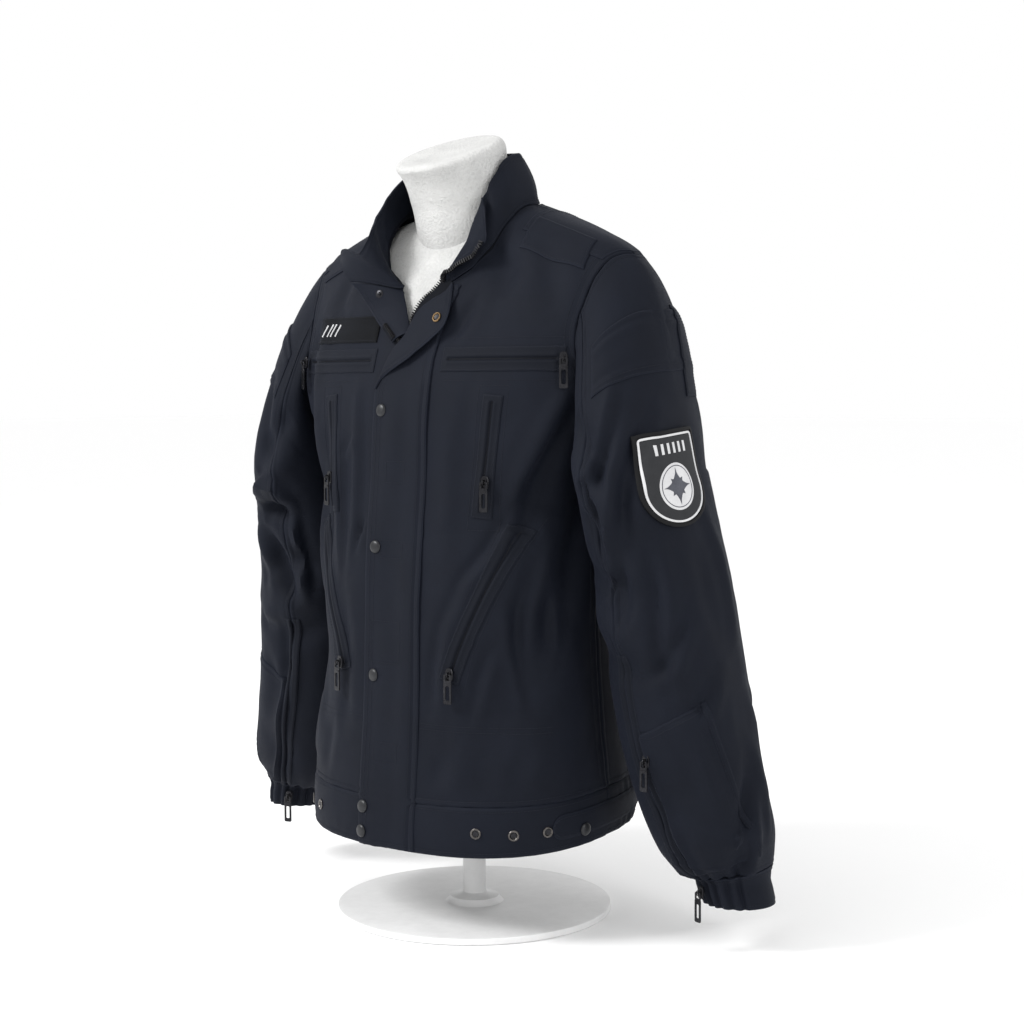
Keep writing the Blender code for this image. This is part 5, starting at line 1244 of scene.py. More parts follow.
def build_torso():
    sewn = {"left": EDGE_PLAIN, "right": EDGE_SEAM, "bottom": EDGE_SEAM, "top": EDGE_SEAM}
    front = torso_grid(FRONT)
    finish_torso("shell_front_left", front, FRONT, sewn, LEFT_CREASES, 3, ["front_left"])
    finish_torso("shell_front_right", mirrored(front, RIGHT), FRONT, sewn, RIGHT_CREASES, 5, ["front_right"])
    half = torso_grid(BACK)
    back = np.concatenate([mirrored(half, RIGHT)[:, ::-1], half[:, 1:]], axis=1)
    sewn = {"left": EDGE_SEAM, "right": EDGE_SEAM, "bottom": EDGE_SEAM, "top": EDGE_SEAM}
    finish_torso("shell_back", back, BACK, sewn, BACK_CREASES, 8, ["back"])
    for name in ("shell_front_left", "shell_front_right"):
        sew_edges("body", name, ("right", "bottom"))
        sew_edges("body", name, ("right",), STITCH_INSET + 0.0055, 0.01)
    sew_edges("body", "shell_back", ("bottom",))


def build_band():
    rows = np.linspace(HEM, BAND_TOP, 15)
    rows = np.concatenate([[HEM, HEM + 0.0007, HEM + 0.0016], rows[1:-1],
                           [BAND_TOP - 0.0016, BAND_TOP - 0.0007, BAND_TOP]])
    share = (rows - HEM) / (BAND_TOP - HEM)
    bulge = 0.0004 + 0.0016 * np.sin(np.pi * share) ** 0.7
    sewn = {"bottom": (0.0007, 0.0), "top": (0.0011, 0.0)}
    middle = OPENING["round"][0]
    turn = by_length(lambda t: torso_low(t, 0.0, FRONT), middle, 90.0, STEP, True)
    for side, tag in ((LEFT, "left"), (RIGHT, "right")):
        points = mirrored(torso_low(turn[None, :], rows[:, None], FRONT), side)
        finish_band("shell_waistband_" + tag, points, bulge, sewn, 13 + side, 0.0, "waistband_" + tag)
    half = by_length(lambda t: torso_low(t, 0.0, BACK), 0.0, 90.0, 0.003, False)
    turn = np.concatenate([-half[::-1], half[1:]])
    points = torso_low(turn[None, :], rows[:, None], BACK)
    finish_band("shell_waistband_back", points, bulge, sewn, 17, BAND_GATHER, "waistband_back")
    for tag in ("left", "right", "back"):
        sew_edges("body", "shell_waistband_" + tag, ("bottom", "top"), 0.0050, 0.003)


def finish_band(name, points, bulge, sewn, seed, gather, node_name):
    normals = outward(points, grid_normals(points))
    across, _ = distances(points)
    height = bulge[:, None] + seams(points, sewn) + ripples(points, seed, 0.0005)
    wave = np.sin(across / GATHER_PITCH * 2 * np.pi
                  + 2.2 * value_noise(np.stack([across, across * 0], axis=-1), 0.05, seed))
    ends = np.clip(np.minimum(across, across[:, -1:] - across) / 0.03 - 0.5, 0, 1)
    height = height + gather * wave * ends * np.sin(np.pi * np.linspace(0.12, 0.88, len(points)))[:, None]
    points = points + normals * height[..., None]
    shell(name, points, outward(points, grid_normals(points)), LOOK["cloth"], replaces=[node_name])


# Seam allowances


def border(name):
    """Border points of a piece, with their normals and the directions into the piece."""
    edges = []
    for edge in ("left", "right", "bottom", "top"):
        line, near, out = edge_of(name, edge)
        edges.append((line, unit(near - line), out))
    return [np.concatenate([edge[k] for edge in edges]) for k in range(3)]


def edge_of(name, edge):
    points, normals = PATCH[name]
    if edge in ("bottom", "top"):
        points, normals = points.transpose(1, 0, 2), normals.transpose(1, 0, 2)
    first, step = (0, 5) if edge in ("left", "bottom") else (-1, -6)
    return points[:, first], points[:, step], normals[:, first]


def seam_back(name, edge, others, depth=CLOTH + 0.0005, reach=0.0035, apart=0.007):
    """Dark allowance behind a seam, from inside one piece to inside the next one."""
    line, near, out = edge_of(name, edge)
    inward = unit(near - line)
    parts = [border(other) for other in others]
    spots, ways, ups = (np.concatenate([part[k] for part in parts]) for k in range(3))
    away = np.linalg.norm(line[:, None, :] - spots[None, :, :], axis=-1)
    pick = away.argmin(axis=1)
    close = away.min(axis=1) < apart
    runs = np.split(np.arange(len(close)), np.flatnonzero(np.diff(close.astype(int))) + 1)
    runs = [run for run in runs if close[run[0]] and len(run) > 3]
    for index, run in enumerate(runs):
        chosen = pick[run]
        grid = np.stack([
            line[run] + inward[run] * reach - out[run] * depth,
            line[run] - out[run] * depth,
            spots[chosen] - ups[chosen] * depth,
            spots[chosen] + ways[chosen] * reach - ups[chosen] * depth,
        ], axis=1)
        normals = facing(grid, out[run][:, None, :])
        shell("seam_%s_%s_%d" % (name[6:], edge, index), grid, normals, LOOK["dark"], 0.0006)


def build_seam_backs():
    for tag in ("left", "right"):
        front, back = "shell_front_" + tag, "shell_back"
        sleeves = ("shell_sleeve_top_" + tag, "shell_sleeve_under_" + tag)
        seam_back(front, "top", (back, "shell_collar"))
        seam_back(front, "right", (back, *sleeves))
        seam_back(front, "bottom", ("shell_waistband_" + tag,))
        seam_back("shell_cuff_" + tag, "bottom", sleeves, reach=0.006, apart=0.012)
        for sleeve in sleeves:
            seam_back(sleeve, "bottom", (front, back))
        for edge in ("left", "right"):
            seam_back(sleeves[0], edge, (sleeves[1],))
            seam_back("shell_waistband_" + tag, edge, ("shell_waistband_back",))
    seam_back("shell_back", "top", ("shell_collar",))
    seam_back("shell_back", "bottom", ("shell_waistband_back",))


# Collar and turned-out front edges


def neck_path():
    """The neckline from the left front end to the middle of the back."""
    shares = np.linspace(0, NECK_SHARE, 30)
    front = torso_high(*neck_edge(shares, FRONT), FRONT)
    back = torso_high(*neck_edge(shares, BACK), BACK)
    corners = np.concatenate([front[:-1], (front[-1:] + back[-1:]) / 2, back[-2::-1]])
    steps = np.linalg.norm(np.diff(corners, axis=0), axis=1)
    return np.concatenate([[0], np.cumsum(steps)]), corners


def collar_wing_left(path, shares):
    """Columns of the left wing, turned over along its fold and rested on the front."""
    lines = []
    fold = unit(np.array([WING_RUN, COLLAR_HEIGHT]))
    square = np.array([-fold[1], fold[0]])
    cut = unit(np.array([WING_CUT, COLLAR_HEIGHT]))
    full = FOLD_RADIUS * math.radians(FOLD_ANGLE)
    reach = np.concatenate([np.linspace(0, full, 9)[1:],
                            full + (WING_DEPTH - full) * marks(1.0, 0.09, False, False)[1:]])
    reach = np.concatenate([reach[:-1], WING_DEPTH - np.array([0.0016, 0.0008, 0.0])])
    tree = skin("shell_front_left")
    for distance in reach:
        first = distance * np.dot(cut, fold) / (cut[1] * fold[0] - cut[0] * fold[1])
        last = (COLLAR_HEIGHT - distance * square[1]) / fold[1]
        along = first + (last - first) * shares
        run, height = along * fold[0], along * fold[1]
        foot = collar_point(run, height, path)
        ahead = collar_point(run + fold[0] * COLLAR_STEP, height + fold[1] * COLLAR_STEP, path)
        inner = collar_point(run - square[0] * COLLAR_STEP, height - square[1] * COLLAR_STEP, path)
        beyond = unit(foot - inner)
        out = unit(np.cross(unit(ahead - foot), beyond))
        out = -out if np.sum(out[..., :2] * foot[..., :2]) < 0 else out
        line = curl(foot, beyond, out, np.full(len(shares), distance))
        fall = np.interp(distance, WING_FALL["from_fold"], WING_FALL["drop"])
        line = line + fall * unit(np.array(WING_WAY))
        for k in range(len(line)):
            hit, normal, _, _ = tree.find_nearest(Vector(line[k]))
            normal = np.array(normal)
            normal = normal if normal[1] < 0 or normal[2] > 0.8 else -normal
            height = float(np.dot(line[k] - np.array(hit), normal))
            beside = float(np.linalg.norm(line[k] - np.array(hit) - normal * height))
            if beside < WING_BESIDE:
                line[k] += normal * max(WING_CLEAR - height, 0.0)
        lines.append(line)
    return lines


def collar_lean(run, path):
    """Neckline point on the right and the collar's direction there, opening out towards the front."""
    end = path[0][-1]
    base = on_path(path, run)
    along = unit(on_path(path, np.clip(run + COLLAR_STEP, 0, end))
                 - on_path(path, np.clip(run - COLLAR_STEP, 0, end)))
    out = unit(np.cross(along, np.array([0.0, 0.0, 1.0])) * np.array([1.0, 1.0, 0.0]))
    out = np.where((np.sum(out[..., :2] * base[..., :2], axis=-1) < 0)[..., None], -out, out)
    lean = np.radians(smooth(RIGHT_LEAN["run"], RIGHT_LEAN["lean"], run))[..., None]
    rise = np.array([0.0, 0.0, 1.0]) * np.cos(lean) + out * np.sin(lean)
    flip = np.array([-1.0, 1.0, 1.0])
    return base * flip, rise * flip, out * flip


def collar_right(path, shares):
    """Columns of the right half, from the wing's front edge to the middle of the back."""
    lapel = PATCH["shell_lapel_right"][0][-1]
    step = np.array([0.0, 0.0, COLLAR_GAP])
    reach = reach_of(lapel)
    runs = np.linspace(0, path[0][-1], 56)[1:]
    feet, rise, out = collar_lean(runs, path)
    tops = feet + rise * (COLLAR_HEIGHT + COLLAR_GAP)
    known = runs > RIGHT_LEAN["run"][0]
    spots = np.concatenate([WING_TOP["run"], runs[known]])
    table = np.stack([WING_TOP["x"], WING_TOP["y"], WING_TOP["z"]], axis=-1)
    table = np.concatenate([table, tops[known]])
    places = np.concatenate([-reach[::-1] * -WING_TOP["run"][0] / reach[-1], runs])
    high = np.stack([smooth(spots, table[:, k], places) for k in range(3)], axis=-1)
    low = np.concatenate([lapel[::-1] + step, feet + rise * COLLAR_GAP])
    bow = COLLAR_BOW * np.sin(np.pi * shares)
    sway = np.concatenate([np.broadcast_to(np.array(WING_BELLY), lapel.shape), out])
    return [a + (b - a) * shares[:, None] + w * bow[:, None] for a, b, w in zip(low, high, sway)]


def build_collar():
    path = neck_path()
    total = path[0][-1]
    shares = marks(COLLAR_HEIGHT, 0.0035) / COLLAR_HEIGHT
    lines = collar_right(path, shares)
    for run in np.linspace(total, 0, 56)[1:]:
        slant = WING_RUN * (1 - run / total)
        lines.append(collar_point(run + slant * shares, COLLAR_HEIGHT * shares, path))
    lines += collar_wing_left(path, shares)
    grid = np.array(lines).transpose(1, 0, 2)
    middle = int(np.argmax(grid[2, :, 1]))
    for reach, passes, weight in ((9, 24, np.ones(len(shares))), (22, 160, np.clip(shares * 2.5, 0, 1))):
        even = grid.copy()
        for _ in range(passes):
            near = even[:, middle - reach:middle + reach + 1]
            even[:, middle - reach + 1:middle + reach] = (near[:, :-2] + 2 * near[:, 1:-1] + near[:, 2:]) / 4
        grid = grid + (even - grid) * weight[:, None, None]
    normals = grid_normals(grid)
    normals = normals if normals[2, middle, 1] > 0 else -normals
    sewn = {"bottom": (0.0006, 0.0), "top": (0.0006, 0.0), "left": (0.0005, 0.0), "right": (0.0005, 0.0)}
    height = seams(grid, sewn) + 0.7 * ripples(grid, 31)
    grid = grid + normals * height[..., None]
    shell("shell_collar", grid, normals, LOOK["cloth"], 0.0019, ["collar"])
    sew_edges("collar", "shell_collar", ("top", "left", "right", "bottom"), 0.0055)
    sew_edges("collar", "shell_collar", ("top", "left", "right"), 0.0105)


def build_lapel():
    """The right front above the opening, rolled out and standing a little off the chest."""
    count = 44
    edge, beyond, out = opening_edge(RIGHT, LAPEL_START, 1.0, count)
    share = np.linspace(0, 1, count + 1)
    rim = np.stack([smooth(LAPEL_EDGE["share"], LAPEL_EDGE[axis], share) for axis in "xyz"], axis=-1)
    start = edge + beyond * 0.0006
    span = np.linalg.norm(rim - edge, axis=-1, keepdims=True)
    way = unit(rim - edge - out * 0.006)
    handles = (start, start + beyond * 0.0055, rim - way * span * 0.62 + out * 0.0050, rim)
    t = np.concatenate([np.linspace(0, 0.42, 12), np.linspace(0.42, 0.96, 14)[1:],
                        [0.975, 0.99, 1.0]])[:, None, None]
    a, b, c, d = handles
    grid = (1 - t) ** 3 * a + 3 * t * (1 - t) ** 2 * b + 3 * t**2 * (1 - t) * c + t**3 * d
    grid = grid.transpose(1, 0, 2)
    normals = grid_normals(grid)
    normals = normals if np.sum(normals[:, -1] * out) > 0 else -normals
    grid = grid + normals * (0.5 * ripples(grid, 41) + seams(grid, {"right": (0.0005, 0.0)}))[..., None]
    shell("shell_lapel_right", grid, normals, LOOK["cloth"], TRIM, ["lapel_right"])
    sew_edges("collar", "shell_lapel_right", ("right",), 0.0035)
    sew_edges("collar", "shell_lapel_right", ("right",), 0.0095)


def curve_of(table, count):
    """Smooth line through a table's places."""
    places = np.arange(len(table["x"]))
    at = np.linspace(0, places[-1], count)
    return np.stack([smooth(places, table[axis], at) for axis in "xyz"], axis=-1)


def flap_bed(tree, heights, shares):
    """The flap's places on the fronts. Above the turn it hangs from its fold to its seam."""
    fold = curve_of(FLAP_FOLD, 60)
    left = np.interp(heights, fold[:, 2], fold[:, 0])
    right = np.interp(heights, FLAP_SEAM["height"], FLAP_SEAM["x"])
    x = left[:, None] + (right - left)[:, None] * shares
    targets = np.stack([x, 0 * x - AHEAD, np.broadcast_to(heights[:, None], x.shape)], axis=-1)
    targets = drop(tree, targets, AHEAD_WAY)
    above = heights > FLAP_FOLD["z"][0]
    line = np.interp(heights, fold[:, 2], fold[:, 1])[above, None] + 2 * FLAP_FOLD_RADIUS
    chord = line + (targets[above, -1:, 1] - line) * shares
    targets[above, :, 0] = x[above]
    targets[above, :, 1] = np.minimum(chord, np.where(x[above] > 0.012, targets[above, :, 1], 0.0))
    targets[above, :, 2] = heights[above, None]
    return targets


def build_facing():
    """The flap's inner side, rolled over along its fold and hanging a little off the front."""
    count = 52
    fold, rim = curve_of(FLAP_FOLD, count), curve_of(FLAP_EDGE, count)
    across = rim - fold
    span = np.linalg.norm(across, axis=-1, keepdims=True)
    way = across / span
    out = unit(np.cross(way, unit(np.gradient(fold, axis=0))))
    out = np.where(out[:, 1:2] > 0, -out, out)
    radius = np.minimum(FLAP_FOLD_RADIUS, span * 0.3)
    centre = fold + way * radius
    lines = [centre + radius * (np.sin(a) * out - np.cos(a) * way)
             for a in np.radians(np.linspace(-90, 90, 9))]
    start = lines[-1]
    handles = (start, start + way * span * 0.35, rim - way * span * 0.30 + out * 0.0012, rim)
    a, b, c, d = handles
    for t in np.concatenate([np.linspace(0, 0.9, 14)[1:], [0.96, 0.985, 1.0]]):
        lines.append((1 - t) ** 3 * a + 3 * t * (1 - t) ** 2 * b + 3 * t**2 * (1 - t) * c + t**3 * d)
    grid = np.array(lines).transpose(1, 0, 2)
    normals = grid_normals(grid)
    normals = normals if np.sum(normals[:, -1] * out) > 0 else -normals
    grid = grid + normals * (0.5 * ripples(grid, 53) + seams(grid, {"right": (0.0005, 0.0)}))[..., None]
    shell("shell_facing", grid, normals, LOOK["cloth"], TRIM, ["flap_facing"])
    sew_edges("body", "shell_facing", ("right",), 0.0030)


def build_flap():
    tree = skin("shell_front_left", "shell_front_right", "shell_waistband_left", "shell_waistband_right")
    heights = HEM + 0.0006 + marks(FLAP_SEAM["height"][-1] - HEM - 0.0006, 0.0045, True, True)
    shares = marks(0.076, 0.0035) / 0.076
    targets = flap_bed(tree, heights, shares)
    x, z = targets[..., 0], targets[..., 2]
    relief = 0.0011 * value_noise(np.stack([x, z * 0.35], axis=-1), 0.022, 51)
    relief = relief + np.interp(x, FLAP_RIDGES["x"], FLAP_RIDGES["height"])
    relief = relief - 0.0011 * np.exp(-(((x - 0.0285) / 0.0014) ** 2)) * (z < FLAP_TURN)
    free = np.clip(1 - (x + 0.040) / 0.016, 0, 1) * np.clip((FLAP_TURN - z) / 0.05, 0, 1)
    relief = relief + 0.0014 * free * (0.6 + 0.4 * np.sin(z / 0.034))
    lay("shell_placket", None, targets, AHEAD_WAY, LOOK["cloth"], FLAP_THICKNESS, relief,
        ["placket_flap"], dip=0.0009, flat=6)
    sew_edges("body", "shell_placket", ("left",), 0.0065)
    sew_edges("body", "shell_placket", ("left",), 0.0120)
    sew_edges("body", "shell_placket", ("right",), 0.0018)
    sew_edges("body", "shell_placket", ("right",), 0.0115)
    sew_edges("body", "shell_placket", ("bottom",), 0.0060)
    build_facing()
    front = skin("shell_placket")
    for low, high, left, right in FLAP_BOXES:
        corners = [(left, low), (right, low), (right, high), (left, high), (left, low)]
        sew_path("body", front, corners, FRONT)


def sew_path(group, tree, corners, face, step=0.002):
    """Stitches along straight runs between places seen from the front or back."""
    for (x0, z0), (x1, z1) in zip(corners, corners[1:]):
        count = max(2, int(math.hypot(x1 - x0, z1 - z0) / step))
        x, z = np.linspace(x0, x1, count), np.linspace(z0, z1, count)
        spots = np.stack([x, np.full(count, face * 0.12), z], axis=-1)
        into = np.array([0.0, -face, 0.0])
        hits = drop(tree, spots, into)
        ways = np.array([tree.find_nearest(Vector(hit))[1] for hit in hits])
        ways = np.where(ways[:, 1:2] * face < 0, -ways, ways)
        sew(group, hits, ways)


# Sleeves and cuffs


def sleeve_into(points, side):
    """Directions from points on a sleeve to its middle line."""
    keys = -np.asarray(SLEEVE["height"])
    at = -np.clip(points[..., 2], SLEEVE["height"][-1], SLEEVE["height"][0])
    centre = np.stack([side * smooth(keys, SLEEVE["x"], at), smooth(keys, SLEEVE["y"], at), points[..., 2]],
                      axis=-1)
    return unit(centre - points)


def cuff_wave(turns, side):
    """Gathers round the cuff: deep narrow valleys, none on the flat outer part."""
    turns = np.mod(np.asarray(turns, float) + 180.0, 360.0) - 180.0
    around = np.radians(turns)
    phase = around * CUFF_WAVES + 0.9 * np.sin(around * 3 + side) + 0.5 * np.sin(around * 7)
    wave = 0.55 - 1.55 * np.abs(np.sin(phase / 2)) ** 3
    middle = (CUFF_FLAT[0] + CUFF_FLAT[1]) / 2
    half = (CUFF_FLAT[1] - CUFF_FLAT[0]) / 2
    return wave * np.clip((np.abs(turns - middle) - half) / 7.0, 0, 1)


def closed_normals(points):
    ring = grid_normals(points[:, :-1], wrap=True)
    normals = np.concatenate([ring, ring[:, :1]], axis=1)
    middle = len(points) - 3
    away = points[middle] - points[middle].mean(axis=0)
    return normals if np.sum(normals[middle] * away) > 0 else -normals


def sleeve_turns():
    """Degrees of the fine sleeve grid from the back seam round to it again, and the front seam's column."""
    top = by_length(lambda a: sleeve_at(a, np.full(a.shape, 0.3), LEFT), BACK_SEAM, FRONT_SEAM + 360.0, STEP)
    under = by_length(lambda a: sleeve_at(a, np.full(a.shape, 0.3), LEFT), FRONT_SEAM + 360.0,
                      BACK_SEAM + 360.0, STEP)
    return np.concatenate([top, under[1:]]), len(top) - 1


def build_sleeves():
    turns, split = sleeve_turns()
    cap = by_length(lambda r: sleeve_at(np.full(r.shape, 20.0), r, LEFT), -1.0, 0.0, 0.0042, True, False)
    arm = by_length(lambda r: sleeve_at(np.full(r.shape, 60.0), r, LEFT), 0.0, 1.0, 0.0042, False, True)
    rows = np.concatenate([cap, arm[1:]])
    for side, tag, table, seed in ((LEFT, "left", LEFT_SLEEVE_CREASES, 61),
                                   (RIGHT, "right", RIGHT_SLEEVE_CREASES, 71)):
        surface = sleeve_surface(turns, rows, side)
        surface = surface + closed_normals(surface) * sleeve_folds(surface, turns, rows)[..., None]
        surface[:, -1] = surface[:, 0]
        points = surface * np.array([side, 1, 1])
        normals = closed_normals(points)
        gather = np.clip((rows - 0.90) / 0.10, 0, 1)[:, None] ** 2 * cuff_wave(turns, side)[None, :]
        height = crease_depth(points, sleeve_creases(table, side)) + CUFF_WAVE_DEPTH * 0.8 * gather
        ripple = ripples(points, seed)
        fade = np.clip(np.minimum(np.arange(len(turns)), len(turns) - 1 - np.arange(len(turns))) / 8, 0, 1)
        height = height + ripple * fade[None, :]
        height = (height * np.clip((rows + 1) / 0.06, 0, 1)[:, None])
        points = points + normals * height[..., None]
        points[:, -1] = points[:, 0]
        sewn = {"left": EDGE_SEAM, "right": EDGE_SEAM, "bottom": (0.0014, 0.0004), "top": (0.0012, 0.0)}
        normals = closed_normals(points)
        for part, cut in (("top", slice(0, split + 1)), ("under", slice(split, None))):
            piece, ways = points[:, cut], normals[:, cut]
            piece = piece + ways * seams(piece, sewn)[..., None]
            name = "shell_sleeve_%s_%s" % (part, tag)
            shell(name, piece, ways, LOOK["cloth"], replaces=["sleeve_%s_%s" % (part, tag)])
        name = "shell_sleeve_top_" + tag
        sew_edges("sleeves", name, ("left", "right", "bottom"))
        sew_edges("sleeves", name, ("left", "right"), 0.0018)


def build_cuffs():
    turns = np.linspace(-180.0, 180.0, 301)
    drop_by = SLEEVE["height"][-1] - CUFF_BOTTOM
    drift = np.array([0.008, 0.003, -drop_by])
    shares = np.array([0.0, 0.02, 0.05, 0.10, 0.17, 0.25, 0.35, 0.45, 0.55, 0.65, 0.75, 0.83, 0.90, 0.95,
                       0.98, 1.0])
    c, s = np.cos(np.radians(turns)), -np.sin(np.radians(turns))
    for side, tag in ((LEFT, "left"), (RIGHT, "right")):
        top = SLEEVE["height"][-1]
        centre = np.array([SLEEVE["x"][-1], SLEEVE["y"][-1], top - SLEEVE_DROP[side]])
        end = sleeve_at(turns, np.ones(turns.shape), side) - np.array([0.0, 0.0, 0.0004])
        wave = cuff_wave(turns, side)
        grid = []
        for t in shares:
            depth = CUFF_WAVE_DEPTH * np.interp(t, (0.0, 0.12, 0.5, 0.88, 1.0), (0.75, 0.7, 1.0, 0.8, 0.7))
            swell = np.interp(t, (0.0, 0.10, 0.14, 0.5, 0.86, 0.90, 1.0),
                              (0.0, 0.0, 0.0010, 0.0016, 0.0010, 0.0002, 0.0))
            radius = CUFF_RADIUS + swell + depth * wave
            ring = centre + drift * t + np.stack([radius * c, radius * s, 0 * radius], axis=-1)
            blend = np.clip(1 - t / 0.30, 0, 1) ** 1.5
            first = end + drift * t + np.stack([c, s, 0 * c], axis=-1) * (depth * wave)[:, None]
            grid.append(ring * (1 - blend) + first * blend)
        points = np.array(grid)
        points[:, -1] = points[:, 0]
        normals = closed_normals(points)
        points = (points + normals * (0.25 * ripples(points, 81))[..., None])
        points[:, -1] = points[:, 0]
        points = points * np.array([side, 1, 1])
        shell("shell_cuff_" + tag, points, closed_normals(points), LOOK["cloth"], replaces=["cuff_" + tag])
        sew_edges("sleeves", "shell_cuff_" + tag, ("bottom", "top"), 0.0042, 0.0)


# Laid pieces


def strip_grid(path, half_width, side, step=0.0030):
    """Fine targets for a strip on the front, and the distance of each point from its middle line."""
    path = np.array(path, float)
    reach = reach_of(path)
    spots = marks(reach[-1], step)
    keys = np.linspace(0, reach[-1], 40)
    line = np.stack([np.interp(keys, reach, path[:, k]) for k in (0, 1)], axis=-1)
    for _ in range(6):
        line[1:-1] = (line[:-2] + line[2:]) / 2
    line = np.stack([np.interp(spots, keys, line[:, k]) for k in (0, 1)], axis=-1)
    way = unit(np.gradient(line, axis=0))
    square = np.stack([-way[:, 1], way[:, 0]], axis=-1)
    half = np.array(WELT_MARKS) * half_width
    across = np.concatenate([-half[::-1], half[1:]])
    grid = line[:, None, :] + square[:, None, :] * across[None, :, None]
    targets = np.stack([side * grid[..., 0], 0 * grid[..., 0] - AHEAD, grid[..., 1]], axis=-1)
    return targets, np.broadcast_to(across, grid.shape[:2]), spots


def slit(across, spots, ends=0.006):
    """Relief of a zip's opening between two rounded lips."""
    window = np.clip((spots - ends) / 0.0015, 0, 1) * np.clip((spots[-1] - ends - spots) / 0.0015, 0, 1)
    lips = 0.0008 * np.exp(-(((np.abs(across) - 0.0036) / 0.0017) ** 2))
    gap = -0.0014 * np.exp(-((across / 0.0016) ** 4))
    return (lips + gap) * window[:, None]


def zip_strip(name, tree, path, half_width, side, replaces, group="body"):
    targets, across, spots = strip_grid(path, half_width, side)
    lay(name, tree, targets, AHEAD_WAY, LOOK["trim"], TRIM, slit(across, spots), replaces,
        flat=4)
    sew_edges(group, name, ("left", "right", "bottom", "top"), 0.0016, 0.002)
    points, normals = PATCH[name]
    middle = points.shape[1] // 2
    line, ways = cut_line(points[:, middle], normals[:, middle], 0.007, 0.007)
    places, along, out = along_line(line, ways, 0.00125)
    square = unit(np.cross(out, along))
    shift = np.where(np.arange(len(places)) % 2 == 0, 0.00038, -0.00038)[:, None]
    TEETH.append(blocks(places + square * shift, along, out, 0.00062, 0.0011, 0.00055))
    return line, ways


TEETH = []


def sleeve_tree(tag):
    return skin("shell_sleeve_top_" + tag, "shell_sleeve_under_" + tag)


def sleeve_lay(name, tree, angles, rows, side, look, thickness=TRIM, relief=None, replaces=(),
               flat=4):
    targets = sleeve_at(angles, rows, side) * np.array([side, 1, 1])
    into = sleeve_into(targets, side)
    return lay(name, tree, targets, into, look, thickness, relief, replaces, flat=flat)


def build_laid():
    tree = skin("shell_front_left", "shell_front_right")
    for side, tag in ((LEFT, "left"), (RIGHT, "right")):
        zip_strip("zip_chest_" + tag, tree, CHEST_ZIP, WELT_HALF, side, ["chest_welt_" + tag])
        zip_strip("zip_bust_" + tag, tree, BUST_ZIP, BUST_WELT_HALF, side, ["bust_welt_" + tag])
        zip_strip("zip_slant_" + tag, tree, SLANT_ZIP, BUST_WELT_HALF, side, ["slant_welt_" + tag])
        for path in POCKET_STITCHES:
            sew_path("body", tree, [(side * x, z) for x, z in path], FRONT)
    targets, across, _ = strip_grid(NAME_TAPE, NAME_TAPE_HALF, RIGHT)
    rim = 0.0007 * np.exp(-(((np.abs(across) - NAME_TAPE_HALF + 0.0012) / 0.0008) ** 2))
    lay("tape_patch", tree, targets, AHEAD_WAY, LOOK["loop"], 0.0016, rim, ["name_tape"],
        flat=10)
    build_tape_bars()


def build_tape_bars():
    """Plain slanted bars on the chest tape."""
    points, normals = PATCH["tape_patch"]
    across, along = distances(points)
    width, length = across[0, -1], along[-1, 0]
    sets = []
    for start in TAPE_BARS:
        low = (start, width * 0.25)
        high = (start - 0.006, width * 0.72)
        share = np.linspace(0, 1, 14)
        line, ways = [], []
        for t in share:
            run = low[0] + (high[0] - low[0]) * t
            up = low[1] + (high[1] - low[1]) * t
            r = np.interp(run / length, along[:, 0] / length, np.arange(len(points)))
            c = np.interp(up, across[0], np.arange(points.shape[1]))
            line.append(points[int(round(r)), int(round(c))])
            ways.append(normals[int(round(r)), int(round(c))])
        line = np.array([line[0] + (line[-1] - line[0]) * t for t in share])
        ways = np.array([unit(ways[0] + ways[-1])] * len(share))
        places, run, out = along_line(line, ways, 0.0011)
        sets.append(blocks(places, run, out, 0.0011, 0.0026, 0.0005))
    made = gather_blocks("tape_bars", sets, LOOK["white"])
    return made


def shoulder_targets(spans, rises, side, step):
    """Fine targets over the shoulder with the directions that point into it."""
    signed = np.array([rise if face == FRONT else 180.0 - rise for rise, face in rises])
    order = np.linspace(signed[0], signed[-1], max(12, int(abs(signed[-1] - signed[0]) / step)))
    rows, ways = [], []
    for value in order:
        face = FRONT if value <= 90.0 else BACK
        rise = min(value if face == FRONT else 180.0 - value, 89.95)
        first = float(np.interp(value, signed, [span[0] for span in spans]))
        last = float(np.interp(value, signed, [span[1] for span in spans]))
        turns = first + (last - first) * marks(0.12, 0.0045) / 0.12
        rows.append(torso_high(turns, np.full(len(turns), rise), face))
        tilt = math.radians(rise)
        way = unit(np.array([-0.30, -face * math.cos(tilt), -math.sin(tilt) - 0.2]))
        ways.append(np.broadcast_to(way, rows[-1].shape))
    flip = np.array([side, 1, 1])
    return np.array(rows) * flip, np.array(ways) * flip


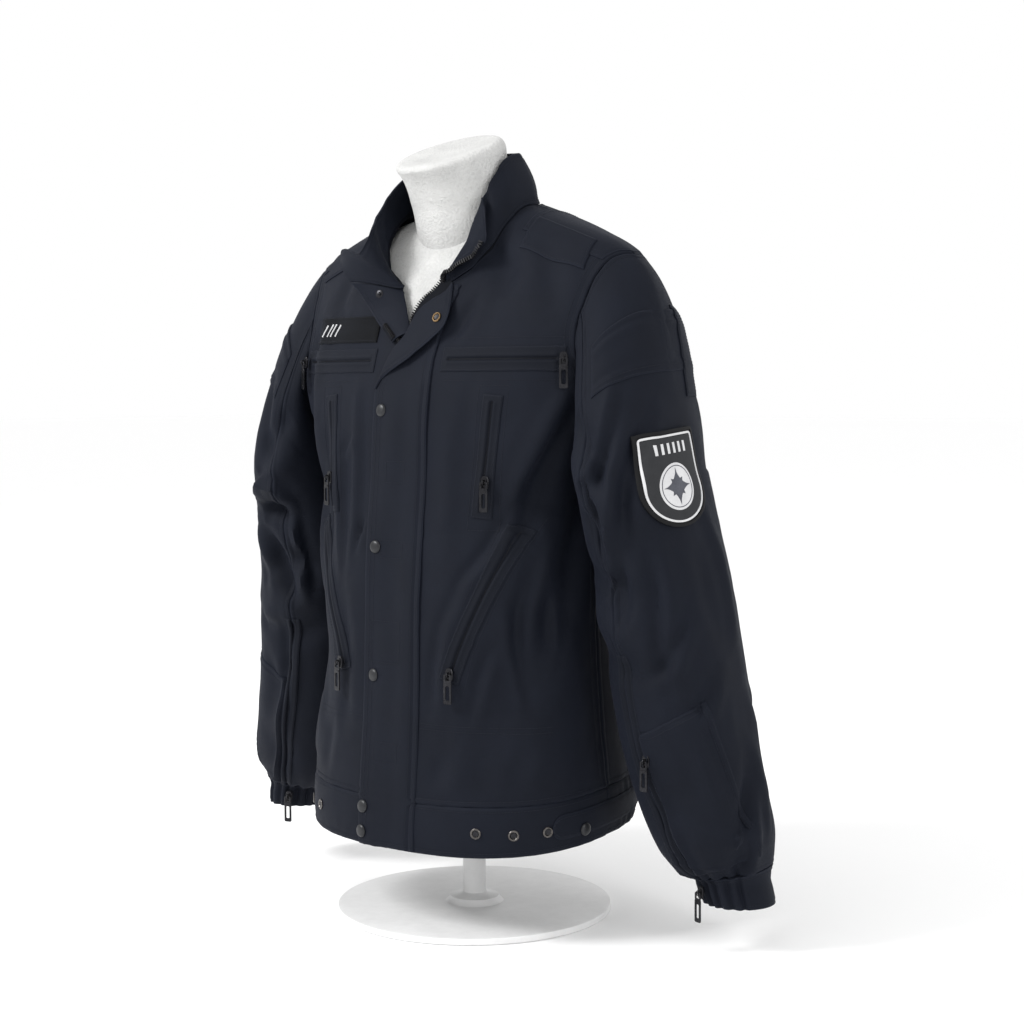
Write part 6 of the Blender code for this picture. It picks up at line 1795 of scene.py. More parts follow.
def build_shoulders():
    edges = [smooth(ARMHOLE["up"], ARMHOLE["round"], rise / 90.0) - YOKE_MARGIN for rise, _ in YOKE_RISES]
    yoke = [(YOKE_START, float(edge)) for edge in edges]
    strap = [EPAULETTE_TURNS for _ in EPAULETTE_RISES]
    for side, tag in ((LEFT, "left"), (RIGHT, "right")):
        tree = skin("shell_front_" + tag, "shell_back")
        targets, into = shoulder_targets(yoke, YOKE_RISES, side, 1.6)
        name = "shell_yoke_" + tag
        lay(name, tree, targets, into, LOOK["cloth"], TRIM, None, ["shoulder_panel_" + tag], flat=3)
        sew_edges("body", name, ("bottom", "top", "left"), 0.0020)
        sew_edges("body", name, ("bottom", "top", "left"), 0.0075)
        tree = skin("shell_yoke_" + tag, "shell_front_" + tag)
        targets, into = shoulder_targets(strap, EPAULETTE_RISES, side, 1.0)
        name = "shell_epaulette_" + tag
        lay(name, tree, targets, into, LOOK["cloth"], FLAP_THICKNESS, None, ["epaulette_" + tag],
            dip=0.0009, flat=6)
        sew_edges("body", name, ("bottom", "top", "right", "left"), 0.0030)


def build_sleeve_pieces():
    for side, tag in ((LEFT, "left"), (RIGHT, "right")):
        tree = sleeve_tree(tag)
        angles = np.linspace(-75.0, 90.0, 80)
        rows = np.interp(marks(0.04, 0.003) / 0.04, (0, 1), (BAND_ROWS[0], BAND_ROWS[-1]))
        angle, row = np.meshgrid(angles, rows)
        name = "shell_sleeve_band_" + tag
        sleeve_lay(name, tree, angle, row, side, LOOK["cloth"], replaces=["sleeve_band_" + tag])
        sew_edges("sleeves", name, ("bottom", "top"), 0.0022)
        sew_edges("sleeves", name, ("top",), 0.0070)
        down, across = np.meshgrid(marks(0.16, 0.0040) / 0.16, marks(0.10, 0.0040) / 0.10, indexing="ij")
        rear = PANEL_REAR[0] + (PANEL_REAR[1] - PANEL_REAR[0]) * down
        angle = 102.5 + (rear - 102.5) * across
        top = PANEL_TOP[1] + (PANEL_TOP[0] - PANEL_TOP[1]) * across
        name = "shell_forearm_" + tag
        sleeve_lay(name, tree, angle, top + (PANEL_END - top) * down, side, LOOK["cloth"],
                   replaces=["forearm_panel_" + tag])
        sew_edges("sleeves", name, ("bottom", "right"), 0.0020)
        sew_edges("sleeves", name, ("bottom", "right"), 0.0075)
        tree = skin("shell_sleeve_top_" + tag, "shell_sleeve_band_" + tag)
        angle, row = np.meshgrid(np.linspace(-42.0, -18.0, 16), np.linspace(-0.70, -0.34, 30))
        name = "shell_sleeve_tab_" + tag
        sleeve_lay(name, tree, angle, row, side, LOOK["trim"], FLAP_THICKNESS, None, ["sleeve_tab_" + tag],
                   8)
        sew_edges("sleeves", name, ("left", "right", "top"), 0.0028)
        build_sleeve_zip(side, tag)


def build_sleeve_zip(side, tag):
    """Zip along the front seam of the forearm."""
    tree = skin("shell_sleeve_top_" + tag, "shell_sleeve_under_" + tag, "shell_forearm_" + tag)
    rows = np.linspace(SLEEVE_ZIP_ROWS[0], SLEEVE_ZIP_ROWS[1], 64)
    across = np.concatenate([-np.array(WELT_MARKS)[::-1], np.array(WELT_MARKS)[1:]]) * SLEEVE_ZIP_HALF
    angle = np.broadcast_to(SLEEVE_ZIP_TURN - np.degrees(across / 0.062), (len(rows), len(across)))
    row = np.broadcast_to(rows[:, None], angle.shape)
    spots = (rows - rows[0]) / (rows[-1] - rows[0]) * 0.21
    relief = slit(np.broadcast_to(across, angle.shape), spots, 0.004)
    name = "zip_forearm_" + tag
    sleeve_lay(name, tree, angle, row, side, LOOK["trim"], 0.0009, relief, (), 6)
    sew_edges("sleeves", name, ("left", "right", "bottom"), 0.0015, 0.001)
    points, normals = PATCH[name]
    middle = points.shape[1] // 2
    line, ways = cut_line(points[:, middle], normals[:, middle], 0.005, 0.004)
    places, along, out = along_line(line, ways, 0.00125)
    TEETH.append(blocks(places, along, out, 0.00062, 0.0011, 0.00055))


def build_waist_tabs():
    for side, tag in ((LEFT, "left"), (RIGHT, "right")):
        tree = skin("shell_waistband_" + tag, "shell_waistband_back")
        front = by_length(lambda t: torso_low(t, 0.0, FRONT), TAB_TURNS[FRONT][0], 90.0, 0.004, True, False)
        back = by_length(lambda t: torso_low(t, 0.0, BACK), TAB_TURNS[BACK][-1], 89.0, 0.004, True,
                         False)[::-1]
        shares = marks(2.0, 0.3, False, False) - 1.0
        spots = []
        for turn, face in [(t, FRONT) for t in front] + [(t, BACK) for t in back]:
            reach = float(np.linalg.norm(torso_low(turn, 0.0, face)
                                         - torso_low(front[0], 0.0, FRONT))) if face == FRONT else 1.0
            half = TAB_HALF * math.sqrt(max(0.02, 1 - max(0.0, 1 - reach / TAB_HALF) ** 2))
            spots.append(torso_low(turn, shares * half - 0.002, face))
        targets = np.array(spots).transpose(1, 0, 2)
        normals = outward(targets, grid_normals(targets))
        flip = np.array([side, 1, 1])
        name = "shell_waist_tab_" + tag
        lay(name, tree, targets * flip, -normals * flip, LOOK["cloth"], 0.0018, None, ["waist_tab_" + tag],
            dip=0.0009, flat=6)
        sew_edges("body", name, ("bottom", "top"), 0.0035)


# Hard pieces


def stack(loops, closed=False):
    """Points and triangles of rings joined in order, with flat caps unless the stack closes on itself."""
    loops = [np.asarray(loop, float) for loop in loops]
    count = len(loops[0])
    points = list(np.concatenate(loops))
    faces = []
    pairs = list(zip(range(len(loops) - 1), range(1, len(loops)))) + ([(len(loops) - 1, 0)] if closed else [])
    for first, second in pairs:
        for k in range(count):
            a, b = first * count + k, first * count + (k + 1) % count
            c, d = second * count + (k + 1) % count, second * count + k
            faces += [(a, b, c), (a, c, d)]
    if not closed:
        for ring, turn in ((0, 1), (len(loops) - 1, 0)):
            middle = len(points)
            points.append(loops[ring].mean(axis=0))
            for k in range(count):
                a, b = ring * count + k, ring * count + (k + 1) % count
                faces.append((middle, b, a) if turn else (middle, a, b))
    return np.array(points), np.array(faces)


def merged(*parts):
    """Several closed shapes as one list of points and triangles, each turned outward."""
    points, faces, start = [], [], 0
    for spots, triangles in parts:
        a, b, c = (spots[triangles[:, k]] for k in range(3))
        if np.sum(a * np.cross(b, c)) < 0:
            triangles = triangles[:, ::-1]
        points.append(spots)
        faces.append(triangles + start)
        start += len(spots)
    return np.concatenate(points), np.concatenate(faces)


def rounded(low, high, radius, corner=5):
    """Closed outline of a rectangle with round corners, as x and z."""
    spots = []
    for k, (x, z) in enumerate(((high[0], high[1]), (low[0], high[1]), (low[0], low[1]), (high[0], low[1]))):
        cx = x - radius if x == high[0] else x + radius
        cz = z - radius if z == high[1] else z + radius
        for turn in np.linspace(0, 90, corner) + 90 * k:
            spots.append((cx + radius * math.cos(math.radians(turn)),
                          cz + radius * math.sin(math.radians(turn))))
    return np.array(spots)


def inset_loop(loop, amount):
    """Closed outline moved inward."""
    ahead = unit(np.roll(loop, -1, axis=0) - np.roll(loop, 1, axis=0))
    return loop + np.stack([-ahead[:, 1], ahead[:, 0]], axis=-1) * amount


def slab(outer, low, high, bevel, inner=None):
    """Plate with bevelled edges between two depths, with an optional hole."""
    def at(loop, depth):
        return np.stack([loop[:, 0], np.full(len(loop), depth), loop[:, 1]], axis=-1)
    rings = [at(inset_loop(outer, bevel), low), at(outer, low + bevel), at(outer, high - bevel),
             at(inset_loop(outer, bevel), high)]
    if inner is None:
        return stack(rings)
    wide = inset_loop(inner, -bevel)
    rings += [at(wide, high), at(inner, high - bevel), at(inner, low + bevel), at(wide, low)]
    return stack(rings, closed=True)


def headings(line, closed):
    """Directions along a line."""
    if closed:
        return unit(np.roll(line, -1, axis=0) - np.roll(line, 1, axis=0))
    return unit(np.gradient(line, axis=0))


def tube(path, radius, sides=8, closed=True):
    """Round bar along a path."""
    path = np.asarray(path, float)
    ahead = headings(path, closed)
    aside = unit(np.cross(ahead, np.array([0.9, 0.3, 0.1])))
    other = np.cross(ahead, aside)
    turns = np.arange(sides) * 2 * np.pi / sides
    rings = [p + radius * (np.cos(turns)[:, None] * a + np.sin(turns)[:, None] * b)
             for p, a, b in zip(path, aside, other)]
    return stack(rings, closed)


def lathe(profile, sides=28):
    """Turned shape from radius and height, its axis along Y."""
    turns = np.arange(sides) * 2 * np.pi / sides
    return stack([np.stack([r * np.cos(turns), np.full(sides, y), r * np.sin(turns)], axis=-1)
                  for r, y in profile])


def in_frame(shape, origin, out, up=(0.0, 0.0, 1.0)):
    """Shape with X across, Y outward and Z up put at a place, facing an outward direction."""
    points, faces = shape
    out = unit(np.asarray(out, float))
    across = unit(np.cross(out, np.asarray(up, float)))
    rise = np.cross(across, out)
    across = -across
    return origin + points[:, :1] * across + points[:, 1:2] * out + points[:, 2:] * rise, faces


def hard(name, shape, look, replaces=(), body=None, angle=32.0):
    made = mesh_object(name, shape[0], shape[1], look, angle=angle)
    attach(made, body or BODY)
    if replaces:
        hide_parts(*replaces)
    return made


def slider_detail():
    nose = np.array([(0.0042, 0.0030), (0.0030, 0.0058), (0.0012, 0.0064), (-0.0012, 0.0064),
                     (-0.0030, 0.0058),
                     (-0.0042, 0.0030), (-0.0042, -0.0025), (-0.0034, -0.0060), (-0.0012, -0.0064),
                     (0.0012, -0.0064), (0.0034, -0.0060), (0.0042, -0.0025)])
    plate = slab(nose, 0.0, SLIDER_PLATE, 0.0005)
    turns = np.arange(20) * 2 * np.pi / 20
    reach = LOOP_HOLE / 2 + LOOP_BAR / 2
    ring = np.stack([0 * turns, AXIS_OUT + reach * np.cos(turns), reach * 1.05 * np.sin(turns)], axis=-1)
    crown = slab(rounded((-0.0017, -0.0040), (0.0017, 0.0040), 0.0008), SLIDER_PLATE - 0.0002,
                 SLIDER_PLATE + 0.0009, 0.0003)
    return merged(plate, tube(ring, 0.00068), crown)


def pull_detail():
    eye = slab(rounded((-0.0043, -0.0078), (0.0043, 0.0007), 0.0016), -0.0007, 0.0007, 0.0003,
               rounded((-0.0024, -0.0056), (0.0024, -0.0008), 0.0009))
    tab = slab(rounded((-0.0045, -PULL_LENGTH), (0.0045, -0.0068), 0.0017), -0.0008, 0.0008, 0.0003,
               rounded((-0.0021, -PULL_LENGTH + 0.0042), (0.0021, -0.0115), 0.0012))
    bar = slab(rounded((-0.0036, -0.0098), (0.0036, -0.0084), 0.0005), 0.0006, 0.0013, 0.0002)
    return merged(eye, tab, bar)


CAP_PROFILE = ((0.0062, 0.0), (0.0066, 0.0005), (0.0067, 0.0010), (0.0062, 0.0017), (0.0054, 0.0023),
               (0.0042, 0.0027), (0.0028, 0.00295), (0.0012, 0.0031))
SOCKET_PROFILE = ((0.0050, -0.0002), (0.0056, 0.0003), (0.0056, 0.0009), (0.0049, 0.0015), (0.0040, 0.0015),
                  (0.0034, 0.0009), (0.0030, 0.0002))
POST_PROFILE = ((0.0040, -0.0002), (0.0044, 0.0002), (0.0038, 0.0005), (0.0019, 0.0007), (0.0017, 0.0012),
                (0.0020, 0.0022), (0.0016, 0.0027), (0.0007, 0.0029))


def stud(name, tree, target, into, profile, look, replaces=(), lift=0.0):
    """Press-stud part on a surface, square to it."""
    hit = drop(tree, np.array([target]), into)[0]
    normal = np.array(tree.find_nearest(Vector(hit))[1])
    normal = -normal if np.dot(normal, unit(into)) > 0 else normal
    shape = in_frame(lathe(profile), hit + normal * lift, normal)
    hard(name, shape, look, replaces)
    return hit, normal


def build_studs():
    ahead = AHEAD_WAY
    tree = skin("shell_placket")
    for index, (x, z) in enumerate(CAPS):
        low, high = (np.array(corner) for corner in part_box("snap_cap_%d" % (index + 1)))
        middle = (low + high) / 2 - np.array([0.0, 0.0, HEM_LEVEL])
        name = "cap_front_%d" % (index + 1)
        stud(name, tree, middle, ahead, CAP_PROFILE, LOOK["cap"], ["snap_cap_%d" % (index + 1)])
    for index, (x, z) in enumerate(BAND_CAPS):
        stud("cap_band_%d" % (index + 1), tree, (x, -AHEAD, z), ahead, CAP_PROFILE, LOOK["cap"])
    tree = skin("shell_waistband_left", "shell_waistband_right")
    for side, tag in ((LEFT, "left"), (RIGHT, "right")):
        for index, (x, z) in enumerate(BAND_SOCKETS):
            name = "socket_%s_%d" % (tag, index + 1)
            x = x + (RIGHT_SOCKETS_OUT if side == RIGHT else 0.0)
            hit, normal = stud(name, tree, (side * x, -AHEAD, z), ahead, SOCKET_PROFILE, LOOK["silver"])
            # A thin dark metal disc sits in the socket's middle: painted shade standing in for the dark hole
            # there.
            dark = lathe(((0.0032, -0.0002), (0.0030, 0.0004), (0.0006, 0.0003)))
            hard(name + "_well", in_frame(dark, hit, normal), LOOK["metal"])
        tab = skin("shell_waist_tab_" + tag)
        x, y, z = TAB_CAP
        stud("cap_tab_" + tag, tab, (side * x, y, z), (-side * 0.8, 0.6, 0.0), CAP_PROFILE, LOOK["cap"])
    tree = skin("shell_facing")
    stud("socket_collar", tree, FACING_SOCKET, ahead, SOCKET_PROFILE, LOOK["brass"])
    # The dark disc in the brass socket's middle is painted shade standing in for its hole.
    hit, normal = stud("socket_collar_well", tree, FACING_SOCKET, ahead,
                       ((0.0033, -0.0002), (0.0030, 0.0005), (0.0008, 0.0004)), LOOK["metal"])
    tree = skin("shell_lapel_right")
    stud("post_collar", tree, LAPEL_POST, ahead, POST_PROFILE, LOOK["metal"])


def build_hardware():
    slider, pull = slider_detail(), pull_detail()
    for joint in frame["joints"]:
        body = joint["child"]
        tag = body[len("pull_"):]
        axis = joint["axis"]
        out = np.array([-axis[1], axis[0], 0.0])
        pivot = np.array(joint["pos_m"]) - np.array([0.0, 0.0, HEM_LEVEL])
        hard("slider_detail_" + tag, in_frame(slider, pivot - unit(out) * AXIS_OUT, out), LOOK["metal"],
             ["slider_" + tag])
        hard("pull_detail_" + tag, in_frame(pull, pivot, out), LOOK["metal"], ["pull_" + tag],
             body)


def build_front_zip():
    """Zip tape and moulded teeth on the open front edges and the collar's front edge."""
    sets = []
    teeth = curve_of(FRONT_TEETH, 60)
    foot = curve_of({axis: FLAP_FOLD[axis][4:] for axis in "xyz"}, 60)
    foot = foot + unit(foot - teeth) * 0.004 + np.array([0.0, 0.0012, 0.0])
    zip_edge("zip_tape_front_left", foot, teeth,
             np.broadcast_to(unit(np.array([-0.1, -0.92, 0.38])), teeth.shape), sets)
    points, normals = PATCH["shell_collar"]
    inward = unit(points[2] - points[0])
    wing = int(points.shape[1] - WING_COLUMNS)
    foot = points[0, wing:] - normals[0, wing:] * 0.0008
    zip_edge("zip_tape_collar_left", foot, foot - inward[wing:] * 0.0030, normals[0, wing:], sets)
    tree = skin("shell_front_right", "shell_lapel_right")
    x, z = (np.linspace(first, last, 20) for first, last in zip(*RIGHT_TEETH))
    spots = drop(tree, np.stack([x, 0 * x - AHEAD, z], axis=-1), AHEAD_WAY)
    out = np.broadcast_to(unit(np.array([-0.3, -1.0, 0.2])), spots.shape)
    aside = np.broadcast_to(unit(np.array([0.7, 0.0, 0.7])), spots.shape)
    zip_edge("zip_tape_front_right", spots + out * 0.0012, spots + out * 0.0012 + aside * 0.0030, out, sets)
    gather_blocks("zip_front_teeth", sets, LOOK["teeth"])


def zip_edge(name, foot, line, out, sets):
    """Tape from its foot to a line, with a row of teeth on the bead there."""
    span = np.linalg.norm(line - foot, axis=-1, keepdims=True)
    beyond = (line - foot) / span
    grid = [foot - beyond * 0.001, foot + beyond * span * 0.4, foot + beyond * span * 0.8]
    grid += [line + beyond * 0.0004 + out * 0.0005, line + beyond * 0.0010 + out * 0.0002]
    grid = np.array(grid).transpose(1, 0, 2)
    normals = facing(grid, out[:, None, :])
    shell(name, grid, normals, LOOK["dark"], 0.0007, ())
    places, along, ways = along_line(line + beyond * 0.0020, out, TOOTH_PITCH)
    sets.append(blocks(places, along, ways, TOOTH_PITCH * 0.52, 0.0046, 0.0021, sink=0.8))


# Sleeve badge


def badge_half(down, inset=0.0):
    """Half width of the badge at distances below its top edge."""
    reach = np.clip((down - BADGE_STRAIGHT) / (BADGE_HEIGHT - inset - BADGE_STRAIGHT), 0, 1)
    side = np.interp(down, (0, BADGE_STRAIGHT), (0.95, 1.0)) * BADGE_WIDTH / 2 - inset
    return side * np.sqrt(1 - reach**2)


def badge_rows(inset):
    straight = inset + marks(BADGE_STRAIGHT - inset, 0.0026, True, False)
    bend = np.sin(np.radians(np.linspace(0, 88, 20)))[1:]
    return np.concatenate([straight, BADGE_STRAIGHT + (BADGE_HEIGHT - inset - BADGE_STRAIGHT) * bend])


def badge_face():
    """The badge's bed: a fine grid wrapped round the sleeve, evened where the cloth dips."""
    a = np.linspace(-0.55, 0.55, 46) * BADGE_WIDTH
    b = np.linspace(-0.004, BADGE_HEIGHT + 0.004, 48)
    across, down = np.meshgrid(a, b)
    fall = unit(np.array(BADGE_FALL))
    side = unit(np.array(BADGE_SIDE) - fall * np.dot(BADGE_SIDE, fall))
    out = np.cross(fall, side)
    turn = across / BADGE_ROUND
    targets = np.array(BADGE_TOP) + down[..., None] * fall
    targets = targets + BADGE_ROUND * (np.sin(turn)[..., None] * side - (1 - np.cos(turn))[..., None] * out)
    into = -(np.cos(turn)[..., None] * out + np.sin(turn)[..., None] * side)
    hits = drop(skin("shell_sleeve_top_left", "shell_sleeve_under_left"), targets, into)
    bed = np.sum((hits - targets) * into, axis=-1)
    height = bed.copy()
    for _ in range(200):
        spread = height.copy()
        spread[1:-1, 1:-1] = (height[:-2, 1:-1] + height[2:, 1:-1] + height[1:-1, :-2] + height[1:-1, 2:]) / 4
        height = np.minimum(spread, bed)
    hits = hits + into * (height - bed)[..., None]
    return a, b, hits, facing(hits, -into)


def on_badge(face, x, down, lift):
    """Points on the badge from distances across and down, and heights above its bed."""
    a, b, hits, normals = face
    x, down, lift = np.broadcast_arrays(x, down, lift)
    i = np.clip((x - a[0]) / (a[1] - a[0]), 0, len(a) - 1.001)
    j = np.clip((down - b[0]) / (b[1] - b[0]), 0, len(b) - 1.001)
    c, r = i.astype(int), j.astype(int)
    s, t = (i - c)[..., None], (j - r)[..., None]
    made = []
    for grid in (hits, normals):
        low = grid[r, c] * (1 - s) + grid[r, c + 1] * s
        high = grid[r + 1, c] * (1 - s) + grid[r + 1, c + 1] * s
        made.append(low * (1 - t) + high * t)
    return made[0] + unit(made[1]) * lift[..., None], unit(made[1])


def badge_plate(name, face, inset, low, high, look, replaces=()):
    """Plate with the badge's outline drawn in by an amount."""
    down = badge_rows(inset)
    across = np.sin(np.radians(np.linspace(-90, 90, 41)))
    half = np.maximum(badge_half(down, inset), 0.0012)[:, None]
    x = across[None, :] * half
    down = np.broadcast_to(down[:, None], x.shape)
    border = np.minimum(half - np.abs(x), down - inset)
    lift = high - 0.0006 * np.exp(-((border / 0.0007) ** 2))
    outer, normals = on_badge(face, x, down, lift)
    return shell(name, outer, normals, look, lift - low, replaces)


def badge_outline(inset, count=200):
    """Closed line at a distance inside the badge's outline, as distances across and down."""
    down = badge_rows(inset)
    half = badge_half(down, inset)
    right = np.stack([half, down], axis=-1)
    loop = np.concatenate([right, (right * np.array([-1.0, 1.0]))[::-1]])
    loop = np.concatenate([loop, loop[:1]])
    reach = reach_of(loop)
    spots = np.arange(count) * reach[-1] / count
    line = np.stack([np.interp(spots, reach, loop[:, k]) for k in (0, 1)], axis=-1)
    for _ in range(3):
        line = (np.roll(line, 1, axis=0) + 2 * line + np.roll(line, -1, axis=0)) / 4
    return line


def badge_ribbon(face, line, width, low, high, closed=True):
    """Raised band along a line on the badge, its width even or given for each point."""
    width = np.broadcast_to(width, (len(line),))[:, None]
    ahead = headings(line, closed)
    square = np.stack([-ahead[:, 1], ahead[:, 0]], axis=-1)
    rings = []
    for side, lift in ((-0.5, low), (-0.5, high - 0.0002), (-0.36, high), (0.36, high),
                       (0.5, high - 0.0002), (0.5, low)):
        spots = line + square * width * side
        points, _ = on_badge(face, spots[:, 0], spots[:, 1], np.full(len(spots), lift))
        rings.append(points)
    rings = [np.array(ring) for ring in zip(*rings)]
    return stack(rings, closed)


def badge_disc(face, radii, centre, low, high):
    """Raised plate with a round or star-shaped outline given by its radius for each turn."""
    turns = np.arange(len(radii)) * 2 * np.pi / len(radii)
    ways = np.stack([np.cos(turns), np.sin(turns)], axis=-1)
    rings = []
    for share, lift in ((1.0, low), (1.0, high - 0.0002), (0.96, high), (0.7, high), (0.4, high),
                        (0.1, high)):
        spots = np.array([0.0, centre]) + ways * radii[:, None] * share
        rings.append(on_badge(face, spots[:, 0], spots[:, 1], np.full(len(spots), lift))[0])
    return stack(rings)


def straight(first, last, count=16):
    share = np.linspace(0, 1, count)[:, None]
    return np.array(first) * (1 - share) + np.array(last) * share


def build_badge():
    face = badge_face()
    base = 0.0019
    badge_plate("badge_base", face, 0.0, 0.0, base, LOOK["rubber"], ["sleeve_badge"])
    badge_plate("badge_field", face, 0.0062, 0.0010, base + 0.0003, LOOK["grey"])
    rim = badge_ribbon(face, badge_outline(0.0016), 0.0030, 0.0004, base + 0.0009)
    hard("badge_rim", merged(rim), LOOK["rubber"])
    turns = np.arange(96) * 2 * np.pi / 96
    pale = [badge_ribbon(face, badge_outline(0.0054), 0.0021, 0.0008, base + 0.0008)]
    pale.append(badge_disc(face, np.full(96, BADGE_DISC), BADGE_CENTRE, 0.0010, base + 0.0006))
    for k in range(BADGE_BARS):
        x = (k - (BADGE_BARS - 1) / 2) * BADGE_BAR_PITCH
        pale.append(badge_ribbon(face, straight((x, BADGE_BAR_TOP), (x, BADGE_BAR_TOP + BADGE_BAR_LENGTH)),
                                 0.0034, 0.0008, base + 0.0007, False))
    hard("badge_lines", merged(*pale), LOOK["white"])
    star = BADGE_DISC * 0.80 / (np.abs(np.cos(turns)) ** 0.62 + np.abs(np.sin(turns)) ** 0.62) ** (1 / 0.62)
    small = BADGE_DISC * 0.52 / (np.abs(np.cos(turns + np.pi / 4)) ** 0.8
                                 + np.abs(np.sin(turns + np.pi / 4)) ** 0.8) ** (1 / 0.8)
    marks_made = [badge_disc(face, np.maximum(star, small), BADGE_CENTRE, 0.0012, base + 0.0009)]
    ring = np.array([0.0, BADGE_CENTRE]) + BADGE_DISC * 0.88 * np.stack([np.cos(turns), np.sin(turns)],
                                                                        axis=-1)
    marks_made.append(badge_ribbon(face, ring, 0.0009, 0.0012, base + 0.0008))
    hard("badge_star", merged(*marks_made), LOOK["ink"])


# Bust form, stand and studio


def build_form():
    front = np.linspace(-90.0, 90.0, 73)
    back = front[::-1][1:-1]
    rings = []
    for z in np.concatenate([[0.0505, 0.052], np.linspace(0.056, CHEST - 0.004, 26)]):
        low = np.concatenate([form_low(front, z, FRONT), form_low(back, z, BACK)])
        share = np.interp(z, (0.0505, 0.052, 0.056), (0.975, 0.992, 1.0))
        rings.append(low * np.array([share, share, 1.0]))
    for rise in np.concatenate([np.linspace(2.0, 84.0, 24), [86.5, 88.5, 89.6]]):
        rings.append(np.concatenate([form_high(front, rise, FRONT), form_high(back, rise, BACK)]))
    body = stack(rings)
    turns = np.arange(96) * 2 * math.pi / 96
    top = NECK_RINGS["height"][-1]
    round_turn = np.radians(np.linspace(10, 84, 7))
    heights = np.concatenate([np.linspace(NECK_RINGS["height"][0], NECK_RINGS["height"][-1] - NECK_ROUND, 26),
                              top - NECK_ROUND * (1 - np.sin(round_turn))])
    rings = []
    for height, shrink in zip(heights, [0.0] * 26 + list(NECK_ROUND * (1 - np.cos(round_turn)))):
        y = float(smooth(NECK_RINGS["height"], NECK_RINGS["y"], height))
        radius = float(smooth(NECK_RINGS["height"], NECK_RINGS["radius"], height)) - shrink
        ring = np.stack([radius * np.sin(turns), y - radius * np.cos(turns), np.full(96, height)], axis=-1)
        slant = NECK_SLANT * max(0.0, (height - NECK_BEND) / (NECK_RINGS["height"][-1] - NECK_BEND))
        ring[:, 2] += (ring[:, 1] - y) * slant
        rings.append(ring)
    last = rings[-1]
    middle = last.mean(axis=0)
    for share, sink in ((0.8, 0.0004), (0.5, 0.0012), (0.2, 0.0016)):
        rings.append(middle + (last - middle) * share - np.array([0.0, 0.0, sink]))
    hard("form_cover", merged(body, stack(rings)), LOOK["form"], ["form_torso"], angle=60.0)
    floor = -HEM_LEVEL
    top = FORM["height"][0]
    profile = ((BASE_RADIUS - 0.002, floor), (BASE_RADIUS, floor + 0.0015),
               (BASE_RADIUS, floor + BASE_HEIGHT - 0.002),
               (BASE_RADIUS - 0.0006, floor + BASE_HEIGHT - 0.0006),
               (BASE_RADIUS - 0.002, floor + BASE_HEIGHT),
               (0.032, floor + BASE_HEIGHT), (0.029, floor + BASE_HEIGHT + 0.002),
               (0.027, floor + BASE_HEIGHT + 0.006),
               (0.016, floor + BASE_HEIGHT + 0.008), (POLE_RADIUS, floor + BASE_HEIGHT + 0.010),
               (POLE_RADIUS, top - 0.012),
               (0.020, top - 0.010), (0.020, top - 0.001), (POLE_RADIUS, top - 0.0004))
    turns = np.arange(96) * 2 * math.pi / 96
    rings = [np.stack([r * np.cos(turns), r * np.sin(turns), np.full(96, z)], axis=-1) for r, z in profile]
    hard("stand_detail", merged(stack(rings)), LOOK["stand"], ["form_stand"])


def aim(thing, place, target):
    thing.location = Vector(place)
    thing.rotation_mode = "QUATERNION"
    thing.rotation_quaternion = (Vector(target) - Vector(place)).to_track_quat("-Z", "Y")


def area_light(name, place, target, size, power, colour=(1.0, 1.0, 1.0)):
    lamp = bpy.data.lights.new(name, "AREA")
    lamp.shape = "RECTANGLE"
    lamp.size, lamp.size_y = size
    lamp.energy = power
    lamp.color = colour
    made = bpy.data.objects.new(name, lamp)
    bpy.context.collection.objects.link(made)
    aim(made, place, target)


def build_studio():
    scene = bpy.context.scene
    world = bpy.data.worlds.new("studio")
    scene.world = world
    world.use_nodes = True
    background = world.node_tree.nodes["Background"]
    background.inputs["Color"].default_value = (1.0, 1.0, 1.0, 1.0)
    background.inputs["Strength"].default_value = WORLD_LIGHT
    size = 30.0
    mesh = bpy.data.meshes.new("studio_floor")
    count = 12
    spots = np.linspace(-size, size, count + 1)
    grid = [(float(x), float(y), 0.0) for y in spots for x in spots]
    quads = [(r * (count + 1) + c, r * (count + 1) + c + 1, (r + 1) * (count + 1) + c + 1,
              (r + 1) * (count + 1) + c)
             for r in range(count) for c in range(count)]
    mesh.from_pydata(grid, [], quads)
    mesh.materials.append(LOOK["floor"])
    floor = bpy.data.objects.new("studio_floor", mesh)
    bpy.context.collection.objects.link(floor)
    floor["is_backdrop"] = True
    for name, place, target, extent, power in LIGHTS:
        area_light(name, place, target, extent, power)
    scene.view_settings.view_transform = "Standard"


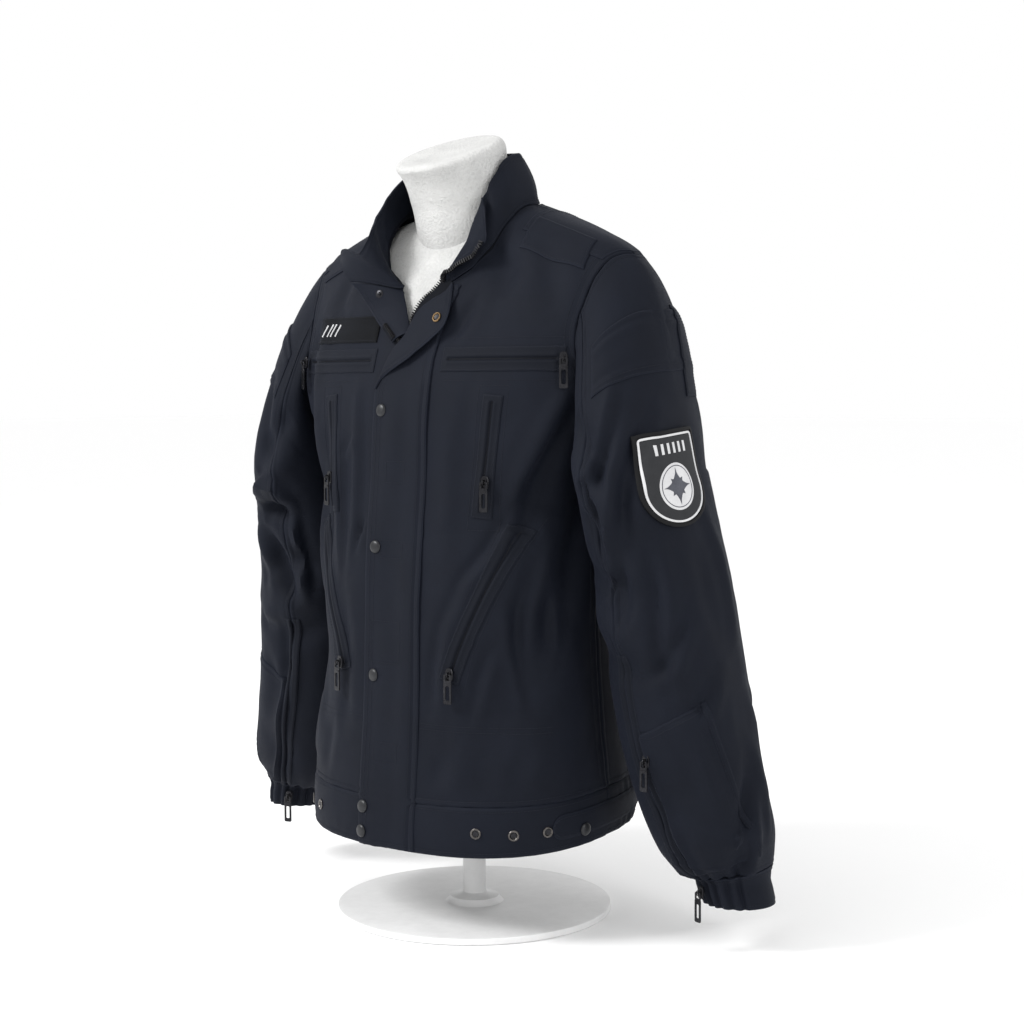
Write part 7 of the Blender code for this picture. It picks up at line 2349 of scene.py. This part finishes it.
def build_camera():
    turn, pitch, roll = (math.radians(CAMERA[key]) for key in ("turn", "pitch", "roll"))
    right = np.array([math.cos(turn), math.sin(turn), 0.0])
    level = np.array([math.sin(turn), -math.cos(turn), 0.0])
    up = np.array([0.0, 0.0, 1.0])
    back = level * math.cos(pitch) + up * math.sin(pitch)
    lift = -level * math.sin(pitch) + up * math.cos(pitch)
    place = right * CAMERA["aside"] + up * (CAMERA["height"] + HEM_LEVEL) + level * CAMERA["distance"]
    across = right * math.cos(roll) + lift * math.sin(roll)
    lift = -right * math.sin(roll) + lift * math.cos(roll)
    lens = bpy.data.cameras.new("photo_camera")
    lens.sensor_width = 36.0
    lens.lens = 36.0 * CAMERA["focal"]
    lens.clip_start, lens.clip_end = 0.05, 50.0
    made = bpy.data.objects.new("photo_camera", lens)
    bpy.context.collection.objects.link(made)
    made.matrix_world = Matrix([[across[k], lift[k], back[k], place[k]] for k in range(3)] + [[0, 0, 0, 1]])
    bpy.context.scene.camera = made


def declare_cloth():
    """Cut sizes of the cloth pieces: width and length in metres, and the area of the cut. They are worked out
    here and not kept.
    """
    for stem, held, under in HELD:
        for tag in ("left", "right") if stem.endswith("_") else ("",):
            name = stem + tag
            points = PATCH[name][0]
            across, along = distances(points)
            first, second = points[1:, 1:] - points[:-1, :-1], points[1:, :-1] - points[:-1, 1:]
            area = float(np.linalg.norm(np.cross(first, second), axis=-1).sum()) / 2
            length = float(along[-1].max())
            width = min(float(across[:, -1].max()), area / (0.4 * length))
            flat = (max(0.01, math.ceil(width * 1000) / 1000), math.ceil(length * 1000) / 1000)
            area = min(area, flat[0] * flat[1])


def main():
    build_camera()
    build_torso()
    build_band()
    build_lapel()
    build_collar()
    build_sleeves()
    build_cuffs()
    build_laid()
    build_flap()
    build_shoulders()
    build_sleeve_pieces()
    build_waist_tabs()
    build_seam_backs()
    build_badge()
    build_studs()
    build_hardware()
    build_front_zip()
    gather_blocks("zip_pocket_teeth", TEETH, LOOK["teeth"])
    for group, sets in SEWN.items():
        gather_blocks("stitches_" + group, sets, LOOK["thread"])
    build_form()
    build_studio()
    declare_cloth()


main()
